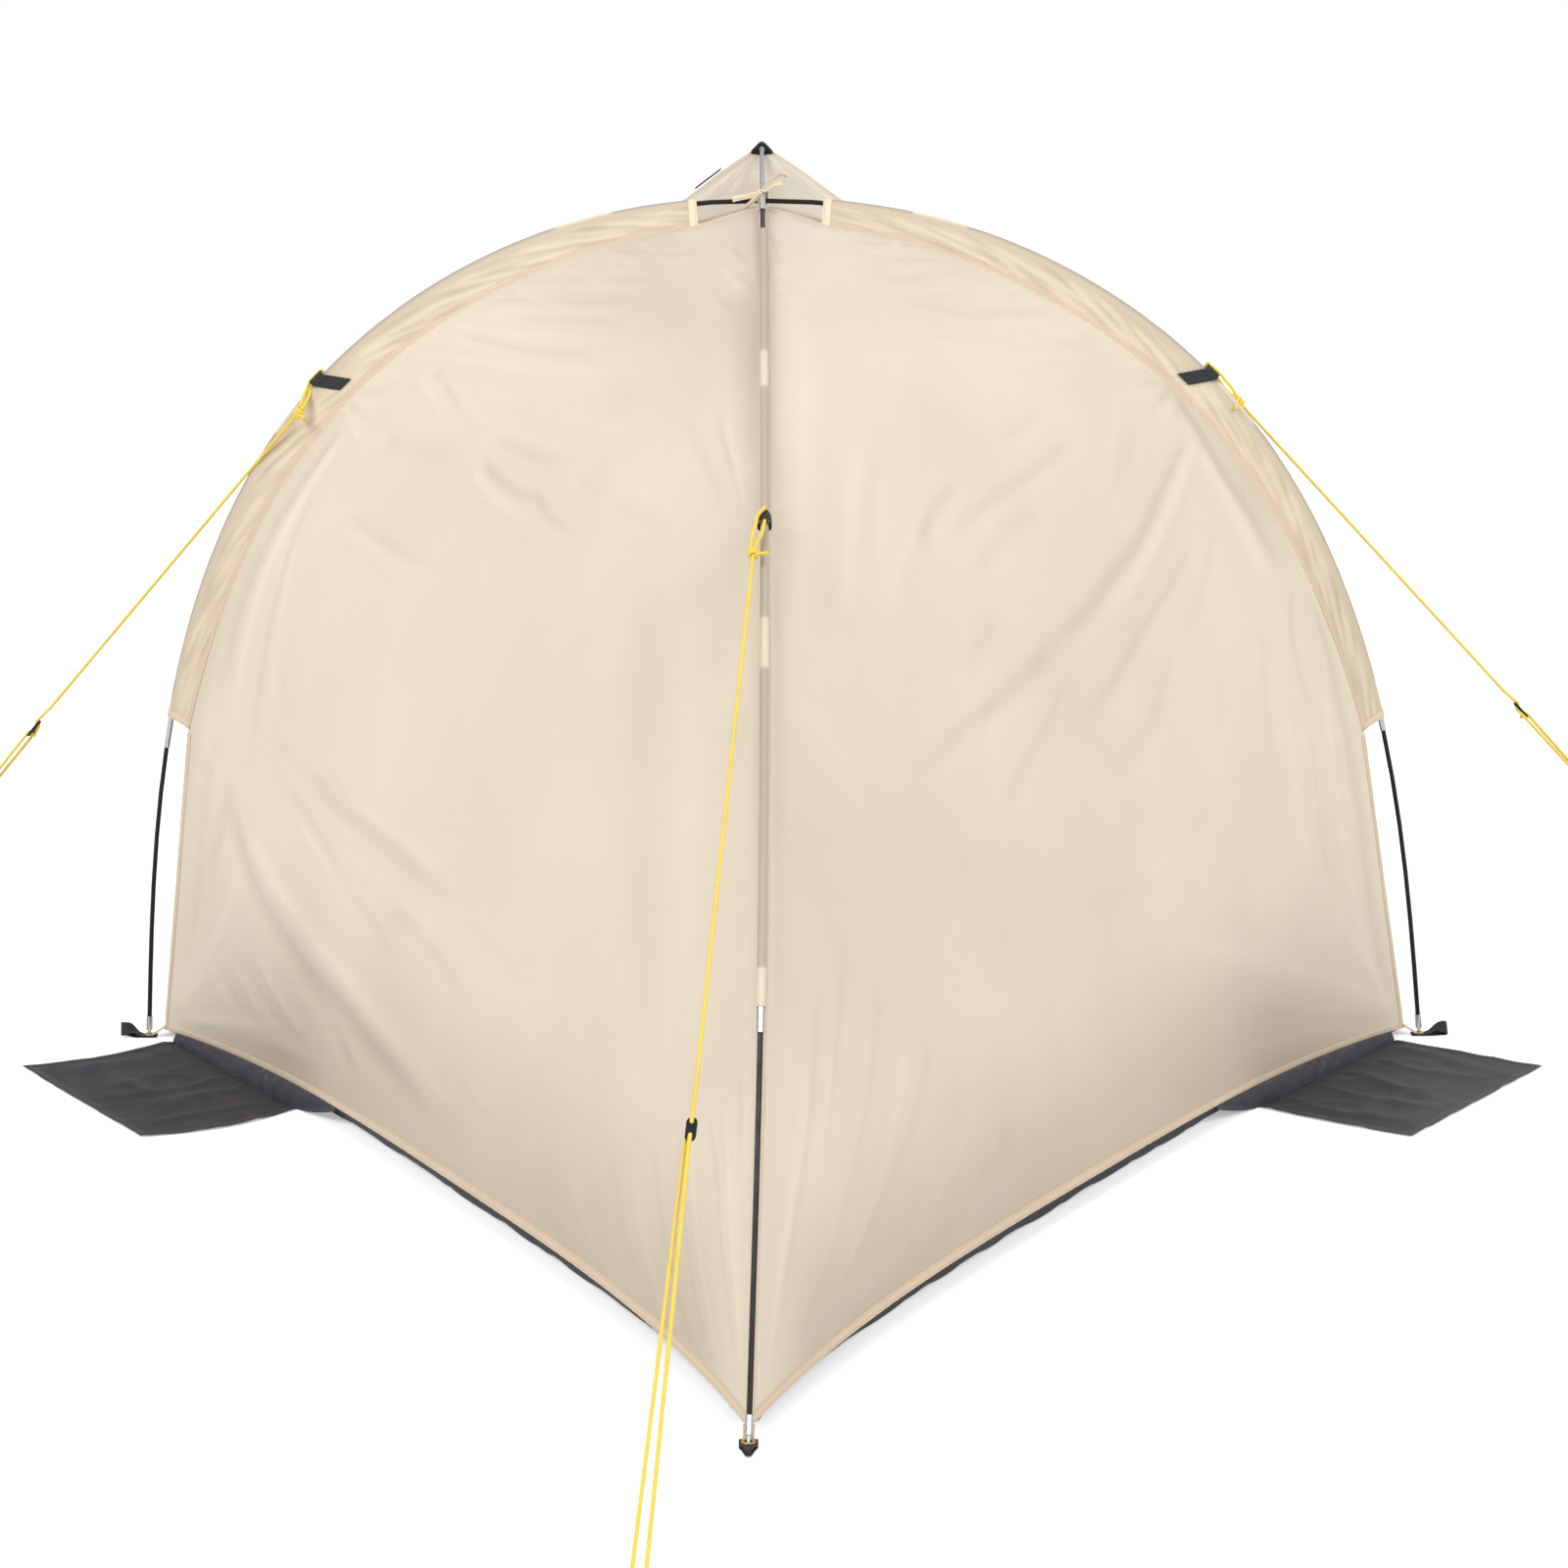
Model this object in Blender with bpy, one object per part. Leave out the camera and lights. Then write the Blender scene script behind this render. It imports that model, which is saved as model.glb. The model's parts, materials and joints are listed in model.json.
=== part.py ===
"""Beach tent: an arch pole and a ridge pole, two back walls, a brow, a groundsheet, sand flaps and guy lines.

Metres, +Z up. The tent stands on z = 0, its open front faces +Y and its back corner points to -Y.
"""
import math

import bmesh
import bpy
import numpy as np
from mathutils import Matrix, Vector

# Pole curves, as the poles stand when bent into the tent. Shares are of the half span, height and reach.
FOOT_HALF_SPAN = 1.100
ARCH_TOP_HEIGHT = 1.4425
ARCH_HALF_SHARES = [(1.0, 0.0), (0.928182, 0.4), (0.707273, 0.761872), (0.272727, 0.973657)]
ARCH_SKEW = -0.037
ARCH_LEAN_SLOPE = -0.072
BACK_LENGTH = 1.882
RIDGE_RISE = 0.011
RIDGE_LOW_SHARES = [
    (-0.050909, -1.0, 0.0), (-0.035909, -0.849097, 0.349393),
    (-0.031364, -0.625930, 0.628076), (-0.031364, -0.369819, 0.854766),
]
RIDGE_CROSSING_SHARE = -0.055260
RIDGE_FRONT_SHARES = (-0.034545, 0.225292, 1.038475)
ARCH_SECTIONS = 7
RIDGE_SECTIONS = 5
ARCH_JOINT_SHIFT = 0.016

# Poles, ferrules and tips
ROD_RADIUS = 0.00395
ROD_BORE_RADIUS = 0.0024
ROD_END_GAP = 0.00025
FERRULE_LENGTH = 0.088
FERRULE_RADIUS = 0.0051
FERRULE_BORE_RADIUS = 0.00445
TIP_PIN_RADIUS = 0.0028
TIP_NOSE_RADIUS = 0.0013
TIP_NOSE_LENGTH = 0.0020
TIP_PIN_LENGTH = 0.0115
TIP_CUP_LENGTH = 0.026
TIP_SHOULDER_LENGTH = 0.0006
TIP_FLOOR_GAP = 0.0012
TIP_CUP_FLOOR = 0.0030
SHOCK_CORD_RADIUS = 0.00125
SHOCK_CORD_END_GAP = 0.0015
ROD_SIDES = 10
FERRULE_SIDES = 12
SHOCK_CORD_SIDES = 5
ROD_INNER_STEPS = 7
SHOCK_CORD_STEPS_PER_SECTION = 8

# Fabric thicknesses and seam gaps
CLOTH_THICKNESS = 0.0012
SEAM_GAP = 0.0008
LAP_GAP = 0.0004

# Pole sleeves
SLEEVE_WALL = 0.0008
ARCH_SLEEVE_RADIUS = 0.0076
RIDGE_SLEEVE_RADIUS = 0.0070
SLEEVE_OUTER_TURNS = (120, 90, 60, 30, 0, -30, -60, -90, -120)
SLEEVE_BACK_TURNS = (-150, -172, 172, 150)
BAND_WIDTH = 0.060
BAND_HALF_THICKNESS = 0.0010
BAND_NECK = 0.0140
BAND_INWARD_SHARE = 0.58
BAND_INWARD_SWELL_SHARE = 0.24
ARCH_SLEEVE_FOOT_LENGTH = 0.580
ARCH_SLEEVE_LEFT_TOP_GAP = 0.108
ARCH_SLEEVE_RIGHT_TOP_GAP = 0.100
RIDGE_SLEEVE_FOOT_LENGTH = 0.574
RIDGE_SLEEVE_TOP_GAP = 0.125
RIDGE_BAND_WIDTH = 0.0106
RIDGE_BAND_NECK = 0.0090
RIDGE_SEAM_DEPTH = 0.0116
CROSSING_SEAM_DEPTH = 0.035

# Walls and their hem
WALL_CORNER_INSET = 0.028
WALL_CORNER_HEIGHT = 0.014
WALL_FOOT_SETBACK = 0.024
HEM_SAG = 0.060
HEM_SAG_POWER = 3.2
HEM_LIFT = 0.020
WALL_LOW_ROWS = 6
WALL_SEAM_ROWS = 19
WALL_COLUMNS = 10
WALL_TOP_HALF_WIDTH = 0.020
RIDGE_SEAM_HALF_GAP = 0.0011

# Groundsheet with its raised rim
SHEET_THICKNESS = 0.0014
RIM_RUN = 0.030
RIM_GAP = 0.0005
SHEET_COLUMNS = 6
SHEET_FRONT_REACH = 0.050
SHEET_END_SHARE = 0.970
RIM_MAX_SHARE = 0.32

# Sand flaps and their gussets
FLAP_REACH = 0.275
FLAP_START_SHARE = 0.020
FLAP_END_SHARE = 0.240
FLAP_START_INSET = -0.003
FLAP_END_INSET = 0.036
SEAM_STEP = 0.0003
FLAP_FLOOR_GAP = 0.0004
GUSSET_FLOOR_GAP = 0.0012
GUSSET_HEM_DROP = 0.0006
GUSSET_BULGE_SHARE = 0.7
GUSSET_SHARES = [0.020, 0.060, 0.100, 0.133, 0.167, 0.200, 0.240]
FLAP_STEPS = 8
FLAP_ROWS = 5
FLAP_RIPPLE = 0.0016
FLAP_RIPPLE_TURNS = 2.5

# Brow over the entrance
BROW_FIRST_STATION = 8
BROW_ROWS = 6
BROW_EDGE_SAG = 0.014
BROW_BELOW_POLE = 0.0105
BROW_SEAM_DROP = 0.00195
BROW_SEAM_ADVANCE = 0.0030
BROW_END_REACH = 0.030
BROW_TIP_OVERHANG = 0.002

# Peak cap, in the plane across the ridge pole
CAP_LENGTH = 0.040
CAP_FRONT_WALL = 0.004
CAP_BORE_RADIUS = 0.0056
CAP_OUTLINE = [
    (0.019, -0.0062), (0.0085, 0.0045), (0.0045, 0.0085), (0.0, 0.0098),
    (-0.0045, 0.0085), (-0.0085, 0.0045), (-0.019, -0.0062), (-0.018, -0.0088),
    (-0.0080, -0.0074), (0.0, -0.0078), (0.0080, -0.0074), (0.018, -0.0088),
]

# Foot straps and eyelets
STRAP_WIDTH = 0.020
STRAP_THICKNESS = 0.0011
STRAP_INNER_REACH = 0.014
STRAP_OUTER_REACH = 0.048
STRAP_FLOOR_GAP = 0.0003
STRAP_LAYER_GAP = 0.0006
STRAP_LOOP_HEIGHT = 0.010
PIN_CLEARANCE = 0.0008
EYELET_FLANGE = 0.0043
EYELET_HEIGHT = 0.0022
EYELET_ROUND = 0.0007
ROUND_SIDES = 20

# Guy tabs
TAB_WIDTH = 0.024
TAB_THICKNESS = 0.0012
TAB_CLEARANCE = 0.0016
TAB_LAP_GAP = 0.0008
TAB_NOSE_SHARE = 0.45
TAB_ROUND_SHARES = [(1.0, 0.88), (0.0, 1.06), (-0.62, 0.92)]
TAB_LAP = 0.038
TAB_REACH = 0.0155
RIDGE_TAB_LAP = 0.0102
RIDGE_TAB_REACH = 0.019
ARCH_TAB_LEFT_SHARE = 0.3030
ARCH_TAB_RIGHT_SHARE = 0.6930
RIDGE_TAB_SHARE = 0.487

# Guy lines and runners
LINE_RADIUS = 0.0015
LINE_GAP = 0.0006
LINE_END_HEIGHT = 0.050
END_LEFT = (-1.688, 0.200)
END_RIGHT = (1.740, 0.200)
END_BACK = (-0.181, -2.490)
KNOT_DISTANCE = 0.058
KNOT_TURNS = 2
KNOT_LENGTH = 0.014
KNOT_TAIL = 0.022
KNOT_TURN_STEPS = 8
TAIL_STEPS = 3
TAIL_SIDE_SHARE = 0.25
TAIL_LIFT_SHARE = 0.40
LOOP_NECK_SHARE = 0.9
EYE_STEPS = 5
TURNED_SHARE = 0.9
INSIDE_SHARE = 0.4
STRAND_STEPS = 4
TURN_STEPS = 6
RUNNER_LEFT_SHARE = 0.573
RUNNER_RIGHT_SHARE = 0.545
RUNNER_BACK_SHARE = 0.625
RUNNER_LENGTH = 0.038
RUNNER_WIDTH = 0.014
RUNNER_THICKNESS = 0.0042
RUNNER_HOLE_RADIUS = 0.0024
RUNNER_HOLE_SPACING = 0.020
RUNNER_BEVEL = 0.0012
RUNNER_END_STEPS = 4
STRAND_SPREAD = 0.0085
END_KNOT_RADIUS = 0.0034
KNOT_SIDES = 10
KNOT_FLATNESS = 0.8
KNOT_SLICES = (-0.9, -0.5, 0.0, 0.5, 0.9)

# Crossing tie and the strap on the brow's edge
TIE_WIDTH = 0.009
TIE_THICKNESS = 0.0010
TIE_LOOP_POINTS = [
    (0.0, 0.0195), (-0.008, 0.0185), (-0.014, 0.0140), (-0.016, 0.0060), (-0.013, -0.0012), (-0.007, -0.0053),
    (0.0, -0.0056), (0.007, -0.0053), (0.013, -0.0012), (0.016, 0.0060), (0.014, 0.0140), (0.008, 0.0195),
]
TIE_KNOT_CENTRE = (0.0, 0.0, 0.0225)
TIE_KNOT_RADIUS = 0.0055
TIE_KNOT_SIDES = 10
TIE_TAIL_POINTS = [
    [(-0.002, 0.0, 0.0220), (-0.018, -0.008, 0.0215), (-0.034, -0.013, 0.0080), (-0.048, -0.016, -0.0080)],
    [(-0.001, -0.002, 0.0235), (-0.014, -0.014, 0.0180), (-0.024, -0.020, 0.0020), (-0.027, -0.022, -0.0150)],
    [(0.002, 0.001, 0.0240), (0.016, -0.002, 0.0290), (0.032, -0.004, 0.0350), (0.045, -0.004, 0.0400)],
    [(0.002, -0.001, 0.0215), (0.015, -0.010, 0.0225), (0.027, -0.012, 0.0250), (0.037, -0.012, 0.0250)],
]
STRAP_TAB_WIDTH = 0.010
STRAP_TAB_THICKNESS = 0.0012
STRAP_TAB_STEPS = 3
STRAP_TAB_START_SHARE = 0.86
STRAP_TAB_END_SHARE = 0.93
STRAP_TAB_STANDOFF = 0.0017

# Six stands in the equations of a natural cubic spline
SPLINE_SIX = 6
PATH_SAMPLES = 1200
HALF = 0.5

COLOURS = {
    "rod": ((0.012, 0.012, 0.013), 0.35, 0.0),
    "steel": ((0.62, 0.63, 0.64), 0.28, 1.0),
    "shock": ((0.78, 0.78, 0.76), 0.7, 0.0),
    "sand": ((0.79, 0.69, 0.55), 0.6, 0.0),
    "peach": ((0.83, 0.64, 0.46), 0.7, 0.0),
    "grey": ((0.055, 0.055, 0.062), 0.75, 0.0),
    "webbing": ((0.035, 0.036, 0.040), 0.8, 0.0),
    "black": ((0.010, 0.010, 0.011), 0.45, 0.0),
    "brass": ((0.70, 0.48, 0.18), 0.3, 1.0),
    "yellow": ((0.90, 0.62, 0.06), 0.6, 0.0),
}


def clear_scene():
    for item in list(bpy.data.objects):
        bpy.data.objects.remove(item, do_unlink=True)


def material(node, kind):
    colour, rough, metal = COLOURS[kind]
    made = bpy.data.materials.new(node)
    made.use_nodes = True
    shader = made.node_tree.nodes["Principled BSDF"]
    shader.inputs["Base Color"].default_value = (*colour, 1.0)
    shader.inputs["Roughness"].default_value = rough
    shader.inputs["Metallic"].default_value = metal
    return made


def finish_mesh(node, kind, verts, faces, smooth=True):
    """One closed body from its vertices and faces, with its normals out."""
    mesh = bpy.data.meshes.new(node)
    mesh.from_pydata([tuple(v) for v in verts], [], faces)
    work = bmesh.new()
    work.from_mesh(mesh)
    bmesh.ops.recalc_face_normals(work, faces=work.faces)
    work.to_mesh(mesh)
    work.free()
    for polygon in mesh.polygons:
        polygon.use_smooth = smooth
    mesh.materials.append(material(node, kind))
    item = bpy.data.objects.new(node, mesh)
    bpy.context.scene.collection.objects.link(item)
    return item


class Path:
    """A smooth curve through points, measured along its length."""

    def __init__(self, points):
        knots = np.array(points, dtype=float)
        steps = np.sqrt((np.diff(knots, axis=0) ** 2).sum(axis=1))
        at = np.concatenate([[0.0], np.cumsum(steps)])
        dense = np.linspace(0.0, at[-1], PATH_SAMPLES)
        self.points = np.stack([natural_spline(at, knots[:, k], dense) for k in range(3)], axis=1)
        runs = np.sqrt((np.diff(self.points, axis=0) ** 2).sum(axis=1))
        self.along = np.concatenate([[0.0], np.cumsum(runs)])
        self.length = float(self.along[-1])

    def at(self, distance):
        return Vector([float(np.interp(distance, self.along, self.points[:, k])) for k in range(3)])

    def tangent(self, distance):
        step = self.length / PATH_SAMPLES
        low = max(0.0, distance - step)
        high = min(self.length, distance + step)
        return (self.at(high) - self.at(low)).normalized()


def natural_spline(at, values, wanted):
    """Natural cubic spline through values at the given distances."""
    count = len(at)
    gap = np.diff(at)
    matrix = np.eye(count)
    right = np.zeros(count)
    for k in range(1, count - 1):
        matrix[k, k - 1] = gap[k - 1]
        matrix[k, k] = 2 * (gap[k - 1] + gap[k])
        matrix[k, k + 1] = gap[k]
        slope_on = (values[k + 1] - values[k]) / gap[k]
        slope_back = (values[k] - values[k - 1]) / gap[k - 1]
        right[k] = SPLINE_SIX * (slope_on - slope_back)
    bend = np.linalg.solve(matrix, right)
    where = np.clip(np.searchsorted(at, wanted) - 1, 0, count - 2)
    left = wanted - at[where]
    rest = at[where + 1] - wanted
    span = gap[where]
    curve = (bend[where] * rest ** 3 + bend[where + 1] * left ** 3) / (SPLINE_SIX * span)
    curve += (values[where] / span - bend[where] * span / SPLINE_SIX) * rest
    curve += (values[where + 1] / span - bend[where + 1] * span / SPLINE_SIX) * left
    return curve


def loft(node, kind, outer, inner=None, blind=False, smooth=True):
    """Skin through outer loops; inner loops make a bore from the last loop back, through or blind."""
    count = len(outer[0])
    verts = [p for loop in outer for p in loop]
    faces = []
    for k in range(len(outer) - 1):
        faces += band_faces(k * count, (k + 1) * count, count)
    last = (len(outer) - 1) * count
    if inner is None:
        faces.append(list(range(count)))
        faces.append(list(range(last, last + count)))
        return finish_mesh(node, kind, verts, faces, smooth)
    base = len(verts)
    verts += [p for loop in inner for p in loop]
    for k in range(len(inner) - 1):
        faces += band_faces(base + k * count, base + (k + 1) * count, count)
    deep = base + (len(inner) - 1) * count
    faces += band_faces(last, base, count)
    if blind:
        faces.append(list(range(count)))
        faces.append(list(range(deep, deep + count)))
    else:
        faces += band_faces(0, deep, count)
    return finish_mesh(node, kind, verts, faces, smooth)


def band_faces(first, second, count):
    faces = []
    for k in range(count):
        nxt = (k + 1) % count
        faces.append([first + k, first + nxt, second + nxt, second + k])
    return faces


def circle_at(centre, one, two, radius, sides):
    loop = []
    for k in range(sides):
        turn = 2 * math.pi * k / sides
        loop.append(centre + one * (radius * math.cos(turn)) + two * (radius * math.sin(turn)))
    return loop


def profile_at(centre, one, two, profile):
    return [centre + one * p + two * q for p, q in profile]


def sheet(node, kind, grid, thickness):
    """A closed cloth from a grid of points, half its thickness to each side."""
    rows = len(grid)
    columns = len(grid[0])
    normals = grid_normals(grid)
    top = []
    under = []
    for r in range(rows):
        for c in range(columns):
            top.append(grid[r][c] + normals[r][c] * (thickness * HALF))
            under.append(grid[r][c] - normals[r][c] * (thickness * HALF))
    base = rows * columns
    faces = []
    for r in range(rows - 1):
        for c in range(columns - 1):
            k = r * columns + c
            faces.append([k, k + 1, k + columns + 1, k + columns])
            faces.append([base + k, base + k + columns, base + k + columns + 1, base + k + 1])
    rim = [c for c in range(columns)]
    rim += [r * columns + columns - 1 for r in range(1, rows)]
    rim += [(rows - 1) * columns + c for c in range(columns - 2, -1, -1)]
    rim += [r * columns for r in range(rows - 2, 0, -1)]
    for k, here in enumerate(rim):
        after = rim[(k + 1) % len(rim)]
        faces.append([here, after, base + after, base + here])
    return finish_mesh(node, kind, top + under, faces)


def grid_normals(grid):
    rows = len(grid)
    columns = len(grid[0])
    normals = []
    for r in range(rows):
        line = []
        for c in range(columns):
            across = grid[r][min(c + 1, columns - 1)] - grid[r][max(c - 1, 0)]
            along = grid[min(r + 1, rows - 1)][c] - grid[max(r - 1, 0)][c]
            line.append(across.cross(along).normalized())
        normals.append(line)
    return normals


def ribbon_outline(path, thickness):
    """Closed outline of a strip: a path and the same path set off to its left."""
    shifted = []
    for k, (p, q) in enumerate(path):
        before = path[max(k - 1, 0)]
        after = path[min(k + 1, len(path) - 1)]
        run = math.hypot(after[0] - before[0], after[1] - before[1])
        left = (-(after[1] - before[1]) / run, (after[0] - before[0]) / run)
        shifted.append((p + left[0] * thickness, q + left[1] * thickness))
    return path + shifted[::-1]


# Pole curves


def arch_path():
    half = [(FOOT_HALF_SPAN * across, ARCH_TOP_HEIGHT * up) for across, up in ARCH_HALF_SHARES]
    flat = [(-x, z) for x, z in half] + [(0.0, ARCH_TOP_HEIGHT)] + [(x, z) for x, z in reversed(half)]
    points = []
    for x, z in flat:
        points.append((x + ARCH_SKEW * z / ARCH_TOP_HEIGHT, ARCH_LEAN_SLOPE * z, z))
    return Path(points)


def ridge_point(shares):
    across, back, up = shares
    return FOOT_HALF_SPAN * across, BACK_LENGTH * back, ARCH_TOP_HEIGHT * up


RIDGE_CROSSING_POINT = (ARCH_SKEW, BACK_LENGTH * RIDGE_CROSSING_SHARE, ARCH_TOP_HEIGHT + RIDGE_RISE)


def ridge_path():
    low = [ridge_point(shares) for shares in RIDGE_LOW_SHARES]
    return Path(low + [RIDGE_CROSSING_POINT, ridge_point(RIDGE_FRONT_SHARES)])


ARCH = arch_path()
RIDGE = ridge_path()
ARCH_NORMAL = Vector((0.0, 1.0, -ARCH_LEAN_SLOPE)).normalized()
ARCH_CROSSING = float(np.interp(ARCH_SKEW, ARCH.points[:, 0], ARCH.along))
SECTION_HALF_FERRULE = FERRULE_LENGTH * HALF


def half_arch(side):
    """Length of the arch from its left or right foot up to the crossing."""
    return ARCH_CROSSING if side < 0 else ARCH.length - ARCH_CROSSING


def from_foot(side, distance):
    """The arch's own measure for a distance counted from its left or right foot."""
    return distance if side < 0 else ARCH.length - distance


def arch_out(distance):
    """Direction away from the tent, in the arch's plane."""
    return ARCH_NORMAL.cross(ARCH.tangent(distance)).normalized() * -1.0


def ridge_out(distance):
    """Direction away from the tent, in the ridge pole's plane."""
    across = Vector((1.0, 0.0, 0.0))
    return across.cross(RIDGE.tangent(distance)).normalized()


def ridge_across(distance):
    return RIDGE.tangent(distance).cross(ridge_out(distance)).normalized()


def pole_frame(which, distance):
    if which is ARCH:
        return arch_out(distance), ARCH_NORMAL
    return ridge_out(distance), ridge_across(distance)


def ring(which, distance, radius, sides):
    out, side = pole_frame(which, distance)
    return circle_at(which.at(distance), out, side, radius, sides)


def build_pole(which, label, sections, shift):
    """Rods that meet inside ferrules, and a tip at each end."""
    section = which.length / sections
    joints = [0.0] + [section * k - shift for k in range(1, sections)] + [which.length]
    socket = TIP_FLOOR_GAP + TIP_PIN_LENGTH + TIP_CUP_FLOOR + ROD_END_GAP
    cup_end = TIP_FLOOR_GAP + TIP_PIN_LENGTH + TIP_CUP_LENGTH
    for k in range(sections):
        start = joints[k] + ROD_END_GAP
        near = joints[k] + SECTION_HALF_FERRULE
        if k == 0:
            start = socket
            near = cup_end
        end = joints[k + 1] - ROD_END_GAP
        far = joints[k + 1] - SECTION_HALF_FERRULE
        if k == sections - 1:
            end = which.length - socket
            far = which.length - cup_end
        stations = [start] + list(np.linspace(near, far, ROD_INNER_STEPS)) + [end]
        outer = [ring(which, s, ROD_RADIUS, ROD_SIDES) for s in stations]
        inner = [ring(which, s, ROD_BORE_RADIUS, ROD_SIDES) for s in reversed(stations)]
        loft(f"{label}_rod_{k + 1}", "rod", outer, inner)
    for k in range(1, sections):
        stations = [joints[k] - SECTION_HALF_FERRULE, joints[k], joints[k] + SECTION_HALF_FERRULE]
        outer = [ring(which, s, FERRULE_RADIUS, FERRULE_SIDES) for s in stations]
        inner = [ring(which, s, FERRULE_BORE_RADIUS, FERRULE_SIDES) for s in reversed(stations)]
        loft(f"{label}_ferrule_{k}", "steel", outer, inner)
    cord_start = socket + SHOCK_CORD_END_GAP
    steps = SHOCK_CORD_STEPS_PER_SECTION * sections
    stations = np.linspace(cord_start, which.length - cord_start, steps)
    rings = [ring(which, s, SHOCK_CORD_RADIUS, SHOCK_CORD_SIDES) for s in stations]
    loft(f"{label}_shock_cord", "shock", rings)


def build_tip(which, node, from_start):
    """A steel end cap with a blind socket for the rod and a pin below it."""
    def place(depth):
        return depth if from_start else which.length - depth
    nose = TIP_FLOOR_GAP
    pin = nose + TIP_PIN_LENGTH
    outer = [
        ring(which, place(nose), TIP_NOSE_RADIUS, FERRULE_SIDES),
        ring(which, place(nose + TIP_NOSE_LENGTH), TIP_PIN_RADIUS, FERRULE_SIDES),
        ring(which, place(pin), TIP_PIN_RADIUS, FERRULE_SIDES),
        ring(which, place(pin + TIP_SHOULDER_LENGTH), FERRULE_RADIUS, FERRULE_SIDES),
        ring(which, place(pin + TIP_CUP_LENGTH), FERRULE_RADIUS, FERRULE_SIDES),
    ]
    inner = [
        ring(which, place(pin + TIP_CUP_LENGTH), FERRULE_BORE_RADIUS, FERRULE_SIDES),
        ring(which, place(pin + TIP_CUP_FLOOR), FERRULE_BORE_RADIUS, FERRULE_SIDES),
    ]
    loft(node, "steel", outer, inner, blind=True)


# Seams: the line where a sleeve's band meets the wall


def seam_share(distance):
    """0 at a sleeve's lower end, 1 at the crossing, on either side of the arch."""
    side = -1 if distance < ARCH_CROSSING else 1
    up = from_foot(side, distance)
    return max(0.0, min(1.0, (up - ARCH_SLEEVE_FOOT_LENGTH) / (half_arch(side) - ARCH_SLEEVE_FOOT_LENGTH)))


def band_direction(distance):
    """From the arch rod towards the seam: partly inwards, partly to the back."""
    inward = BAND_INWARD_SHARE + BAND_INWARD_SWELL_SHARE * math.sin(math.pi * seam_share(distance))
    backward = math.sqrt(1 - inward ** 2)
    return (arch_out(distance) * -inward - ARCH_NORMAL * backward).normalized()


def band_side(distance):
    return ARCH.tangent(distance).cross(band_direction(distance)).normalized()


def seam_point(distance, extra=0.0):
    return ARCH.at(distance) + band_direction(distance) * (BAND_WIDTH + extra)


def seam_stations(side):
    top = half_arch(side) - WALL_TOP_HALF_WIDTH
    return [float(s) for s in np.linspace(ARCH_SLEEVE_FOOT_LENGTH, top, WALL_SEAM_ROWS)]


RIDGE_CROSSING = float(np.interp(RIDGE_CROSSING_POINT[1], RIDGE.points[:, 1], RIDGE.along))
RIDGE_WALL_TOP = RIDGE_CROSSING - BAND_WIDTH
RIDGE_SLEEVE_TOP = RIDGE_CROSSING - RIDGE_SLEEVE_TOP_GAP


def ridge_stations():
    """Where the wall's rows meet the ridge, from the back foot to the crossing."""
    rows = WALL_LOW_ROWS + WALL_SEAM_ROWS
    return [float(s) for s in np.linspace(WALL_FOOT_SETBACK, RIDGE_WALL_TOP, rows)]


def ridge_seam(distance):
    depth = RIDGE_SEAM_DEPTH
    if distance > RIDGE_SLEEVE_TOP:
        share = (distance - RIDGE_SLEEVE_TOP) / (RIDGE_WALL_TOP - RIDGE_SLEEVE_TOP)
        depth += (CROSSING_SEAM_DEPTH - RIDGE_SEAM_DEPTH) * share ** 2
    return RIDGE.at(distance) - ridge_out(distance) * depth


def wall_corner(side):
    """The wall's lower front corner beside the arch's foot."""
    return Vector((side * (FOOT_HALF_SPAN - WALL_CORNER_INSET), 0.0, WALL_CORNER_HEIGHT))


def back_corner():
    return ridge_seam(WALL_FOOT_SETBACK)


def hem_point(side, share, outset=0.0, height=None):
    """A point of the hem: share 0 at the arch foot, 1 at the back foot."""
    start = wall_corner(side)
    end = back_corner()
    line = end - start
    inward = Vector((-line.y, line.x, 0.0)).normalized()
    if inward.x * side > 0:
        inward = inward * -1.0
    slack = 1 - abs(2 * share - 1) ** HEM_SAG_POWER
    point = start + line * share + inward * (HEM_SAG * slack - outset)
    point.z += HEM_LIFT * slack
    if height is not None:
        point.z = height
    return point


def wall_edge_points(side):
    """The wall's front edge, from its corner up the free edge and along the sleeve's seam."""
    upper = [seam_point(from_foot(side, s), SEAM_GAP) for s in seam_stations(side)]
    low = wall_corner(side)
    first = upper[0]
    lower = [low + (first - low) * (k / WALL_LOW_ROWS) for k in range(WALL_LOW_ROWS)]
    return lower + upper


def hem_edge(side, share, outset=0.0):
    """The hem as the wall's straight facets run, between the wall's columns."""
    at = share * WALL_COLUMNS
    low = min(int(at), WALL_COLUMNS - 1)
    first = hem_point(side, low / WALL_COLUMNS, outset)
    second = hem_point(side, (low + 1) / WALL_COLUMNS, outset)
    return first + (second - first) * (at - low)


def build_wall(node, side):
    edge = wall_edge_points(side)
    shift = Vector((side * RIDGE_SEAM_HALF_GAP, 0.0, 0.0))
    ridge = [ridge_seam(s) + shift for s in ridge_stations()]
    rows = len(edge)
    grid = []
    for r in range(rows):
        up = r / (rows - 1)
        line = []
        for c in range(WALL_COLUMNS + 1):
            across = c / WALL_COLUMNS
            hem = hem_point(side, 1 - across) + shift * (1 - across)
            top = ridge[-1] + (edge[-1] - ridge[-1]) * across
            ruled = ridge[r] * (1 - across) + edge[r] * across
            lofted = hem * (1 - up) + top * up
            low = ridge[0] * (1 - across) + edge[0] * across
            high = ridge[-1] * (1 - across) + edge[-1] * across
            line.append(ruled + lofted - low * (1 - up) - high * up)
        grid.append(line)
    sheet(node, "sand", grid, CLOTH_THICKNESS)


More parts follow.
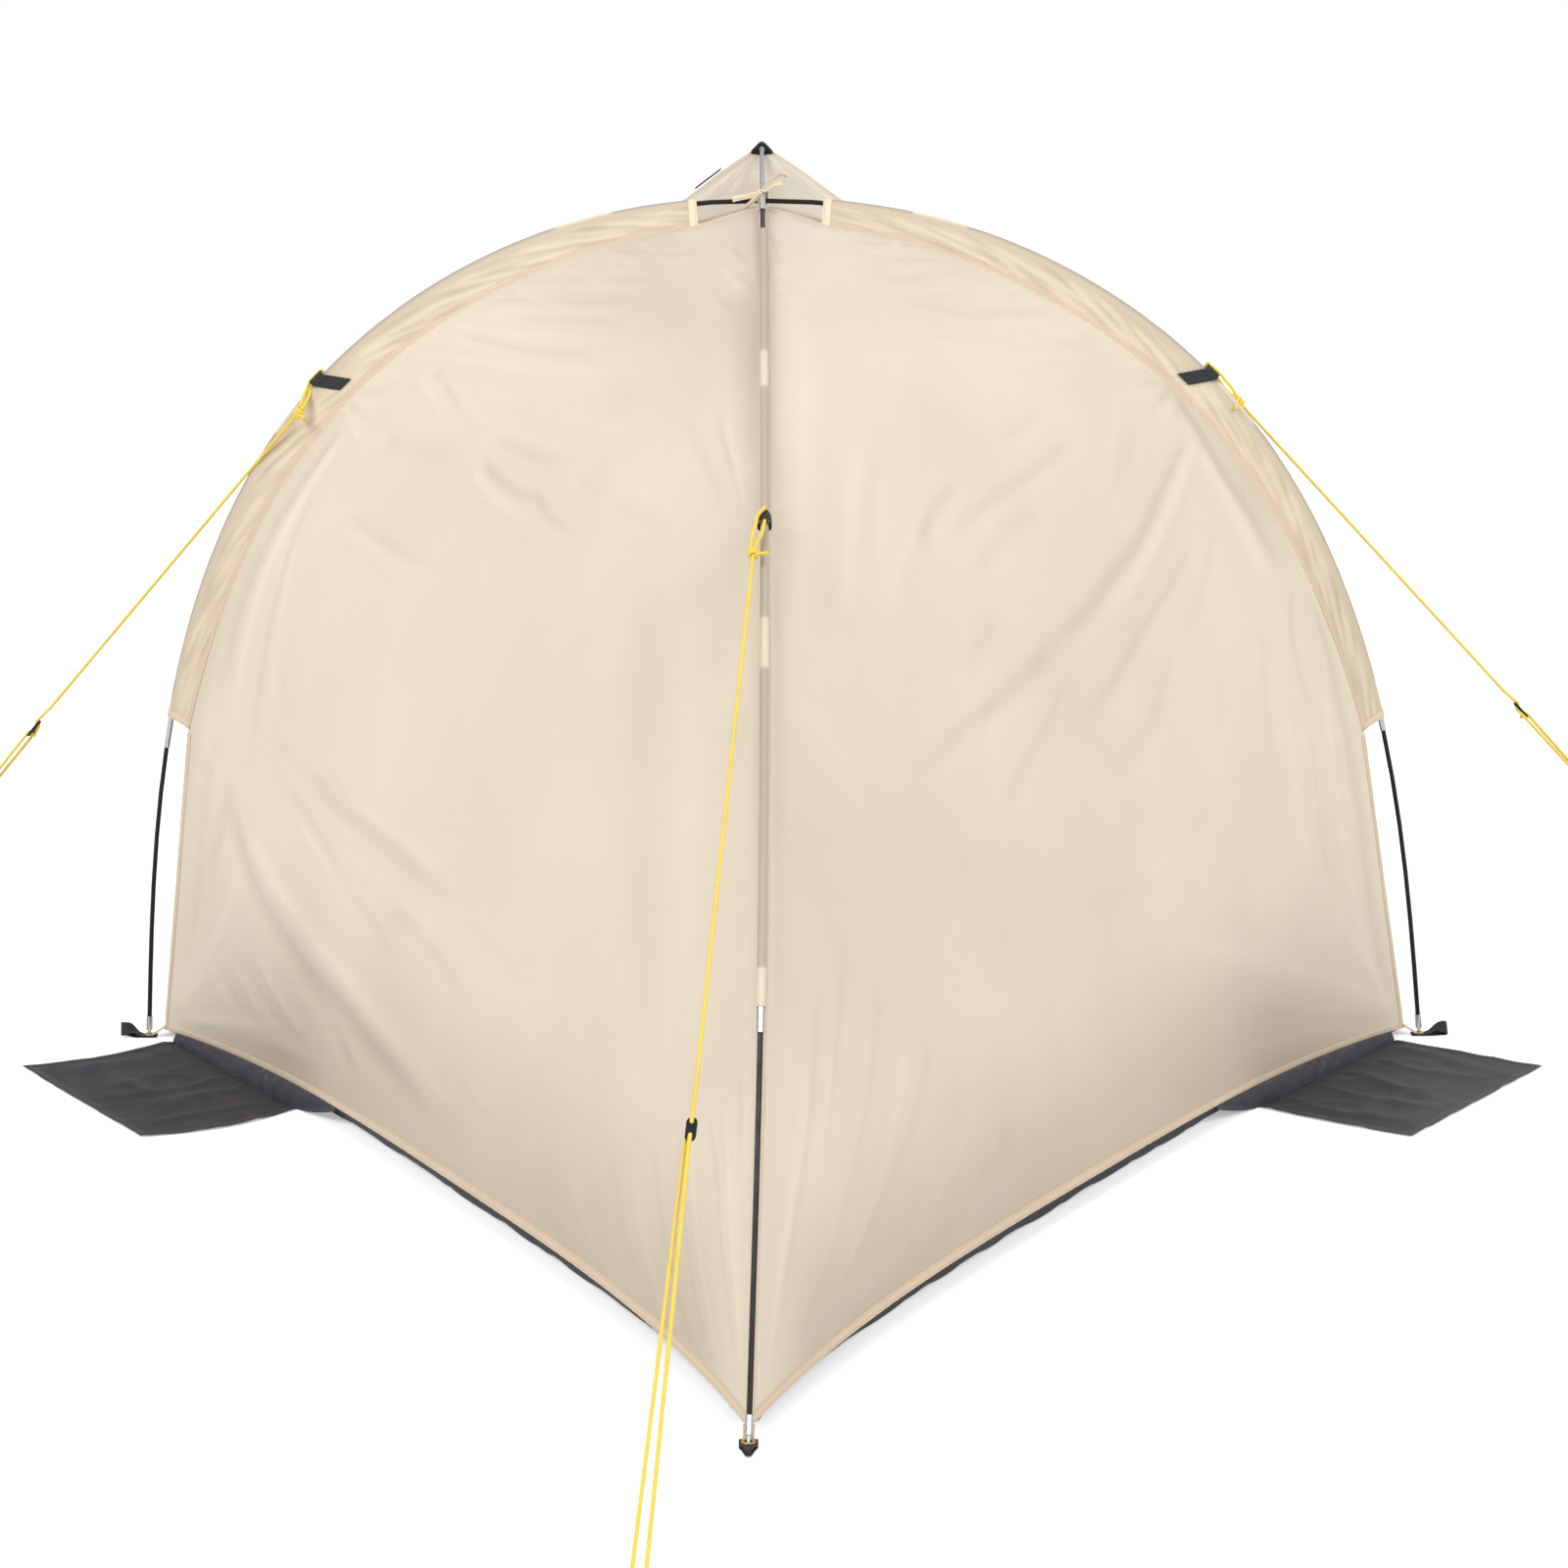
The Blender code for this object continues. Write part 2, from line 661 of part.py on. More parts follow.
def teardrop(radius, band, neck):
    """Outer and inner outlines of a sleeve: a round channel and a flat band behind it."""
    angles = [math.radians(a) for a in SLEEVE_OUTER_TURNS]
    outer = [(radius * math.cos(a), radius * math.sin(a)) for a in angles]
    bore = radius - SLEEVE_WALL
    inner = [(bore * math.cos(a), bore * math.sin(a)) for a in angles]
    outer += [(-neck, -BAND_HALF_THICKNESS), (-band, -BAND_HALF_THICKNESS)]
    outer += [(-band, BAND_HALF_THICKNESS), (-neck, BAND_HALF_THICKNESS)]
    inner_turns = [math.radians(a) for a in SLEEVE_BACK_TURNS]
    inner += [(bore * math.cos(a), bore * math.sin(a)) for a in inner_turns]
    return outer, inner


def build_arch_sleeve(node, side, top_gap):
    outer, inner = teardrop(ARCH_SLEEVE_RADIUS, BAND_WIDTH, BAND_NECK)
    top = half_arch(side) - top_gap
    stations = [s for s in seam_stations(side) if s < top] + [top]
    rings = []
    bores = []
    for s in stations:
        where = from_foot(side, s)
        centre = ARCH.at(where)
        away = band_direction(where) * -1.0
        flank = band_side(where)
        rings.append(profile_at(centre, away, flank, outer))
        bores.append(profile_at(centre, away, flank, inner))
    loft(node, "peach", rings, bores[::-1])


def build_ridge_sleeve():
    outer, inner = teardrop(RIDGE_SLEEVE_RADIUS, RIDGE_BAND_WIDTH, RIDGE_BAND_NECK)
    stations = [s for s in ridge_stations() if RIDGE_SLEEVE_FOOT_LENGTH < s < RIDGE_SLEEVE_TOP]
    stations = [RIDGE_SLEEVE_FOOT_LENGTH] + stations + [RIDGE_SLEEVE_TOP]
    rings = [profile_at(RIDGE.at(s), ridge_out(s), ridge_across(s), outer) for s in stations]
    bores = [profile_at(RIDGE.at(s), ridge_out(s), ridge_across(s), inner) for s in stations]
    loft("ridge_sleeve", "peach", rings, bores[::-1])


# Brow: the peak of cloth in front of the arch


BACKWARD = Vector((0.0, -1.0, 0.0))


def ridge_under(distance, depth):
    return RIDGE.at(distance) - ridge_out(distance) * depth


def brow_front(side, share):
    """The brow's free edge, share 0 at the guy tab and 1 at the peak."""
    where = from_foot(side, seam_stations(side)[BROW_FIRST_STATION])
    start = ARCH.at(where) - arch_out(where) * (BAND_WIDTH * HALF) + ARCH_NORMAL * BROW_END_REACH
    end = ridge_under(RIDGE.length - BROW_TIP_OVERHANG, BROW_BELOW_POLE)
    point = start + (end - start) * share
    slack = share * (1 - share) / (HALF * HALF)
    drop = (BACKWARD - arch_out(where)).normalized()
    return point + drop * (BROW_EDGE_SAG * slack)


def brow_rear(distance):
    inside = band_side(distance)
    if inside.dot(arch_out(distance)) > 0:
        inside = inside * -1.0
    start = seam_point(distance) - band_direction(distance) * BROW_SEAM_ADVANCE
    return start + inside * BROW_SEAM_DROP


def build_brow():
    columns = []
    for side in (-1, 1):
        stations = seam_stations(side)[BROW_FIRST_STATION:]
        first = stations[0]
        line = []
        for s in stations:
            share = (s - first) / (half_arch(side) - first)
            line.append((brow_rear(from_foot(side, s)), brow_front(side, share)))
        if side < 0:
            columns = line + [(brow_rear(ARCH_CROSSING), brow_front(side, 1.0))]
        else:
            columns += line[::-1]
    grid = []
    for r in range(BROW_ROWS + 1):
        along = r / BROW_ROWS
        grid.append([rear + (front - rear) * along for rear, front in columns])
    sheet("brow", "sand", grid, CLOTH_THICKNESS)


def build_brow_strap():
    grid = []
    for r in range(2):
        line = []
        for k in range(STRAP_TAB_STEPS + 1):
            run = (STRAP_TAB_END_SHARE - STRAP_TAB_START_SHARE) * k / STRAP_TAB_STEPS
            share = STRAP_TAB_START_SHARE + run
            edge = brow_front(-1, share)
            along = (brow_front(-1, share) - brow_front(-1, share - STRAP_TAB_THICKNESS)).normalized()
            up = (Vector((0.0, 0.0, 1.0)) - along * along.z).normalized()
            line.append(edge + up * (STRAP_TAB_STANDOFF + STRAP_TAB_WIDTH * r))
        grid.append(line)
    sheet("brow_strap", "webbing", grid, STRAP_TAB_THICKNESS)


def build_peak_cap():
    """A black pocket with wings: the ridge pole's front tip sits in its blind bore."""
    inner_share = [math.atan2(q, p) for p, q in CAP_OUTLINE]
    hole = [(CAP_BORE_RADIUS * math.cos(a), CAP_BORE_RADIUS * math.sin(a)) for a in inner_share]
    rear = RIDGE.length - CAP_LENGTH + CAP_FRONT_WALL
    end = RIDGE.at(RIDGE.length)
    along = RIDGE.tangent(RIDGE.length)
    out = ridge_out(RIDGE.length)
    side = ridge_across(RIDGE.length)
    front = end + along * CAP_FRONT_WALL
    back = end - along * (RIDGE.length - rear)
    floor = end + along * TIP_FLOOR_GAP * HALF
    shapes = [profile_at(centre, side, out, CAP_OUTLINE) for centre in (front, back)]
    bores = [profile_at(centre, side, out, hole) for centre in (back, floor)]
    loft("peak_cap", "black", shapes, bores, blind=True, smooth=False)


# Groundsheet, flaps and gussets


def build_groundsheet():
    """The floor: flat inside, its two long rims rising to the hem; its front edge lies level."""
    grid = []
    for r in range(WALL_COLUMNS + 1):
        share = min(r / WALL_COLUMNS, SHEET_END_SHARE)
        rims = []
        for side in (-1, 1):
            rim = hem_edge(side, share)
            rim.z -= RIM_GAP + SHEET_THICKNESS * HALF
            rims.append(rim)
        left, right = rims
        across = right - left
        across.z = 0.0
        run = min(RIM_RUN / across.length, RIM_MAX_SHARE)
        low_left = left + across * run
        low_right = right - across * run
        low_left.z = SHEET_THICKNESS * HALF
        low_right.z = SHEET_THICKNESS * HALF
        inside = [low_left + (low_right - low_left) * (k / SHEET_COLUMNS) for k in range(SHEET_COLUMNS + 1)]
        grid.append([left] + inside + [right])
    front = []
    for point in grid[0]:
        ahead = point.copy()
        ahead.y += SHEET_FRONT_REACH
        ahead.z = SHEET_THICKNESS * HALF
        front.append(ahead)
    sheet("groundsheet", "grey", [front] + grid, SHEET_THICKNESS)


def flap_line(side):
    """The seam on the ground between a gusset and its sand flap."""
    start = hem_point(side, 0.0)
    end = hem_point(side, 1.0)
    line = Vector((end.x - start.x, end.y - start.y, 0.0))
    inward = Vector((-line.y, line.x, 0.0)).normalized()
    if inward.x * side > 0:
        inward = inward * -1.0
    base = Vector((start.x, start.y, 0.0))
    near = base + line * FLAP_START_SHARE + inward * FLAP_START_INSET
    far = base + line * FLAP_END_SHARE + inward * FLAP_END_INSET
    return near, far


def build_flap(node, side):
    near, far = flap_line(side)
    along = (far - near).normalized()
    outward = Vector((along.y, -along.x, 0.0))
    if outward.x * side < 0:
        outward = outward * -1.0
    length = (far - near).length
    grid = []
    for r in range(FLAP_ROWS + 1):
        reach = FLAP_REACH * r / FLAP_ROWS
        line = []
        for k in range(FLAP_STEPS + 1):
            share = k / FLAP_STEPS
            point = near + along * (length * share) + outward * reach
            ripple = HALF - HALF * math.cos(2 * math.pi * FLAP_RIPPLE_TURNS * share)
            fade = math.sin(math.pi * r / FLAP_ROWS)
            point.z = FLAP_FLOOR_GAP + CLOTH_THICKNESS * HALF + FLAP_RIPPLE * ripple * fade
            line.append(point)
        grid.append(line)
    item = sheet(node, "grey", grid, CLOTH_THICKNESS)
    axis = (near + far) * HALF
    axis.z = FLAP_FLOOR_GAP + CLOTH_THICKNESS
    set_origin(item, axis)


def build_gusset(node, side):
    """The strip that rises from the flap's seam on the ground to the wall's hem."""
    near, far = flap_line(side)
    grid = []
    for share in GUSSET_SHARES:
        low = near + (far - near) * ((share - FLAP_START_SHARE) / (FLAP_END_SHARE - FLAP_START_SHARE))
        high = hem_edge(side, share, CLOTH_THICKNESS + SEAM_STEP)
        high.z -= GUSSET_HEM_DROP
        inward = Vector((high.x - low.x, high.y - low.y, 0.0)).normalized()
        low = low + inward * (CLOTH_THICKNESS * HALF + SEAM_STEP)
        low.z = GUSSET_FLOOR_GAP
        middle = (low + high) * HALF
        middle.z = low.z + (high.z - low.z) * GUSSET_BULGE_SHARE
        grid.append([low, middle, high])
    sheet(node, "grey", grid, CLOTH_THICKNESS)


def set_origin(item, point):
    item.data.transform(Matrix.Translation(-point))
    item.location = point


# Feet


def foot_axes(which, from_start):
    """Where a pole's pin passes the eyelet, the level way out, and the hole that its lean needs."""
    stack = 2 * STRAP_THICKNESS + STRAP_LAYER_GAP + STRAP_FLOOR_GAP + LAP_GAP + EYELET_HEIGHT
    distance = stack * HALF
    outward = Vector((0.0, -1.0, 0.0))
    if which is ARCH:
        outward = Vector((-1.0 if from_start else 1.0, 0.0, 0.0))
        distance = distance if from_start else which.length - distance
    rise = abs(which.tangent(distance).z)
    lean = math.sqrt(1 - rise ** 2) / rise
    hole = TIP_PIN_RADIUS / rise + stack * HALF * lean + PIN_CLEARANCE
    return which.at(distance), outward, hole


def racetrack(grow, eyelet):
    """Outline of the folded strap seen from its edge, set off by grow from its centre line."""
    low = STRAP_FLOOR_GAP + STRAP_THICKNESS * HALF
    flat = low + STRAP_THICKNESS + STRAP_LAYER_GAP
    tall = low + STRAP_LOOP_HEIGHT
    start = STRAP_THICKNESS * HALF - STRAP_INNER_REACH
    knee = eyelet + STRAP_THICKNESS
    far = STRAP_OUTER_REACH
    mid = (knee + far) * HALF
    centre = [
        (start, low), (knee, low), (mid, low),
        (far - STRAP_LOOP_HEIGHT * HALF, low), (far, low + tall * HALF),
        (far - STRAP_LOOP_HEIGHT * HALF, tall), (mid, tall), (knee, flat), (start, flat),
    ]
    count = len(centre)
    shape = []
    for k in range(count):
        before = centre[k - 1]
        after = centre[(k + 1) % count]
        run = math.hypot(after[0] - before[0], after[1] - before[1])
        right = ((after[1] - before[1]) / run, -(after[0] - before[0]) / run)
        shape.append((centre[k][0] + right[0] * grow, centre[k][1] + right[1] * grow))
    return shape


def build_foot(which, from_start, label):
    pin, outward, hole = foot_axes(which, from_start)
    eyelet = hole + EYELET_FLANGE
    up = Vector((0.0, 0.0, 1.0))
    side = outward.cross(up).normalized()
    base = Vector((pin.x, pin.y, 0.0))
    rings = []
    bores = []
    for reach in (-STRAP_WIDTH * HALF, STRAP_WIDTH * HALF):
        centre = base + side * reach
        rings.append(profile_at(centre, outward, up, racetrack(STRAP_THICKNESS * HALF, eyelet)))
        bores.append(profile_at(centre, outward, up, racetrack(-STRAP_THICKNESS * HALF, eyelet)))
    strap = loft(f"foot_strap_{label}", "webbing", rings, bores[::-1], smooth=False)
    cutter = loft(
        f"foot_hole_{label}", "webbing",
        [circle_at(base + up * z, outward, side, hole, ROUND_SIDES)
         for z in (-STRAP_LOOP_HEIGHT, STRAP_LOOP_HEIGHT)],
    )
    combine(strap, cutter)
    rise = 2 * STRAP_THICKNESS + STRAP_LAYER_GAP + STRAP_FLOOR_GAP + LAP_GAP
    stack = [(0.0, eyelet - EYELET_ROUND), (EYELET_ROUND, eyelet),
             (EYELET_HEIGHT - EYELET_ROUND, eyelet), (EYELET_HEIGHT, eyelet - EYELET_ROUND)]
    outer = [circle_at(base + up * (rise + z), outward, side, r, ROUND_SIDES) for z, r in stack]
    inner = [circle_at(base + up * (rise + z), outward, side, hole, ROUND_SIDES)
             for z in (EYELET_HEIGHT, 0.0)]
    loft(f"foot_eyelet_{label}", "brass", outer, inner)


def combine(item, cutter, operation="DIFFERENCE"):
    """Join or subtract another solid and bake the result, so that no helper object is left."""
    cutter.hide_render = True
    cutter.display_type = "WIRE"
    change = item.modifiers.new("combine", "BOOLEAN")
    change.operation = operation
    change.solver = "EXACT"
    change.object = cutter
    graph = bpy.context.evaluated_depsgraph_get()
    baked = bpy.data.meshes.new_from_object(item.evaluated_get(graph))
    item.modifiers.clear()
    item.data = baked
    bpy.data.objects.remove(cutter, do_unlink=True)


# Guy tabs, lines and runners


def tab_outline(radius, lap, reach, neck):
    """A webbing loop round the sleeve, its nose standing clear of the pole for the line."""
    clear = radius + TAB_CLEARANCE
    slim = BAND_HALF_THICKNESS + TAB_CLEARANCE
    half = [(reach, 0.0), (reach - TAB_THICKNESS * 2, clear * TAB_NOSE_SHARE)]
    half += [(clear * across, clear * up) for across, up in TAB_ROUND_SHARES]
    if lap > neck:
        half += [(-neck - LAP_GAP, slim + LAP_GAP)]
    half += [(-lap, BAND_HALF_THICKNESS + TAB_LAP_GAP)]
    lower = [(p, -q) for p, q in half[1:]]
    return lower[::-1] + half


def build_tab(node, centre, frame, radius, lap, reach, neck):
    away, flank, run = frame
    path = tab_outline(radius, lap, reach, neck)
    outline = ribbon_outline(path, -TAB_THICKNESS)
    loops = [profile_at(centre + run * (TAB_WIDTH * k), away, flank, outline) for k in (-HALF, HALF)]
    loft(node, "webbing", loops, smooth=False)


def line_frame(start, end):
    along = (end - start).normalized()
    side = along.cross(Vector((0.0, 0.0, 1.0))).normalized()
    return along, side, side.cross(along).normalized()


def knot_and_eye(eye, reach_out, down, away, start, along, side, lift):
    """The cord's tail, its turns round the standing strand and its loop through the webbing tab."""
    turn_radius = 2 * LINE_RADIUS + LINE_GAP
    knot = start + along * KNOT_DISTANCE
    points = []
    for k in range(TAIL_STEPS):
        share = 1 - k / TAIL_STEPS
        tail = KNOT_TAIL * share
        aside = side * (turn_radius + tail * TAIL_SIDE_SHARE) - lift * (tail * TAIL_LIFT_SHARE)
        points.append(knot + along * (KNOT_LENGTH + tail) + aside)
    steps = KNOT_TURN_STEPS * KNOT_TURNS
    for k in range(steps + 1):
        turn = 2 * math.pi * KNOT_TURNS * k / steps
        here = knot + along * (KNOT_LENGTH * (1 - k / steps))
        points.append(here + side * (turn_radius * math.cos(turn)) + lift * (turn_radius * math.sin(turn)))
    half_tab = TAB_WIDTH * HALF
    radius = reach_out * HALF
    points.append(eye + away * reach_out + down * half_tab + side * LINE_RADIUS)
    for k in range(EYE_STEPS + 1):
        turn = math.pi * k / EYE_STEPS
        rise = half_tab * LOOP_NECK_SHARE + radius * math.sin(turn)
        points.append(eye + away * (radius + radius * math.cos(turn)) - down * rise)
    points.append(eye + down * half_tab)
    points.append(knot - along * (KNOT_DISTANCE * HALF * HALF) - side * LINE_RADIUS)
    points.append(knot - along * LINE_RADIUS)
    return points


def build_line(label, hub, away, run, reach, end, runner_share):
    """The guy line with its runner: one cord that goes down, turns round at its end and comes back."""
    eye_reach = (ARCH_SLEEVE_RADIUS + reach) * HALF
    reach_out = reach + TAB_THICKNESS + LINE_RADIUS + LINE_GAP - eye_reach
    eye = hub + away * eye_reach
    start = eye + away * (reach_out * HALF)
    along, side, lift = line_frame(start, end)
    down = run if run.dot(along) > 0 else run * -1.0
    centre = start + (end - start) * runner_share
    points = knot_and_eye(eye, reach_out, down, away, start, along, side, lift)
    half = RUNNER_HOLE_SPACING * HALF
    pass_by = RUNNER_THICKNESS * HALF + LINE_RADIUS + LINE_GAP
    turned = pass_by * TURNED_SHARE
    inside = pass_by * INSIDE_SHARE
    beside = END_KNOT_RADIUS + LINE_RADIUS + 2 * LINE_GAP
    ahead = half + RUNNER_WIDTH * HALF

    def spot(forward, up, across):
        return centre + along * forward + lift * up + side * across

    points.append(spot(-half - RUNNER_LENGTH, LINE_GAP, 0.0))
    points.append(spot(-ahead, pass_by, 0.0))
    points.append(spot(-half - LINE_RADIUS, turned, 0.0))
    points.append(spot(-half, inside, 0.0))
    points.append(spot(-half, -inside, 0.0))
    points.append(spot(-half + LINE_RADIUS, -turned, LINE_GAP))
    points.append(spot(0.0, -pass_by, beside * HALF))
    points.append(spot(half, -pass_by, beside))
    points.append(spot(ahead, -pass_by, beside))
    reach = (end - centre).length
    for k in range(STRAND_STEPS):
        share = (k + 1) / (STRAND_STEPS + 1)
        forward = ahead + (reach - STRAND_SPREAD - ahead) * share
        points.append(spot(forward, -pass_by * (1 - share), beside + (STRAND_SPREAD - beside) * share))
    for k in range(TURN_STEPS + 1):
        turn = math.pi * k / TURN_STEPS
        forward = reach - STRAND_SPREAD + STRAND_SPREAD * math.sin(turn)
        points.append(spot(forward, 0.0, STRAND_SPREAD * math.cos(turn)))
    for k in range(STRAND_STEPS, 0, -1):
        share = k / (STRAND_STEPS + 1)
        forward = ahead + (reach - STRAND_SPREAD - ahead) * share
        points.append(spot(forward, pass_by * (1 - share), -STRAND_SPREAD * share))
    points.append(spot(ahead, pass_by, 0.0))
    points.append(spot(half + LINE_RADIUS, turned, 0.0))
    points.append(spot(half, inside, 0.0))
    points.append(spot(half, -inside, 0.0))
    tail = RUNNER_THICKNESS * HALF + 2 * LINE_GAP
    points.append(spot(half, -tail, 0.0))
    cord(f"guy_line_{label}", points)
    knot_ball(f"guy_end_knot_{label}", spot(half, -tail - LINE_GAP - END_KNOT_RADIUS, 0.0), along)
    runner(f"line_runner_{label}", centre, along, side, lift)


def cord(node, points):
    data = bpy.data.curves.new(node, "CURVE")
    data.dimensions = "3D"
    data.bevel_depth = LINE_RADIUS
    data.bevel_resolution = 2
    data.use_fill_caps = True
    spline = data.splines.new("POLY")
    spline.points.add(len(points) - 1)
    for k, point in enumerate(points):
        spline.points[k].co = (*point, 1.0)
    spline.use_smooth = True
    item = bpy.data.objects.new(node, data)
    data.materials.append(material(node, "yellow"))
    bpy.context.scene.collection.objects.link(item)


def knot_ball(node, centre, along):
    across = along.cross(Vector((0.0, 0.0, 1.0))).normalized()
    third = across.cross(along).normalized()
    loops = []
    for share in KNOT_SLICES:
        radius = END_KNOT_RADIUS * math.sqrt(1 - share ** 2)
        loops.append(circle_at(centre + along * (END_KNOT_RADIUS * share), across, third, radius, KNOT_SIDES))
    loft(node, "yellow", loops)


def runner(node, centre, along, side, lift):
    """A flat bar with two holes that the line threads through."""
    half_long = RUNNER_LENGTH * HALF
    half_wide = RUNNER_WIDTH * HALF
    outline = []
    for sign in (1, -1):
        for k in range(RUNNER_END_STEPS + 1):
            turn = math.pi * (k / RUNNER_END_STEPS - HALF * sign)
            forward = sign * (half_long - half_wide) + half_wide * math.cos(turn)
            outline.append((forward, half_wide * math.sin(turn)))
    slim = 1 - RUNNER_BEVEL / half_wide
    loops = []
    thick = RUNNER_THICKNESS * HALF
    edge = thick - RUNNER_BEVEL
    for height, share in ((-thick, slim), (-edge, 1.0), (edge, 1.0), (thick, slim)):
        shrunk = [(p * share, q * share) for p, q in outline]
        loops.append(profile_at(centre + lift * height, along, side, shrunk))
    bar = loft(node, "black", loops, smooth=False)
    for sign in (-1, 1):
        spot = centre + along * (sign * RUNNER_HOLE_SPACING * HALF)
        loops = [circle_at(spot + lift * h, along, side, RUNNER_HOLE_RADIUS, ROUND_SIDES)
                 for h in (-RUNNER_THICKNESS, RUNNER_THICKNESS)]
        combine(bar, loft(f"{node}_hole", "black", loops))
    set_origin(bar, centre)


def build_guys():
    sides = (
        ("left", ARCH_TAB_LEFT_SHARE, END_LEFT, RUNNER_LEFT_SHARE),
        ("right", ARCH_TAB_RIGHT_SHARE, END_RIGHT, RUNNER_RIGHT_SHARE),
    )
    for label, tab_share, spot, runner_share in sides:
        where = ARCH.length * tab_share
        centre = ARCH.at(where)
        away = band_direction(where) * -1.0
        flank = band_side(where)
        run = ARCH.tangent(where)
        frame = (away, flank, run)
        build_tab(f"guy_tab_{label}", centre, frame, ARCH_SLEEVE_RADIUS, TAB_LAP, TAB_REACH, BAND_NECK)
        end = Vector((*spot, LINE_END_HEIGHT))
        build_line(label, centre, away, run, TAB_REACH, end, runner_share)
    where = RIDGE.length * RIDGE_TAB_SHARE
    centre = RIDGE.at(where)
    away = ridge_out(where)
    run = RIDGE.tangent(where)
    frame = (away, ridge_across(where), run)
    build_tab("guy_tab_back", centre, frame, RIDGE_SLEEVE_RADIUS, RIDGE_TAB_LAP, RIDGE_TAB_REACH, BAND_NECK)
    end = Vector((*END_BACK, LINE_END_HEIGHT))
    build_line("back", centre, away, run, RIDGE_TAB_REACH, end, RUNNER_BACK_SHARE)


def tape_ring(point, run, side):
    """The tape's four corners at a point of its path."""
    thick = run.cross(side).normalized()
    half = side * (TIE_WIDTH * HALF)
    slim = thick * (TIE_THICKNESS * HALF)
    return [point + half + slim, point - half + slim, point - half - slim, point + half - slim]


def build_crossing_tie():
    """A cloth tape round both poles, its knot on top and the four ends of its bow."""
    centre = ARCH.at(ARCH_CROSSING)
    up = Vector((0.0, 0.0, 1.0))
    diagonal = Vector((1.0, 1.0, 0.0)).normalized()
    width_way = diagonal.cross(up)
    path = [centre + diagonal * along + up * height for along, height in TIE_LOOP_POINTS]
    rings = []
    for k, point in enumerate(path):
        run = (path[(k + 1) % len(path)] - path[k - 1]).normalized()
        rings.append(tape_ring(point, run, width_way))
    verts = [p for loop in rings for p in loop]
    corners = len(rings[0])
    faces = []
    for k in range(len(rings)):
        faces += band_faces(corners * k, corners * ((k + 1) % len(rings)), corners)
    tie = finish_mesh("crossing_tie", "peach", verts, faces, smooth=False)
    middle = centre + Vector(TIE_KNOT_CENTRE)
    loops = []
    for share in KNOT_SLICES:
        radius = TIE_KNOT_RADIUS * math.sqrt(1 - share ** 2)
        lift = up * (TIE_KNOT_RADIUS * KNOT_FLATNESS * share)
        loops.append(circle_at(middle + lift, diagonal, width_way, radius, TIE_KNOT_SIDES))
    pieces = [loft("tie_knot", "peach", loops)]
    for k, tail in enumerate(TIE_TAIL_POINTS):
        points = [centre + Vector(p) for p in tail]
        loops = []
        for j, point in enumerate(points):
            run = (points[min(j + 1, len(points) - 1)] - points[max(j - 1, 0)]).normalized()
            side = run.cross(up).normalized()
            loops.append(tape_ring(point, run, side))
        pieces.append(loft(f"tie_tail_{k + 1}", "peach", loops, smooth=False))
    for piece in pieces:
        combine(tie, piece, "UNION")


def build():
    clear_scene()
    build_pole(ARCH, "arch", ARCH_SECTIONS, ARCH_JOINT_SHIFT)
    build_pole(RIDGE, "ridge", RIDGE_SECTIONS, 0.0)
    build_tip(ARCH, "arch_tip_left", True)
    build_tip(ARCH, "arch_tip_right", False)
    build_tip(RIDGE, "ridge_tip_back", True)
    build_tip(RIDGE, "ridge_tip_front", False)
    build_wall("wall_left", -1)
    build_wall("wall_right", 1)
    build_arch_sleeve("arch_sleeve_left", -1, ARCH_SLEEVE_LEFT_TOP_GAP)
    build_arch_sleeve("arch_sleeve_right", 1, ARCH_SLEEVE_RIGHT_TOP_GAP)
    build_ridge_sleeve()
    build_brow()
    build_brow_strap()
    build_peak_cap()
    build_groundsheet()
    for label, side in (("left", -1), ("right", 1)):
        build_flap(f"sand_flap_{label}", side)
        build_gusset(f"flap_gusset_{label}", side)
    build_foot(ARCH, True, "left")
    build_foot(ARCH, False, "right")
    build_foot(RIDGE, True, "back")
    build_guys()
    build_crossing_tie()


build()
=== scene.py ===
"""Beach tent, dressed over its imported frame: cloth, tapes, webbing, cords and finishes.

Metres, +Z up. The open front faces +Y and the photograph looks from -Y, at the back corner.
"""

import json
import math

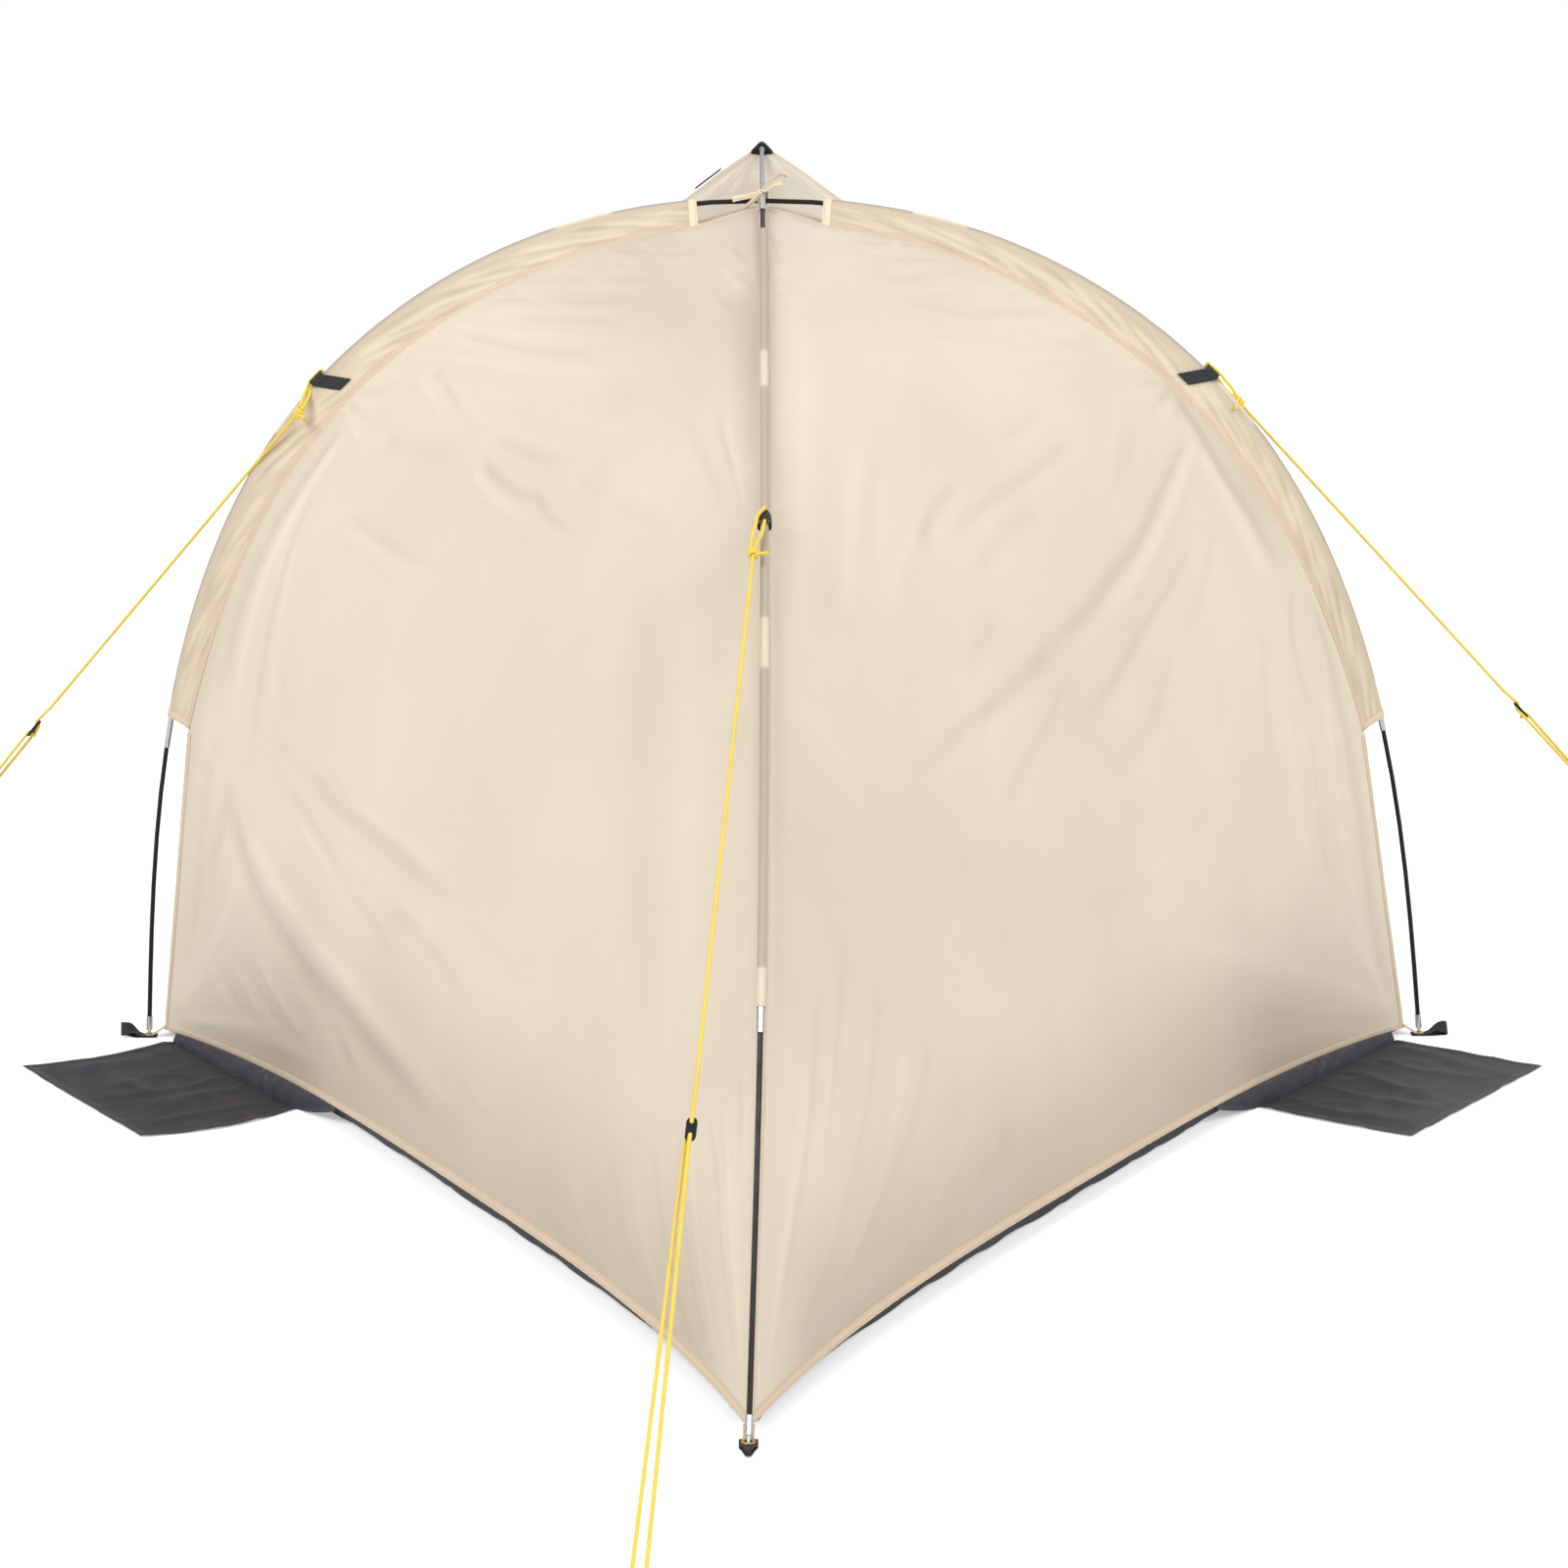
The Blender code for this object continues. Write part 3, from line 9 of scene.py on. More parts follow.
import bmesh
import bpy
import numpy as np
from bpy.props import FloatProperty, FloatVectorProperty, PointerProperty
from bpy.types import Operator, Panel, PropertyGroup
from mathutils import Vector, noise
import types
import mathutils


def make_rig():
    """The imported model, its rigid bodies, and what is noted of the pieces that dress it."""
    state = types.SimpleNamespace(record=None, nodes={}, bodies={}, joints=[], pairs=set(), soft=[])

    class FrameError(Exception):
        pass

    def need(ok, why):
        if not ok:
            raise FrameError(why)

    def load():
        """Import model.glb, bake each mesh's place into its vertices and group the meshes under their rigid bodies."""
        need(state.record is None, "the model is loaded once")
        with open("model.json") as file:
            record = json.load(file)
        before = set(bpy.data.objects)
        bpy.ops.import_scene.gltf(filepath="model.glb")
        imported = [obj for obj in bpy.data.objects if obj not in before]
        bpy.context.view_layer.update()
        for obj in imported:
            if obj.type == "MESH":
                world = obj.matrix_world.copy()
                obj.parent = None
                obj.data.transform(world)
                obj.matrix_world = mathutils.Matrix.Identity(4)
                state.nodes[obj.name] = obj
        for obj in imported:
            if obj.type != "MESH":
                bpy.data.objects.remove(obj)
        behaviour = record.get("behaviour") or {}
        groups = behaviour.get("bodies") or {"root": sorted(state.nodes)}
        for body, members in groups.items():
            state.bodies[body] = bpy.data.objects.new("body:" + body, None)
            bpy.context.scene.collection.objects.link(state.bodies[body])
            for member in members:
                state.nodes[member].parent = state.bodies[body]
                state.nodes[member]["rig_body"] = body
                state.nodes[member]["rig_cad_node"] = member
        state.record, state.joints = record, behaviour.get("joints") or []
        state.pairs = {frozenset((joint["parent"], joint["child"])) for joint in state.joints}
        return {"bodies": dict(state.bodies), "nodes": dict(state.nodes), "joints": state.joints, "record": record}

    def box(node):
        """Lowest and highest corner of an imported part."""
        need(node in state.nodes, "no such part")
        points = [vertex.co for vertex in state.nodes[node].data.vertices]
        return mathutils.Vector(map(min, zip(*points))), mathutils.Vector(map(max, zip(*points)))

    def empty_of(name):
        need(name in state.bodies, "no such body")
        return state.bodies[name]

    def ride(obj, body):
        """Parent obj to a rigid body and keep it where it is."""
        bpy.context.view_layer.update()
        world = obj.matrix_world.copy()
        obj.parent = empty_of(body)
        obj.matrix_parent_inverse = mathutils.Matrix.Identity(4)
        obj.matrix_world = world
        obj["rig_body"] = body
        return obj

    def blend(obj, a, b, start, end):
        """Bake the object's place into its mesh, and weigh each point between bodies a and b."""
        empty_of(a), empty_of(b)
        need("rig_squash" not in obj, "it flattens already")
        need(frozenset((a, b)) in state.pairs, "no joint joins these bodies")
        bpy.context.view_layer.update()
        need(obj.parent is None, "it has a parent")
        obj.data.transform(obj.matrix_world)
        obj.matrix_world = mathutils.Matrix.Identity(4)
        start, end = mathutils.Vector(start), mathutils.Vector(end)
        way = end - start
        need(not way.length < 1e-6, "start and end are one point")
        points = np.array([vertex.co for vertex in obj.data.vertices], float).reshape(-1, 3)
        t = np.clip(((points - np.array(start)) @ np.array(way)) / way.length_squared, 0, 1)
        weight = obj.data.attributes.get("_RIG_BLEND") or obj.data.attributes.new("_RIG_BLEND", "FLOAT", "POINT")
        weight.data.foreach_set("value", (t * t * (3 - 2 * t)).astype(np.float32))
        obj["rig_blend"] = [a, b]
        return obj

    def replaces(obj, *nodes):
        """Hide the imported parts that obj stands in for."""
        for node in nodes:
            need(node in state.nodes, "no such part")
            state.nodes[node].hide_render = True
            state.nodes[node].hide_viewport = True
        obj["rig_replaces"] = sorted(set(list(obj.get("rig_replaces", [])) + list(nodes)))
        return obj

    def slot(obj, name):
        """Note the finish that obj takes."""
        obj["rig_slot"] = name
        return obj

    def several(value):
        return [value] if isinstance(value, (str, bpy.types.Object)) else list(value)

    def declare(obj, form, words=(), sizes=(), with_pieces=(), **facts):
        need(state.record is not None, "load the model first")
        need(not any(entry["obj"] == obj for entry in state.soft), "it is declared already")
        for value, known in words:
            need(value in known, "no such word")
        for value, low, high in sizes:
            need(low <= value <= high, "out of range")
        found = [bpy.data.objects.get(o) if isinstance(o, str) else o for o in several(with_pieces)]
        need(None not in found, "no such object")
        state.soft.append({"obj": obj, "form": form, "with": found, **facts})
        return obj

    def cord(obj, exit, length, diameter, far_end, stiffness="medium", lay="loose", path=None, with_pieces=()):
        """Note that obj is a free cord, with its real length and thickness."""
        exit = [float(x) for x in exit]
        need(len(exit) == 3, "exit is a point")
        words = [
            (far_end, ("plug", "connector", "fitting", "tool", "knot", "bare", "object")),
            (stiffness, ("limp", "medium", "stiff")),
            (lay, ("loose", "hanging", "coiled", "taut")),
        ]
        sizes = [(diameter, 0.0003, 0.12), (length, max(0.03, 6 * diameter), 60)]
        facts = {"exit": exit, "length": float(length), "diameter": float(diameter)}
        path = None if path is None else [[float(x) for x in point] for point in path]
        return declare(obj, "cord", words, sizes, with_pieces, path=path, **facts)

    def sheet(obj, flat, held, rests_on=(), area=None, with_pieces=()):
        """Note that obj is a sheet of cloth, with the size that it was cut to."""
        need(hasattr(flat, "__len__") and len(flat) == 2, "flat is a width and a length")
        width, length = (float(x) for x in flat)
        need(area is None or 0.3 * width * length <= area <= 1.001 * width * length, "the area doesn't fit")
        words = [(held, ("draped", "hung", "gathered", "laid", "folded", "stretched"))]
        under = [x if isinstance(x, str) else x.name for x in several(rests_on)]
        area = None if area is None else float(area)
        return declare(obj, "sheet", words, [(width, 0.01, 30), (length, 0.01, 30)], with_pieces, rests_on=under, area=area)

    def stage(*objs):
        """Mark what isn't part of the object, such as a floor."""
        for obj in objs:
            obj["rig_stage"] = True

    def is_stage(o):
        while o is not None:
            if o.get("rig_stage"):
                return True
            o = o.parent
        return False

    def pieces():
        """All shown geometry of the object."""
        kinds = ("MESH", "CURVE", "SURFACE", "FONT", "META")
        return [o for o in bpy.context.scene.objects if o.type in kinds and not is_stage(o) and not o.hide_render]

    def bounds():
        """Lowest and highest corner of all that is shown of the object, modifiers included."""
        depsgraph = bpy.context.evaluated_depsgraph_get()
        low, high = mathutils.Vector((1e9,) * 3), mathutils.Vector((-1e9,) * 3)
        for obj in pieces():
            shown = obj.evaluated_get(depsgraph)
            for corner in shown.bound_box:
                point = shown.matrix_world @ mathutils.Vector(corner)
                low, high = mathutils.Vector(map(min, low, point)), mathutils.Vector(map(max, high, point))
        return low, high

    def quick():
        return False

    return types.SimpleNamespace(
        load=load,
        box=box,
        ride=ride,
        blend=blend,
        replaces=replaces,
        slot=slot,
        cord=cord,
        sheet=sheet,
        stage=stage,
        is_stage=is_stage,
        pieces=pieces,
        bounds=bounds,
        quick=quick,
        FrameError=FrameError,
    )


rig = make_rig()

bl_info = {
    "name": "Beach Tent",
    "version": (1, 0, 0),
    "blender": (4, 5, 0),
    "location": "View3D > Sidebar > Beach Tent",
    "description": "Builds the cloth, cords and finishes of a two-pole beach tent on its CAD frame",
    "category": "Add Mesh",
}

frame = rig.load()
CAD_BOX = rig.bounds()
BODY = "tent"

# Pole curves, as in the CAD source
FOOT_HALF_SPAN = 1.100
ARCH_HALF_POINTS = [(FOOT_HALF_SPAN, 0.0), (1.021, 0.577), (0.778, 1.099), (0.300, 1.4045)]
ARCH_TOP_HEIGHT = 1.4425
ARCH_SKEW = -0.037
ARCH_LEAN_SLOPE = -0.072
RIDGE_POINTS = [
    (-0.0560, -1.882, 0.0), (-0.0395, -1.598, 0.504), (-0.0345, -1.178, 0.906), (-0.0345, -0.696, 1.233),
    (ARCH_SKEW, -0.104, 1.4535), (-0.0380, 0.424, 1.498),
]
ARCH_SECTIONS = 7
RIDGE_SECTIONS = 5
ARCH_JOINT_SHIFT = 0.016
FERRULE_HALF = 0.044
PATH_SAMPLES = 1200

# Sleeves, bands and seams
BAND_WIDTH = 0.060
BAND_INWARD_SHARE = 0.58
BAND_INWARD_SWELL_SHARE = 0.24
ARCH_SLEEVE_LOW = 0.580
ARCH_SLEEVE_TOP_GAP = {-1: 0.108, 1: 0.100}
SLEEVE_RADIUS = 0.0068
RIDGE_SLEEVE_RADIUS = 0.0062
BAND_COLUMNS = 15
RIDGE_SLEEVE_LOW = 0.574
RIDGE_SLEEVE_TOP_GAP = 0.188
RIDGE_BAND_WIDTH = 0.0106
RIDGE_SEAM_DEPTH = 0.0116
CROSSING_SEAM_DEPTH = 0.0195
SEAM_GAP = 0.0008

# Walls, hem, flaps
WALL_CORNER_INSET = 0.028
WALL_CORNER_HEIGHT = 0.014
WALL_FOOT_SETBACK = 0.024
HEM_SAG = 0.060
HEM_SAG_POWER = 3.2
HEM_LIFT = 0.020
WALL_LOW_ROWS = 6
WALL_SEAM_ROWS = 19
WALL_TOP_HALF_WIDTH = 0.020
RIDGE_SEAM_HALF_GAP = 0.0011
RIDGE_TAPE_WIDTHS = {-1: 0.0095, 1: 0.0170}
RIM_RUN = 0.030
SHEET_FRONT_REACH = 0.050
SHEET_FRONT_ROWS = 6
SHEET_HEIGHT = 0.0008
SHEET_BELOW_HEM = 0.0014
RIM_COLUMNS = 8
SHEET_END_SHARE = 0.970
FLAP_REACH = 0.275
# How far the flap's cloth reaches back under its seam
FLAP_UNDERLAP = 0.0006
FLAP_START_SHARE = 0.020
FLAP_END_SHARE = 0.240
FLAP_START_INSET = -0.003
FLAP_END_INSET = 0.036
GUSSET_END_RUN = 0.055
GUSSET_OUTSET = 0.0017
GUSSET_GAP = 0.0009
GUSSET_HEIGHT = 0.0005
# The seam's allowance, which lies on the ground behind each flap
ALLOWANCE_WIDTH = 0.0066
ALLOWANCE_THICKNESS = 0.0002
ALLOWANCE_SPAN = (0.034, 0.966)

# Painted shade of each wall along its front edge (how dark, how wide, from and to which share of the height, with
# the runs at both ends), over its top and along the ridge
FRONT_SHADES = {-1: (0.22, 0.060, 0.10, 0.15, 0.56, 0.06), 1: (0.34, 0.085, 0.38, 0.12, 0.60, 0.05)}
TOP_SHADES = {-1: 0.20, 1: 0.12}
RIDGE_SHADES = {-1: 0.16, 1: 0.05}

# Brow
BROW_FIRST_STATION = 8
BROW_EDGE_SAG = 0.014
BROW_BELOW_POLE = 0.0105
BROW_END_REACH = 0.030

# Guy lines
LINE_RADIUS = 0.0015
LINE_GAP = 0.0006
LINE_END_HEIGHT = 0.050
TAB_WIDTH = 0.024
TAB_THICKNESS = 0.0012
RUNNER_LENGTH = 0.038
RUNNER_WIDTH = 0.014
RUNNER_THICKNESS = 0.0042
RUNNER_HOLE_SPACING = 0.020
STRAND_SPREAD = 0.0085
END_KNOT_RADIUS = 0.0034
KNOT_DISTANCES = {"left": 0.072, "right": 0.074, "back": 0.093}
# How far the photographed knots stand beside the straight line
KNOT_SHIFTS = {"left": (0.011, -0.050, -0.010), "right": (-0.005, -0.014, 0.0), "back": (-0.008, 0.0, 0.0)}
KNOT_LENGTH = 0.014
KNOT_TAIL = 0.022
KNOT_TURNS = 2.5
# Length of each guy line, knot and all: from its tab to its runner, and round the loop beyond
LINE_LENGTHS = {"left": (1.06, 1.28), "right": (1.05, 1.43), "back": (1.34, 1.39)}

# Guy tabs: each one's share of its pole's length, its line's far end and its runner's share of the line
TAB_PLACES = {
    "left": (0.3030, (-1.688, 0.200), 0.573),
    "right": (0.6930, (1.740, 0.200), 0.545),
    "back": (0.487, (-0.181, -2.490), 0.625),
}
# The CAD's sleeve radius and tabs, which the lines' routes start from
CAD_SLEEVE_RADIUS = 0.0076
CAD_TAB_REACHES = {"left": 0.0155, "right": 0.0155, "back": 0.019}
RIDGE_TAB_RADIUS = 0.0070
# The tabs' widths as shares of the full width
ARCH_TAB_SHARE = 1.12
BACK_TAB_SHARE = 0.70
# How far the pull of its line draws a tab down the pole, and how far the tab stands out
TAB_DROPS = {"left": 0.019, "right": 0.006, "back": 0.018}
TAB_REACHES = {"left": 0.0122, "right": 0.0145, "back": 0.0190}
# How steeply an arch tab's lap runs up the pole, and the distances from the pole that it passes through
TAB_SLANT = 0.75
TAB_LAPS = (0.007, 0.013, 0.020, 0.027, 0.034, 0.040)

# Foot straps: how far each loop has turned on its side, in degrees
STRAP_TURNS = {"left": 72, "right": -48, "back": 0}
STRAP_MIDDLE_HEIGHT = 0.0058

# Flat areas of the cut cloth
WALL_AREA = 2.28
BROW_AREA = 0.49
SHEET_AREA = 1.95

WALL_GRID = ((130, 110), (270, 230))
BROW_GRID = ((50, 34), (110, 70))
SHEET_GRID = ((70, 60), (130, 120))
FLAP_GRID = ((44, 60), (96, 150))
GUSSET_GRID = ((70, 12), (170, 20))
SLEEVE_STEPS = (120, 280)

# Camera and floor
SENSOR_WIDTH = 36.0
FOCAL_PIXELS = 4076.88
FRAME_PIXELS = 1600.0
CAMERA_PLACE = (-0.0346, -6.6649, 1.9179)
CAMERA_TURN = (1.3535, 0.0, -0.0050)
FLOOR_REACH = 40.0

HALF = 0.5
UP = Vector((0.0, 0.0, 1.0))
SIDES = ((-1, "left"), (1, "right"))
LINES = ("left", "right", "back")

# Folds of each wall: widths at the two ends and height in tenths of a millimetre, then the line's spots
# in thousandths of the wall (across from the ridge, up from the hem)
LEFT_FOLDS = (
    (145, 183, -46, 966, 568, 970, 523, 973, 474, 975, 420, 974, 369, 966, 313, 959, 258),
    (104, 165, 36, 953, 560, 950, 523, 950, 477, 951, 431, 949, 382, 943, 335, 933, 280, 927, 222),
    (106, 165, -28, 942, 502, 932, 453, 920, 405, 914, 358, 905, 312, 895, 259, 898, 213),
    (107, 206, 22, 925, 454, 913, 411, 896, 360, 877, 307, 862, 255),
    (183, 175, -22, 954, 257, 961, 209, 966, 161, 969, 104, 973, 46),
    (236, 262, -56, 922, 214, 910, 181, 885, 149, 851, 123, 809, 103, 764, 87, 710, 74, 654, 58, 590, 47,
     519, 32, 450, 23),
    (191, 316, 46, 880, 185, 856, 158, 814, 136, 762, 118, 709, 103, 645, 85, 583, 69, 522, 56),
    (140, 185, -32, 839, 233, 802, 213, 754, 193, 719, 172, 677, 156, 635, 141, 601, 128),
    (208, 174, -42, 798, 242, 745, 227, 700, 218, 652, 212, 604, 203, 554, 198, 508, 193),
    (118, 139, 20, 811, 209, 762, 184, 711, 168, 650, 158),
    (115, 115, -18, 754, 248, 721, 237, 705, 222),
    (137, 173, 18, 706, 233, 642, 226, 578, 218, 507, 208),
    (138, 151, -26, 637, 164, 588, 160, 548, 150, 512, 139, 460, 136),
    (114, 131, 14, 608, 177, 545, 170, 492, 158),
    (108, 125, -16, 490, 183, 448, 174, 398, 170),
    (140, 157, 16, 718, 193, 636, 183, 572, 174),
    (137, 185, -16, 875, 266, 816, 249, 775, 237),
    (161, 191, 16, 979, 251, 946, 219, 932, 189),
    (235, 101, -34, 920, 223, 935, 173, 959, 113, 978, 57, 990, 10),
    (145, 76, 22, 947, 147, 964, 96, 977, 53, 990, 10),
    (170, 76, 20, 890, 156, 919, 99, 953, 49, 987, 9),
    (197, 218, -26, 793, 91, 737, 68, 694, 44, 673, 22),
    (124, 124, 20, 859, 86, 815, 59, 765, 37),
    (100, 100, -14, 875, 75, 841, 52, 799, 33),
    (100, 100, 16, 895, 71, 864, 49, 834, 31),
    (100, 101, -12, 917, 63, 891, 44, 869, 31),
    (100, 101, 12, 935, 64, 914, 44, 896, 30),
    (101, 197, 16, 986, 7, 904, 20, 819, 25, 730, 23),
    (111, 128, -16, 497, 74, 461, 62, 408, 54),
    (139, 133, 12, 577, 82, 536, 63, 486, 48),
    (149, 145, -10, 412, 121, 371, 110, 345, 100),
    (98, 56, 26, 118, 136, 108, 100, 91, 61, 67, 29, 41, 9),
    (97, 56, 28, 58, 170, 47, 127, 36, 84, 24, 49, 13, 15),
    (98, 56, -24, 140, 130, 129, 94, 111, 55, 84, 23, 48, 4),
    (97, 56, -28, 89, 156, 72, 119, 57, 78, 39, 44, 18, 13),
    (78, 56, -24, 36, 200, 28, 144, 20, 84, 12, 37),
    (138, 56, -20, 179, 113, 165, 75, 135, 39, 100, 12, 56, 4),
    (139, 56, 18, 210, 99, 190, 55, 154, 24, 109, 4, 61, 4),
    (161, 56, -18, 250, 95, 220, 47, 179, 16, 122, 4, 63, 4),
    (205, 57, 14, 310, 66, 265, 27, 209, 4, 136, 4, 67, 4),
    (252, 75, -14, 371, 37, 312, 11, 232, 4, 145, 4, 67, 4),
    (457, 513, -18, 279, 533, 240, 419, 215, 308, 196, 210, 177, 139),
    (335, 352, 18, 167, 499, 145, 390, 130, 291, 119, 197),
    (375, 228, -42, 132, 843, 72, 770, 51, 695, 38, 628),
    (92, 67, 26, 120, 679, 90, 649, 64, 620, 41, 599),
    (131, 110, -18, 235, 663, 180, 636, 132, 609, 93, 587),
    (113, 112, -16, 160, 680, 117, 650, 79, 622),
    (79, 85, -24, 293, 905, 135, 877, 43, 848),
    (79, 84, -22, 187, 854, 102, 849, 35, 840),
    (82, 86, 15, 194, 880, 94, 867, 38, 857),
    (97, 102, -16, 293, 830, 212, 813, 127, 802),
    (76, 80, 14, 273, 861, 176, 843, 98, 821),
    (58, 70, -24, 996, 856, 810, 864, 577, 873, 423, 890),
    (58, 72, 16, 996, 844, 738, 842, 523, 858, 368, 875),
    (79, 87, -18, 934, 801, 782, 804, 624, 816, 495, 829),
    (79, 63, -30, 969, 748, 862, 757, 683, 771, 546, 786),
    (79, 67, 18, 967, 768, 823, 780, 633, 797, 418, 815),
    (80, 85, -22, 884, 724, 736, 735, 608, 746, 476, 750),
    (60, 65, 16, 947, 730, 793, 744, 623, 761, 462, 773),
    (81, 104, -32, 921, 692, 773, 690, 644, 698, 517, 708),
    (80, 85, 18, 911, 705, 747, 712, 582, 724, 442, 738),
    (122, 148, 18, 857, 668, 697, 671, 546, 683, 419, 697),
    (63, 64, -14, 546, 726, 487, 736, 441, 749),
    (102, 104, -20, 891, 645, 816, 626, 739, 602),
    (102, 104, 14, 905, 634, 835, 613, 774, 592),
    (103, 124, 14, 822, 635, 738, 612, 666, 598),
    (104, 103, -26, 651, 586, 583, 584, 524, 581, 463, 586),
    (104, 124, 16, 643, 599, 559, 600, 456, 604),
    (125, 103, -34, 660, 570, 615, 553, 561, 543, 505, 542, 469, 530, 429, 523, 371, 527),
    (125, 124, 22, 665, 554, 607, 533, 545, 524, 486, 515),
    (86, 128, -26, 855, 476, 802, 467, 744, 459, 686, 454, 632, 452),
    (107, 128, 16, 857, 463, 794, 452, 731, 444, 669, 440),
    (209, 251, -24, 873, 558, 786, 555, 691, 561),
    (166, 190, 16, 552, 626, 454, 629, 334, 632),
    (105, 127, -14, 466, 678, 409, 672, 359, 664),
    (103, 104, -14, 440, 579, 404, 567, 362, 563),
    (124, 126, -16, 356, 560, 289, 555, 215, 551),
    (146, 150, 12, 326, 584, 244, 577, 177, 578),
    (133, 137, -12, 902, 359, 871, 317, 827, 279),
    (61, 82, -22, 996, 605, 978, 604, 935, 616),
    (61, 82, 16, 996, 597, 960, 593, 910, 599),
    (62, 83, -18, 996, 591, 946, 579, 888, 572),
    (62, 84, 16, 996, 585, 951, 567, 902, 547),
    (61, 81, 14, 996, 609, 996, 625, 958, 635),
    (61, 81, -14, 996, 617, 996, 640, 979, 652),
)
RIGHT_FOLDS = (
    (103, 268, -50, 956, 565, 906, 541, 851, 517, 791, 489, 730, 462, 670, 443, 615, 423, 564, 409, 509, 395,
     458, 379),
    (251, 140, -40, 530, 400, 468, 382, 412, 371, 358, 360, 308, 348, 266, 335),
    (83, 255, 30, 973, 559, 907, 527, 846, 499, 784, 469, 719, 440, 657, 418, 603, 398),
    (85, 189, -36, 841, 458, 802, 437, 761, 419, 718, 402, 679, 385, 640, 365, 605, 349, 556, 332, 524, 321),
    (85, 175, -18, 882, 461, 850, 435, 797, 394, 753, 369),
    (131, 257, -22, 733, 367, 698, 337, 665, 312, 606, 289, 568, 280),
    (126, 182, -26, 529, 367, 496, 343, 455, 322, 425, 304, 383, 277),
    (102, 121, -18, 405, 376, 388, 359, 369, 342),
    (88, 115, -16, 893, 362, 865, 310, 856, 271, 845, 227),
    (89, 134, -12, 794, 330, 776, 284),
    (112, 159, -14, 725, 258, 739, 240, 721, 220, 691, 206),
    (187, 164, -28, 723, 579, 635, 563, 555, 550, 482, 541, 429, 529, 369, 518),
    (124, 144, -18, 683, 616, 618, 604, 540, 598),
    (164, 164, -26, 434, 566, 384, 551, 350, 534, 329, 512),
    (249, 184, -22, 578, 524, 512, 511, 450, 492, 419, 472),
    (185, 162, -16, 438, 435, 394, 416, 360, 397),
    (124, 184, 12, 361, 564, 311, 529, 261, 492, 238, 461),
    (171, 206, 14, 256, 635, 212, 582, 182, 514, 178, 464),
    (148, 186, -12, 326, 647, 255, 575, 223, 507),
    (102, 167, 13, 889, 618, 814, 578, 745, 543),
    (103, 168, -14, 876, 582, 782, 538, 702, 507),
    (163, 261, -55, 996, 613, 981, 570, 964, 523, 963, 477, 965, 431, 972, 394),
    (166, 305, 26, 944, 545, 936, 491, 935, 438, 934, 395),
    (109, 136, -24, 970, 390, 947, 369, 935, 342, 928, 301, 924, 265),
    (152, 172, -46, 996, 387, 991, 349, 982, 303, 975, 258, 976, 208, 978, 168, 976, 102, 982, 35, 996, 7),
    (112, 148, 22, 964, 305, 945, 244, 944, 188, 949, 131, 960, 64, 983, 14),
    (90, 120, -22, 920, 270, 914, 217, 915, 160, 922, 119),
    (134, 192, 14, 894, 306, 878, 237, 883, 173, 898, 131),
    (197, 445, 22, 992, 10, 932, 39, 846, 76, 722, 118, 594, 155),
    (148, 380, -18, 992, 8, 913, 22, 822, 39, 727, 53),
    (148, 286, 18, 994, 11, 958, 56, 933, 101, 908, 141),
    (179, 255, -12, 633, 187, 583, 186, 502, 195),
    (205, 237, -10, 443, 239, 367, 254, 290, 262),
    (171, 72, 50, 76, 186, 69, 150, 55, 113, 43, 77, 33, 46, 26, 15),
    (153, 72, -32, 97, 233, 92, 185, 82, 140, 69, 97, 53, 56, 35, 18),
    (115, 54, 22, 120, 190, 110, 144, 93, 96, 68, 51, 38, 14),
    (155, 54, -26, 138, 256, 132, 206, 118, 154, 96, 101, 68, 57, 38, 12),
    (174, 54, -24, 196, 210, 188, 173, 169, 122, 130, 67, 88, 31, 43, 9),
    (156, 54, 20, 232, 162, 217, 122, 184, 75, 125, 33, 54, 8),
    (197, 54, -22, 272, 159, 257, 124, 225, 88, 171, 52, 114, 28, 51, 8),
    (201, 54, 16, 341, 97, 296, 63, 225, 32, 140, 16, 54, 4),
    (247, 54, -16, 398, 76, 338, 39, 253, 15, 155, 5, 61, 4),
    (155, 114, -24, 28, 576, 29, 461, 27, 350, 27, 251, 25, 191),
    (359, 292, 24, 194, 838, 138, 716, 114, 617, 93, 530, 74, 451),
    (61, 58, -16, 682, 899, 843, 885, 994, 863, 996, 833),
    (63, 77, -20, 591, 877, 705, 851, 875, 840, 996, 821),
    (84, 78, -20, 569, 821, 752, 808, 988, 813, 996, 794),
    (104, 158, -26, 562, 785, 659, 763, 747, 742, 892, 733, 996, 730),
    (66, 58, 12, 474, 858, 638, 835, 809, 823, 996, 814),
    (87, 98, 16, 464, 815, 659, 792, 848, 778, 996, 767),
    (63, 82, -14, 531, 738, 613, 718, 673, 705),
    (101, 101, -14, 811, 704, 883, 685, 947, 654),
    (101, 80, 13, 783, 730, 884, 709, 958, 682),
    (84, 100, -16, 30, 847, 125, 851, 222, 832),
    (81, 99, -14, 57, 827, 140, 830, 220, 821),
    (97, 112, -18, 87, 938, 120, 905, 120, 867),
    (60, 61, -18, 996, 678, 996, 651, 996, 624),
    (60, 61, -16, 983, 659, 996, 644, 996, 624),
    (61, 61, -16, 936, 642, 983, 634, 996, 620),
    (61, 61, -16, 922, 619, 975, 620, 996, 617),
    (62, 61, -22, 910, 588, 957, 600, 996, 613),
    (61, 61, 12, 962, 650, 996, 638, 996, 620),
    (62, 61, 12, 904, 606, 962, 611, 996, 617),
    (82, 61, 16, 931, 582, 975, 595, 996, 609),
    (68, 107, -12, 4, 600, 48, 580, 123, 558),
    (67, 128, -12, 4, 593, 46, 560, 87, 531),
    (68, 108, 10, 4, 609, 50, 604, 143, 593),
)
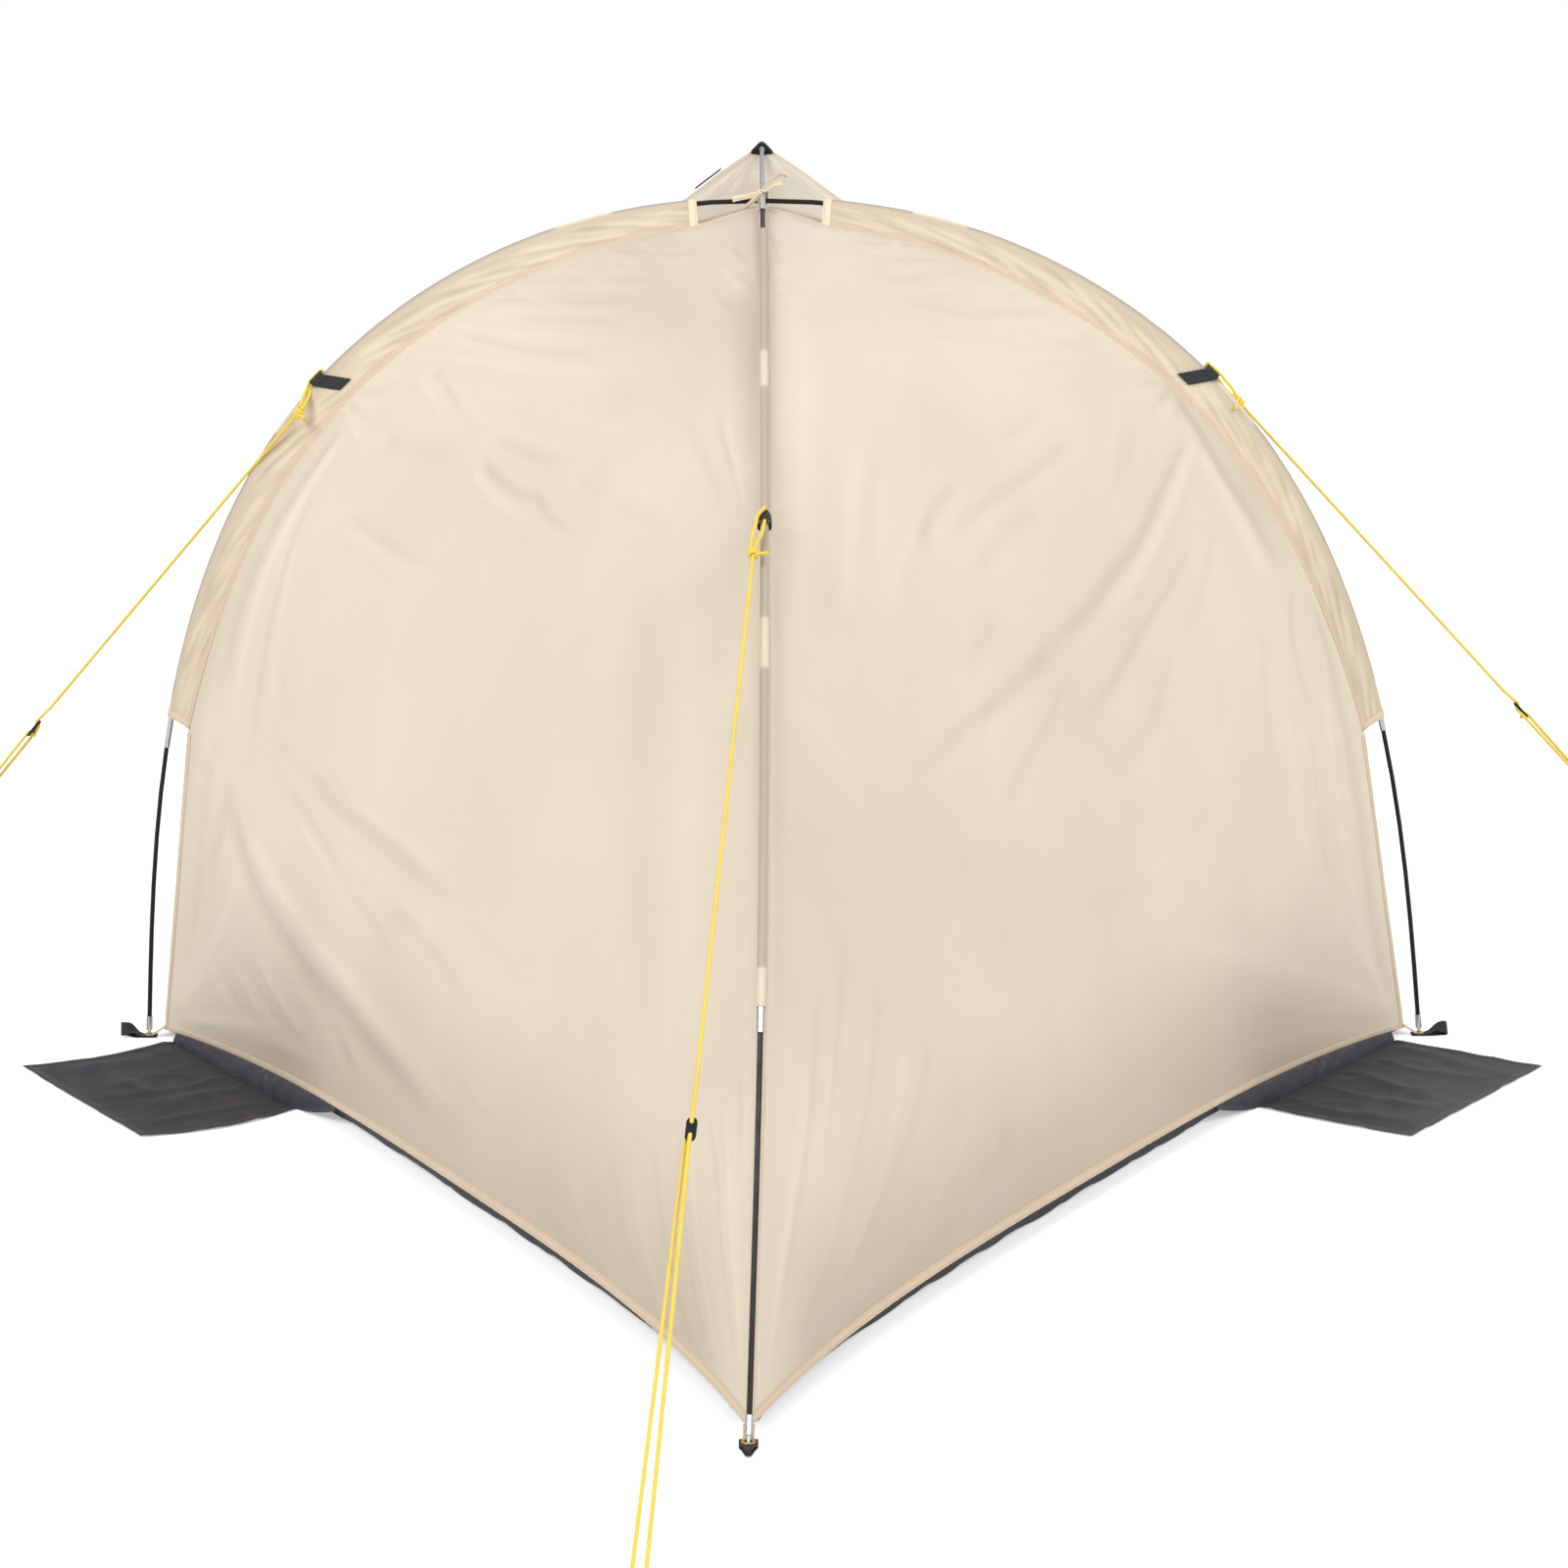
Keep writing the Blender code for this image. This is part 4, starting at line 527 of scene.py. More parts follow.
# Fans of fine creases: first and last start, first and last end, how many, half width, height, seed
LEFT_FANS = [
    ((0.99, 0.86), (0.99, 0.975), (0.35, 0.80), (0.30, 0.93), 8, 0.0080, 0.0024, 20),
    ((0.99, 0.62), (0.99, 0.88), (0.52, 0.64), (0.48, 0.84), 11, 0.0095, 0.0023, 19),
    ((0.99, 0.76), (0.99, 0.985), (0.20, 0.80), (0.10, 0.93), 9, 0.0070, 0.0008, 3),
    ((0.012, 0.80), (0.012, 0.97), (0.16, 0.85), (0.30, 0.985), 6, 0.0060, 0.0010, 5),
    ((0.012, 0.575), (0.012, 0.635), (0.13, 0.600), (0.17, 0.72), 6, 0.0055, 0.0010, 7),
    ((0.986, 0.40), (0.986, 0.74), (0.94, 0.36), (0.92, 0.72), 16, 0.0060, 0.0009, 11),
    ((0.986, 0.010), (0.990, 0.020), (0.62, 0.012), (0.955, 0.23), 6, 0.0120, 0.0012, 15),
    ((0.012, 0.20), (0.012, 0.56), (0.07, 0.17), (0.09, 0.53), 12, 0.0060, 0.0010, 17),
]
RIGHT_FANS = [
    ((0.99, 0.86), (0.99, 0.970), (0.40, 0.82), (0.35, 0.93), 7, 0.0080, 0.0022, 40),
    ((0.99, 0.66), (0.99, 0.90), (0.56, 0.68), (0.52, 0.86), 10, 0.0095, 0.0021, 39),
    ((0.99, 0.76), (0.99, 0.985), (0.22, 0.80), (0.12, 0.93), 9, 0.0070, 0.0008, 23),
    ((0.012, 0.78), (0.012, 0.97), (0.16, 0.83), (0.30, 0.985), 6, 0.0060, 0.0010, 25),
    ((0.012, 0.575), (0.012, 0.635), (0.13, 0.55), (0.15, 0.66), 5, 0.0055, 0.0010, 27),
    ((0.986, 0.30), (0.986, 0.74), (0.94, 0.25), (0.92, 0.70), 16, 0.0060, 0.0009, 31),
    ((0.986, 0.010), (0.990, 0.020), (0.62, 0.012), (0.955, 0.23), 6, 0.0120, 0.0012, 35),
    ((0.012, 0.20), (0.012, 0.56), (0.07, 0.17), (0.09, 0.53), 12, 0.0060, 0.0010, 37),
]
WALL_FOLDS = {-1: LEFT_FOLDS, 1: RIGHT_FOLDS}
WALL_FANS = {-1: LEFT_FANS, 1: RIGHT_FANS}
BROW_FANS = (
    ((0.50, 0.93), (0.50, 0.97), (0.12, 0.25), (0.88, 0.25), 17, 0.0085, 0.0042, 81),
    ((0.04, 0.85), (0.05, 0.95), (0.30, 0.20), (0.34, 0.85), 6, 0.0080, 0.0022, 83),
    ((0.96, 0.85), (0.95, 0.95), (0.70, 0.20), (0.66, 0.85), 6, 0.0080, 0.0022, 85),
)
# How far each flap's front and rear edges bow towards the back, and its folds as the walls have them
FLAP_BOWS = {-1: (0.016, 0.028), 1: (0.005, 0.007)}
FLAP_FOLDS = {
    -1: (
        (200, 300, 60, 100, 20, 160, 450, 130, 950),
        (140, 260, 50, 300, 40, 360, 400, 460, 850),
        (120, 240, 50, 520, 20, 550, 500, 500, 970),
        (140, 300, 60, 700, 40, 660, 400, 720, 800),
        (120, 200, 45, 900, 30, 840, 450, 880, 950),
        (160, 200, 30, 30, 600, 300, 660, 600, 600),
    ),
    1: (
        (160, 300, 55, 80, 20, 120, 500, 220, 950),
        (140, 240, 50, 260, 30, 300, 500, 260, 920),
        (140, 280, 60, 450, 20, 500, 400, 620, 900),
        (120, 220, 45, 660, 30, 700, 500, 660, 960),
        (140, 240, 50, 860, 40, 900, 450, 840, 950),
        (160, 200, 30, 400, 700, 700, 620, 970, 680),
    ),
}
# The bow at the crossing of the poles: its loop round them, its tails, their widths and twists
TIE_LOOP = [
    (0.0, 0.0180), (-0.005, 0.0172), (-0.0084, 0.0135), (-0.0090, 0.0060), (-0.0082, -0.0010),
    (-0.005, -0.0058), (0.0, -0.0070), (0.005, -0.0058), (0.0082, -0.0010), (0.0090, 0.0060),
    (0.0084, 0.0135), (0.005, 0.0174),
]
TIE_TAILS = [
    [(-0.002, -0.0115, 0.0145), (-0.019, -0.0125, 0.0090), (-0.033, -0.012, 0.0064),
     (-0.049, -0.011, 0.0032)],
    [(-0.001, -0.0125, 0.0140), (-0.0126, -0.0140, 0.0034), (-0.0205, -0.0145, -0.0039),
     (-0.027, -0.0150, -0.0105)],
    [(0.002, -0.012, 0.0165), (0.010, -0.0125, 0.0290), (0.020, -0.012, 0.0375), (0.030, -0.0115, 0.0426),
     (0.040, -0.011, 0.0402)],
    [(0.002, -0.013, 0.0160), (0.013, -0.014, 0.0245), (0.0225, -0.0145, 0.0284), (0.032, -0.015, 0.0300)],
]
TIE_WIDTHS = (0.0098, 0.0090, 0.0070, 0.0098)
TIE_TWISTS = (0.35, -0.5, 0.9, -0.4)


# Settings that a user would change


def tint(name, description, default):
    return FloatVectorProperty(
        name=name, description=description, default=default, subtype="COLOR", size=3, min=0.0, max=1.0)


class BeachTentCloth(PropertyGroup):
    wall_colour: tint("Walls and brow", "Colour of the sand-coloured polyester", (0.765, 0.672, 0.535))
    band_colour: tint("Sleeves and tapes", "Colour of the sleeves and the hem tapes", (0.705, 0.565, 0.415))
    sheet_colour: tint("Groundsheet and flaps", "Colour of the dark coated cloth", (0.0245, 0.0254, 0.0325))
    gusset_colour: tint("Gussets", "Colour of the strips from the flaps to the walls", (0.038, 0.040, 0.052))
    thread_colour: tint("Thread", "Colour of the seams' thread", (0.56, 0.38, 0.25))
    fold_height: FloatProperty(
        name="Fold height", description="Multiplies the height of every fold in the walls",
        default=1.0, min=0.0, max=2.0, subtype="FACTOR")
    weave_pitch: FloatProperty(
        name="Weave pitch", description="Distance from thread to thread in the cloth",
        default=0.0007, min=0.0002, max=0.004, unit="LENGTH")


class BeachTentHardware(PropertyGroup):
    rod_colour: tint("Rods", "Colour of the fibreglass pole sections", (0.014, 0.014, 0.015))
    top_rod_colour: tint("Front rod", "Colour of the ridge pole's front section", (0.36, 0.37, 0.38))
    steel_colour: tint("Ferrules and tips", "Colour of the bare steel", (0.60, 0.61, 0.63))
    brass_colour: tint("Eyelets", "Colour of the brass eyelets", (0.72, 0.50, 0.20))
    webbing_colour: tint("Webbing", "Colour of the straps and tabs", (0.036, 0.037, 0.042))
    plastic_colour: tint("Runners and cap", "Colour of the moulded plastic", (0.012, 0.012, 0.013))


class BeachTentLines(PropertyGroup):
    line_colour: tint("Guy lines", "Colour of the braided line", (0.95, 0.70, 0.085))
    line_radius: FloatProperty(
        name="Line radius", description="Half the diameter of the guy lines",
        default=0.0027, min=0.0005, max=0.004, unit="LENGTH")
    braid_pitch: FloatProperty(
        name="Braid pitch", description="Length of one turn of the braid",
        default=0.006, min=0.002, max=0.02, unit="LENGTH")


class BeachTentStage(PropertyGroup):
    floor_colour: tint("Floor", "Colour of the studio floor", (0.92, 0.92, 0.92))
    key_power: FloatProperty(
        name="Key light", description="Strength of the soft key light in W/m2", default=1.9, min=0.0)
    sky_strength: FloatProperty(
        name="Surround", description="Brightness of the plain surround", default=0.35, min=0.0)
    shadow_lift: FloatProperty(
        name="Shadow lift", description="Glow of the floor in the camera's view, which lightens its shadows",
        default=0.40, min=0.0)


def cloth_set():
    return bpy.context.scene.beach_tent_cloth


def hardware_set():
    return bpy.context.scene.beach_tent_hardware


def lines_set():
    return bpy.context.scene.beach_tent_lines


def stage_set():
    return bpy.context.scene.beach_tent_stage


# Pole curves and seams, as the CAD source makes them


class PoleCurve:
    """A smooth curve through points, measured along its length."""

    def __init__(self, points):
        knots = np.array(points, dtype=float)
        steps = np.sqrt((np.diff(knots, axis=0) ** 2).sum(axis=1))
        at = np.concatenate([[0.0], np.cumsum(steps)])
        dense = np.linspace(0.0, at[-1], PATH_SAMPLES)
        self.points = np.stack([natural_spline(at, knots[:, k], dense) for k in range(3)], axis=1)
        runs = np.sqrt((np.diff(self.points, axis=0) ** 2).sum(axis=1))
        self.along = np.concatenate([[0.0], np.cumsum(runs)])
        self.length = float(self.along[-1])

    def at(self, distance):
        return Vector([float(np.interp(distance, self.along, self.points[:, k])) for k in range(3)])

    def tangent(self, distance):
        step = self.length / PATH_SAMPLES
        return (self.at(min(self.length, distance + step)) - self.at(max(0.0, distance - step))).normalized()


def natural_spline(at, values, wanted):
    count = len(at)
    gap = np.diff(at)
    matrix = np.eye(count)
    right = np.zeros(count)
    for k in range(1, count - 1):
        matrix[k, k - 1] = gap[k - 1]
        matrix[k, k] = 2 * (gap[k - 1] + gap[k])
        matrix[k, k + 1] = gap[k]
        right[k] = 6 * ((values[k + 1] - values[k]) / gap[k] - (values[k] - values[k - 1]) / gap[k - 1])
    bend = np.linalg.solve(matrix, right)
    where = np.clip(np.searchsorted(at, wanted) - 1, 0, count - 2)
    left = wanted - at[where]
    rest = at[where + 1] - wanted
    span = gap[where]
    curve = (bend[where] * rest ** 3 + bend[where + 1] * left ** 3) / (6 * span)
    curve += (values[where] / span - bend[where] * span / 6) * rest
    curve += (values[where + 1] / span - bend[where + 1] * span / 6) * left
    return curve


def arch_curve():
    half = ARCH_HALF_POINTS
    flat = [(-x, z) for x, z in half] + [(0.0, ARCH_TOP_HEIGHT)] + [(x, z) for x, z in reversed(half)]
    return PoleCurve([(x + ARCH_SKEW * z / ARCH_TOP_HEIGHT, ARCH_LEAN_SLOPE * z, z) for x, z in flat])


ARCH = arch_curve()
RIDGE = PoleCurve(RIDGE_POINTS)
ARCH_NORMAL = Vector((0.0, 1.0, -ARCH_LEAN_SLOPE)).normalized()
ARCH_CROSSING = float(np.interp(ARCH_SKEW, ARCH.points[:, 0], ARCH.along))
RIDGE_CROSSING = float(np.interp(RIDGE_POINTS[-2][1], RIDGE.points[:, 1], RIDGE.along))
RIDGE_WALL_TOP = RIDGE_CROSSING - BAND_WIDTH / 3
RIDGE_SLEEVE_TOP = RIDGE_CROSSING - RIDGE_SLEEVE_TOP_GAP


def half_arch(side):
    return ARCH_CROSSING if side < 0 else ARCH.length - ARCH_CROSSING


def from_foot(side, distance):
    return distance if side < 0 else ARCH.length - distance


def arch_out(distance):
    return ARCH_NORMAL.cross(ARCH.tangent(distance)).normalized() * -1.0


def ridge_out(distance):
    return Vector((1.0, 0.0, 0.0)).cross(RIDGE.tangent(distance)).normalized()


def ridge_across(distance):
    return RIDGE.tangent(distance).cross(ridge_out(distance)).normalized()


def seam_share(distance):
    side = -1 if distance < ARCH_CROSSING else 1
    up = from_foot(side, distance)
    return max(0.0, min(1.0, (up - ARCH_SLEEVE_LOW) / (half_arch(side) - ARCH_SLEEVE_LOW)))


def band_direction(distance):
    """From the arch rod towards the seam: partly inwards, partly to the back."""
    inward = BAND_INWARD_SHARE + BAND_INWARD_SWELL_SHARE * math.sin(math.pi * seam_share(distance))
    backward = math.sqrt(1 - inward ** 2)
    return (arch_out(distance) * -inward - ARCH_NORMAL * backward).normalized()


def band_side(distance):
    return ARCH.tangent(distance).cross(band_direction(distance)).normalized()


def band_share(distance):
    """The band's width as a share of its full width: it narrows towards the crossing of the poles."""
    gap = abs(distance - ARCH_CROSSING)
    near = 1 - smooth_step((gap - 0.08) / 0.50)
    last = 1 - smooth_step(gap / 0.11)
    return float(1 - 0.18 * near - 0.49 * last)


def seam_point(distance, extra=0.0):
    return ARCH.at(distance) + band_direction(distance) * (BAND_WIDTH * band_share(distance) + extra)


def seam_distance(side, row):
    """How far up from the foot the wall's row meets the sleeve's seam."""
    top = half_arch(side) - WALL_TOP_HALF_WIDTH
    return ARCH_SLEEVE_LOW + (top - ARCH_SLEEVE_LOW) * row / (WALL_SEAM_ROWS - 1)


def ridge_seam(distance):
    depth = RIDGE_SEAM_DEPTH
    if distance > RIDGE_SLEEVE_TOP:
        share = (distance - RIDGE_SLEEVE_TOP) / (RIDGE_WALL_TOP - RIDGE_SLEEVE_TOP)
        depth += (CROSSING_SEAM_DEPTH - RIDGE_SEAM_DEPTH) * share ** 3
    return RIDGE.at(distance) - ridge_out(distance) * depth


def wall_corner(side):
    return Vector((side * (FOOT_HALF_SPAN - WALL_CORNER_INSET), 0.0, WALL_CORNER_HEIGHT))


def hem_point(side, share, outset=0.0):
    """A point of the hem: share 0 at the arch foot, 1 at the back foot."""
    start = wall_corner(side)
    line = ridge_seam(WALL_FOOT_SETBACK) - start
    inward = Vector((-line.y, line.x, 0.0)).normalized()
    if inward.x * side > 0:
        inward = inward * -1.0
    slack = 1 - abs(2 * share - 1) ** HEM_SAG_POWER
    point = start + line * share + inward * (HEM_SAG * slack - outset)
    point.z += HEM_LIFT * slack
    return point


def wall_front(side, up):
    """The wall's front edge: free up to the sleeve's end, then along the sleeve's seam."""
    row = up * (WALL_LOW_ROWS + WALL_SEAM_ROWS - 1)
    if row >= WALL_LOW_ROWS:
        return seam_point(from_foot(side, seam_distance(side, row - WALL_LOW_ROWS)), SEAM_GAP)
    low = wall_corner(side)
    first = seam_point(from_foot(side, ARCH_SLEEVE_LOW), SEAM_GAP)
    return low + (first - low) * (row / WALL_LOW_ROWS)


def wall_ridge(side, up):
    at = WALL_FOOT_SETBACK + (RIDGE_WALL_TOP - WALL_FOOT_SETBACK) * up
    return ridge_seam(at) + Vector((side * RIDGE_SEAM_HALF_GAP, 0.0, 0.0))


# Meshes from grids of points


def grid_mesh(name, grid, uv=None, flip=False, fields=None, caps=False):
    """A smooth surface through a grid of points, with map coordinates in metres."""
    rows, columns = grid.shape[:2]
    index = np.arange(rows * columns).reshape(rows, columns)
    corners = [index[:-1, :-1], index[:-1, 1:], index[1:, 1:], index[1:, :-1]]
    if flip:
        corners = corners[::-1]
    faces = np.stack(corners, axis=-1).reshape(-1, 4).tolist()
    if caps:
        faces.append(index[0, :-1][::-1].tolist())
        faces.append(index[-1, :-1].tolist())
    mesh = bpy.data.meshes.new(name)
    mesh.from_pydata(grid.reshape(-1, 3).tolist(), [], faces)
    if uv is not None:
        layer = mesh.uv_layers.new(name="UVMap")
        order = np.empty(len(mesh.loops), dtype=int)
        mesh.loops.foreach_get("vertex_index", order)
        layer.data.foreach_set("uv", uv.reshape(-1, 2)[order].astype(np.float32).ravel())
    for label, values in (fields or {}).items():
        layer = mesh.attributes.new(label, "FLOAT", "POINT")
        layer.data.foreach_set("value", values.astype(np.float32).ravel())
    mesh.polygons.foreach_set("use_smooth", [True] * len(mesh.polygons))
    mesh.validate()
    item = bpy.data.objects.new(name, mesh)
    bpy.context.scene.collection.objects.link(item)
    return item


def place(item, finish, slot_name, body=BODY, stands_for=()):
    """Give a piece its finish, the record's slot, its body and the CAD nodes that it stands for."""
    item.data.materials.clear()
    item.data.materials.append(finish)
    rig.slot(item, slot_name)
    if body is not None:
        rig.ride(item, body)
    if stands_for:
        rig.replaces(item, *stands_for)
    return item


def array(points):
    return np.array([tuple(p) for p in points], dtype=float)


def triple(vector):
    return np.array(tuple(vector), dtype=float)


def grid_normals(grid, axis=None, sign=1):
    """The normals of a grid, turned if an axis is named so that they face its side of it."""
    along = np.gradient(grid, axis=0)
    across = np.gradient(grid, axis=1)
    normals = np.cross(across, along)
    normals = normals / np.maximum(np.linalg.norm(normals, axis=2, keepdims=True), 1e-12)
    return -normals if axis is not None and normals[..., axis].mean() * sign < 0 else normals


def metres_map(grid):
    """Map coordinates: distance across and along the cloth."""
    across = np.linalg.norm(np.diff(grid, axis=1), axis=2)
    along = np.linalg.norm(np.diff(grid, axis=0), axis=2)
    u = np.concatenate([np.zeros((grid.shape[0], 1)), np.cumsum(across, axis=1)], axis=1)
    v = np.concatenate([np.zeros((1, grid.shape[1])), np.cumsum(along, axis=0)], axis=0)
    return np.stack([u, v], axis=2)


def smooth_line(points, steps=8, closed=False):
    """Points along a Catmull-Rom curve through the given ones."""
    knots = array(points)
    if closed:
        knots = np.concatenate([knots[-1:], knots, knots[:2]])
    else:
        knots = np.concatenate([2 * knots[:1] - knots[1:2], knots, 2 * knots[-1:] - knots[-2:-1]])
    line = []
    for k in range(1, len(knots) - 2):
        p, q, r, s = knots[k - 1:k + 3]
        for t in np.arange(steps) / steps:
            line.append(0.5 * (2 * q + (r - p) * t + (2 * p - 5 * q + 4 * r - s) * t ** 2
                               + (3 * q - p - 3 * r + s) * t ** 3))
    line.append(knots[-2])
    return np.array(line)


def line_tangents(line):
    runs = np.gradient(line, axis=0)
    return runs / np.maximum(np.linalg.norm(runs, axis=1, keepdims=True), 1e-12)


def line_lengths(line):
    return np.concatenate([[0.0], np.cumsum(np.linalg.norm(np.diff(line, axis=0), axis=1))])


def turning_frames(line, first_side):
    """Sideways directions carried along a line without twist, and the directions square to them."""
    runs = line_tangents(line)
    side = triple(first_side)
    sides = []
    for run in runs:
        side = side - run * side.dot(run)
        side = side / np.linalg.norm(side)
        sides.append(side)
    sides = np.array(sides)
    return sides, np.cross(runs, sides)


def sweep(name, line, sides, ups, profile, caps=True):
    """A profile carried along a line; the profile's last point closes it."""
    outline = np.array(list(profile) + [profile[0]])
    grid = line[:, None] + sides[:, None] * outline[None, :, :1] + ups[:, None] * outline[None, :, 1:]
    around = line_lengths(outline)
    uv = np.stack(np.broadcast_arrays(around[None, :], line_lengths(line)[:, None]), axis=2)
    return grid_mesh(name, grid, uv, caps=caps)


def level_sweep(name, line, side, profile, flare=1.0, caps=True):
    """A profile carried along a line with one sideways direction all the way."""
    sides = np.tile(triple(side), (len(line), 1))
    return sweep(name, line, sides * flare, np.cross(line_tangents(line), sides), profile, caps)


def tape_profile(width, thickness, columns=6):
    """A flat tape's cross section with rounded edges."""
    flat = width * HALF - thickness * HALF
    points = [(flat - 2 * flat * k / columns, thickness * HALF) for k in range(columns + 1)]
    points += [(-flat - thickness * HALF, 0.0)]
    points += [(-flat + 2 * flat * k / columns, -thickness * HALF) for k in range(columns + 1)]
    return points + [(flat + thickness * HALF, 0.0)]


def round_profile(radius, sides=10):
    return [(radius * math.cos(2 * math.pi * k / sides), radius * math.sin(2 * math.pi * k / sides))
            for k in range(sides)]


def hem_tape(name, grid, edge, width, rise, span=(0.0, 1.0), steps=5, last_share=1.0):
    """Tape folded round one edge of a cloth, following its folds; it may narrow towards its last end."""
    cloth = {"first_row": grid, "last_row": grid[::-1],
             "first_column": grid.transpose(1, 0, 2), "last_column": grid[:, ::-1].transpose(1, 0, 2)}[edge]
    first, last = (int(round(s * (cloth.shape[1] - 1))) for s in span)
    cloth = cloth[:60, first:last + 1]
    normals = grid_normals(cloth)
    depth = np.concatenate(
        [np.zeros((1, cloth.shape[1])), np.cumsum(np.linalg.norm(np.diff(cloth, axis=0), axis=2), axis=0)])
    inside = np.linspace(width, 0.0, steps)
    columns = []
    for c in range(cloth.shape[1]):
        reach = inside * (1 - (1 - last_share) * float(smooth_step((c / cloth.shape[1] - 0.5) / 0.45)))
        spot = np.stack([np.interp(reach, depth[:, c], cloth[:, c, k]) for k in range(3)], axis=1)
        away = np.stack([np.interp(reach, depth[:, c], normals[:, c, k]) for k in range(3)], axis=1)
        out = spot[-1] - spot[-2]
        out = out / max(np.linalg.norm(out), 1e-9) * rise
        columns.append(np.concatenate([
            spot[:1], spot + away * rise, [spot[-1] + out * 1.3 + away[-1] * rise * 0.5],
            [spot[-1] + out * 1.3 - away[-1] * rise * 0.5], (spot - away * rise)[::-1], spot[:1]]))
    tape = np.array(columns)
    across = np.concatenate([[width + rise], inside, [0.0, 0.0], inside[::-1], [width + rise]])
    along = line_lengths(tape[:, steps])
    uv = np.stack(np.broadcast_arrays(across[None, :], along[:, None]), axis=2)
    return grid_mesh(name, tape, uv)


def sew_hem(name, grid, edge, width, rise, finish, slot_name="peach", body=BODY, **settings):
    """A hem tape with its finish, on its body."""
    place(hem_tape(name, grid, edge, width, rise, **settings), finish, slot_name, body)


# Folds in the cloth


def smooth_step(x):
    x = np.clip(x, 0.0, 1.0)
    return x * x * (3 - 2 * x)


def wall_base(side, rows, columns):
    """The wall without folds, set between its four edges as the CAD wall is."""
    ups = np.linspace(0.0, 1.0, rows)
    shares = np.linspace(0.0, 1.0, columns)
    edge = array([wall_front(side, u) for u in ups])
    ridge = array([wall_ridge(side, u) for u in ups])
    lift = Vector((side * RIDGE_SEAM_HALF_GAP, 0.0, 0.0))
    hem = array([hem_point(side, 1 - a) + lift * (1 - a) for a in shares])
    a = shares[None, :, None]
    u = ups[:, None, None]
    top = ridge[-1] + (edge[-1] - ridge[-1]) * a
    ruled = ridge[:, None] * (1 - a) + edge[:, None] * a
    lofted = hem[None] * (1 - u) + top * u
    low = ridge[0] * (1 - a) + edge[0] * a
    high = ridge[-1] * (1 - a) + edge[-1] * a
    return ruled + lofted - low * (1 - u) - high * u


def spot_on(grid, across, up):
    """The point of a grid at shares of its columns and rows."""
    r = np.clip(up, 0, 1) * (grid.shape[0] - 1)
    c = np.clip(across, 0, 1) * (grid.shape[1] - 1)
    i = min(int(r), grid.shape[0] - 2)
    j = min(int(c), grid.shape[1] - 2)
    low = grid[i, j] * (1 - (c - j)) + grid[i, j + 1] * (c - j)
    high = grid[i + 1, j] * (1 - (c - j)) + grid[i + 1, j + 1] * (c - j)
    return low * (1 - (r - i)) + high * (r - i)


def fold_height(points, line, width_start, width_end, height, lead=0.12, trail=0.3, trough=0.55):
    """A soft ridge with a shallow trough on either side, along a line near the points."""
    reach = 2.6 * max(width_start, width_end)
    near = np.all((points > line.min(axis=0) - reach) & (points < line.max(axis=0) + reach), axis=1)
    total = np.zeros(len(points))
    if not near.any():
        return total
    spots = points[near]
    starts = line[:-1]
    runs = np.diff(line, axis=0)
    length = (runs ** 2).sum(axis=1)
    t = np.einsum("nsk,sk->ns", spots[:, None] - starts[None], runs) / np.maximum(length, 1e-12)
    t = np.clip(t, 0.0, 1.0)
    gaps = np.linalg.norm(spots[:, None] - (starts[None] + runs[None] * t[:, :, None]), axis=2)
    best = gaps.argmin(axis=1)
    rows = np.arange(len(spots))
    share = (best + t[rows, best]) / len(runs)
    width = width_start + (width_end - width_start) * share
    x = gaps[rows, best] / width
    shape = (1 - trough * x ** 2) * np.exp(-x ** 2 / 1.1)
    grown = (width / max(width_start, width_end)) ** 0.7
    total[near] = height * shape * grown * smooth_step(share / lead) * smooth_step((1 - share) / trail)
    return total


def fan_lines(grid, start_one, start_two, end_one, end_two, count, seed):
    """Lines that run from one stretch of the cloth to another, each a little out of step."""
    dice = np.random.default_rng(seed)
    lines = []
    for k in range(count):
        t = (k + dice.uniform(0.15, 0.85)) / count
        start = np.array(start_one) * (1 - t) + np.array(start_two) * t
        end = np.array(end_one) * (1 - t) + np.array(end_two) * t
        reach = dice.uniform(0.45, 1.0)
        knots = []
        bow = dice.uniform(-0.03, 0.03)
        for s in (0.0, 0.33, 0.66, 1.0):
            spot = start + (end - start) * reach * s
            spot = spot + np.array([0.0, bow * math.sin(math.pi * s) * np.linalg.norm(end - start)])
            knots.append(spot_on(grid, spot[0], spot[1]))
        lines.append((smooth_line(knots, 3), dice.uniform(0.6, 1.3), dice.uniform(0.5, 1.25)))
    return lines


def add_folds(lift, points, grid, folds, **ends):
    """Adds a table's folds to the points' lifts."""
    for wide_start, wide_end, height, *spots in folds:
        line = smooth_line([spot_on(grid, a / 1000, u / 1000) for a, u in zip(spots[::2], spots[1::2])], 4)
        lift += fold_height(points, line, wide_start / 10000, wide_end / 10000, height / 10000, **ends)


def add_fans(lift, points, grid, fans, narrow, broad, **ends):
    """Adds fans of creases to the points' lifts; each crease widens from its narrow end to its broad one."""
    for *stretches, width, height, seed in fans:
        for line, wider, higher in fan_lines(grid, *stretches, seed):
            lift += fold_height(points, line, width * wider * narrow, width * wider * broad, height * higher,
                                **ends)


def drift(points, size, seed, stretch=(1.0, 1.0, 1.0)):
    """Smooth noise over points, about -1 to 1."""
    shift = Vector((seed * 7.31, seed * 3.17, seed * 1.93))
    scale = [s / size for s in stretch]
    return np.array([noise.noise(Vector((p[0] * scale[0], p[1] * scale[1], p[2] * scale[2])) + shift)
                     for p in points])


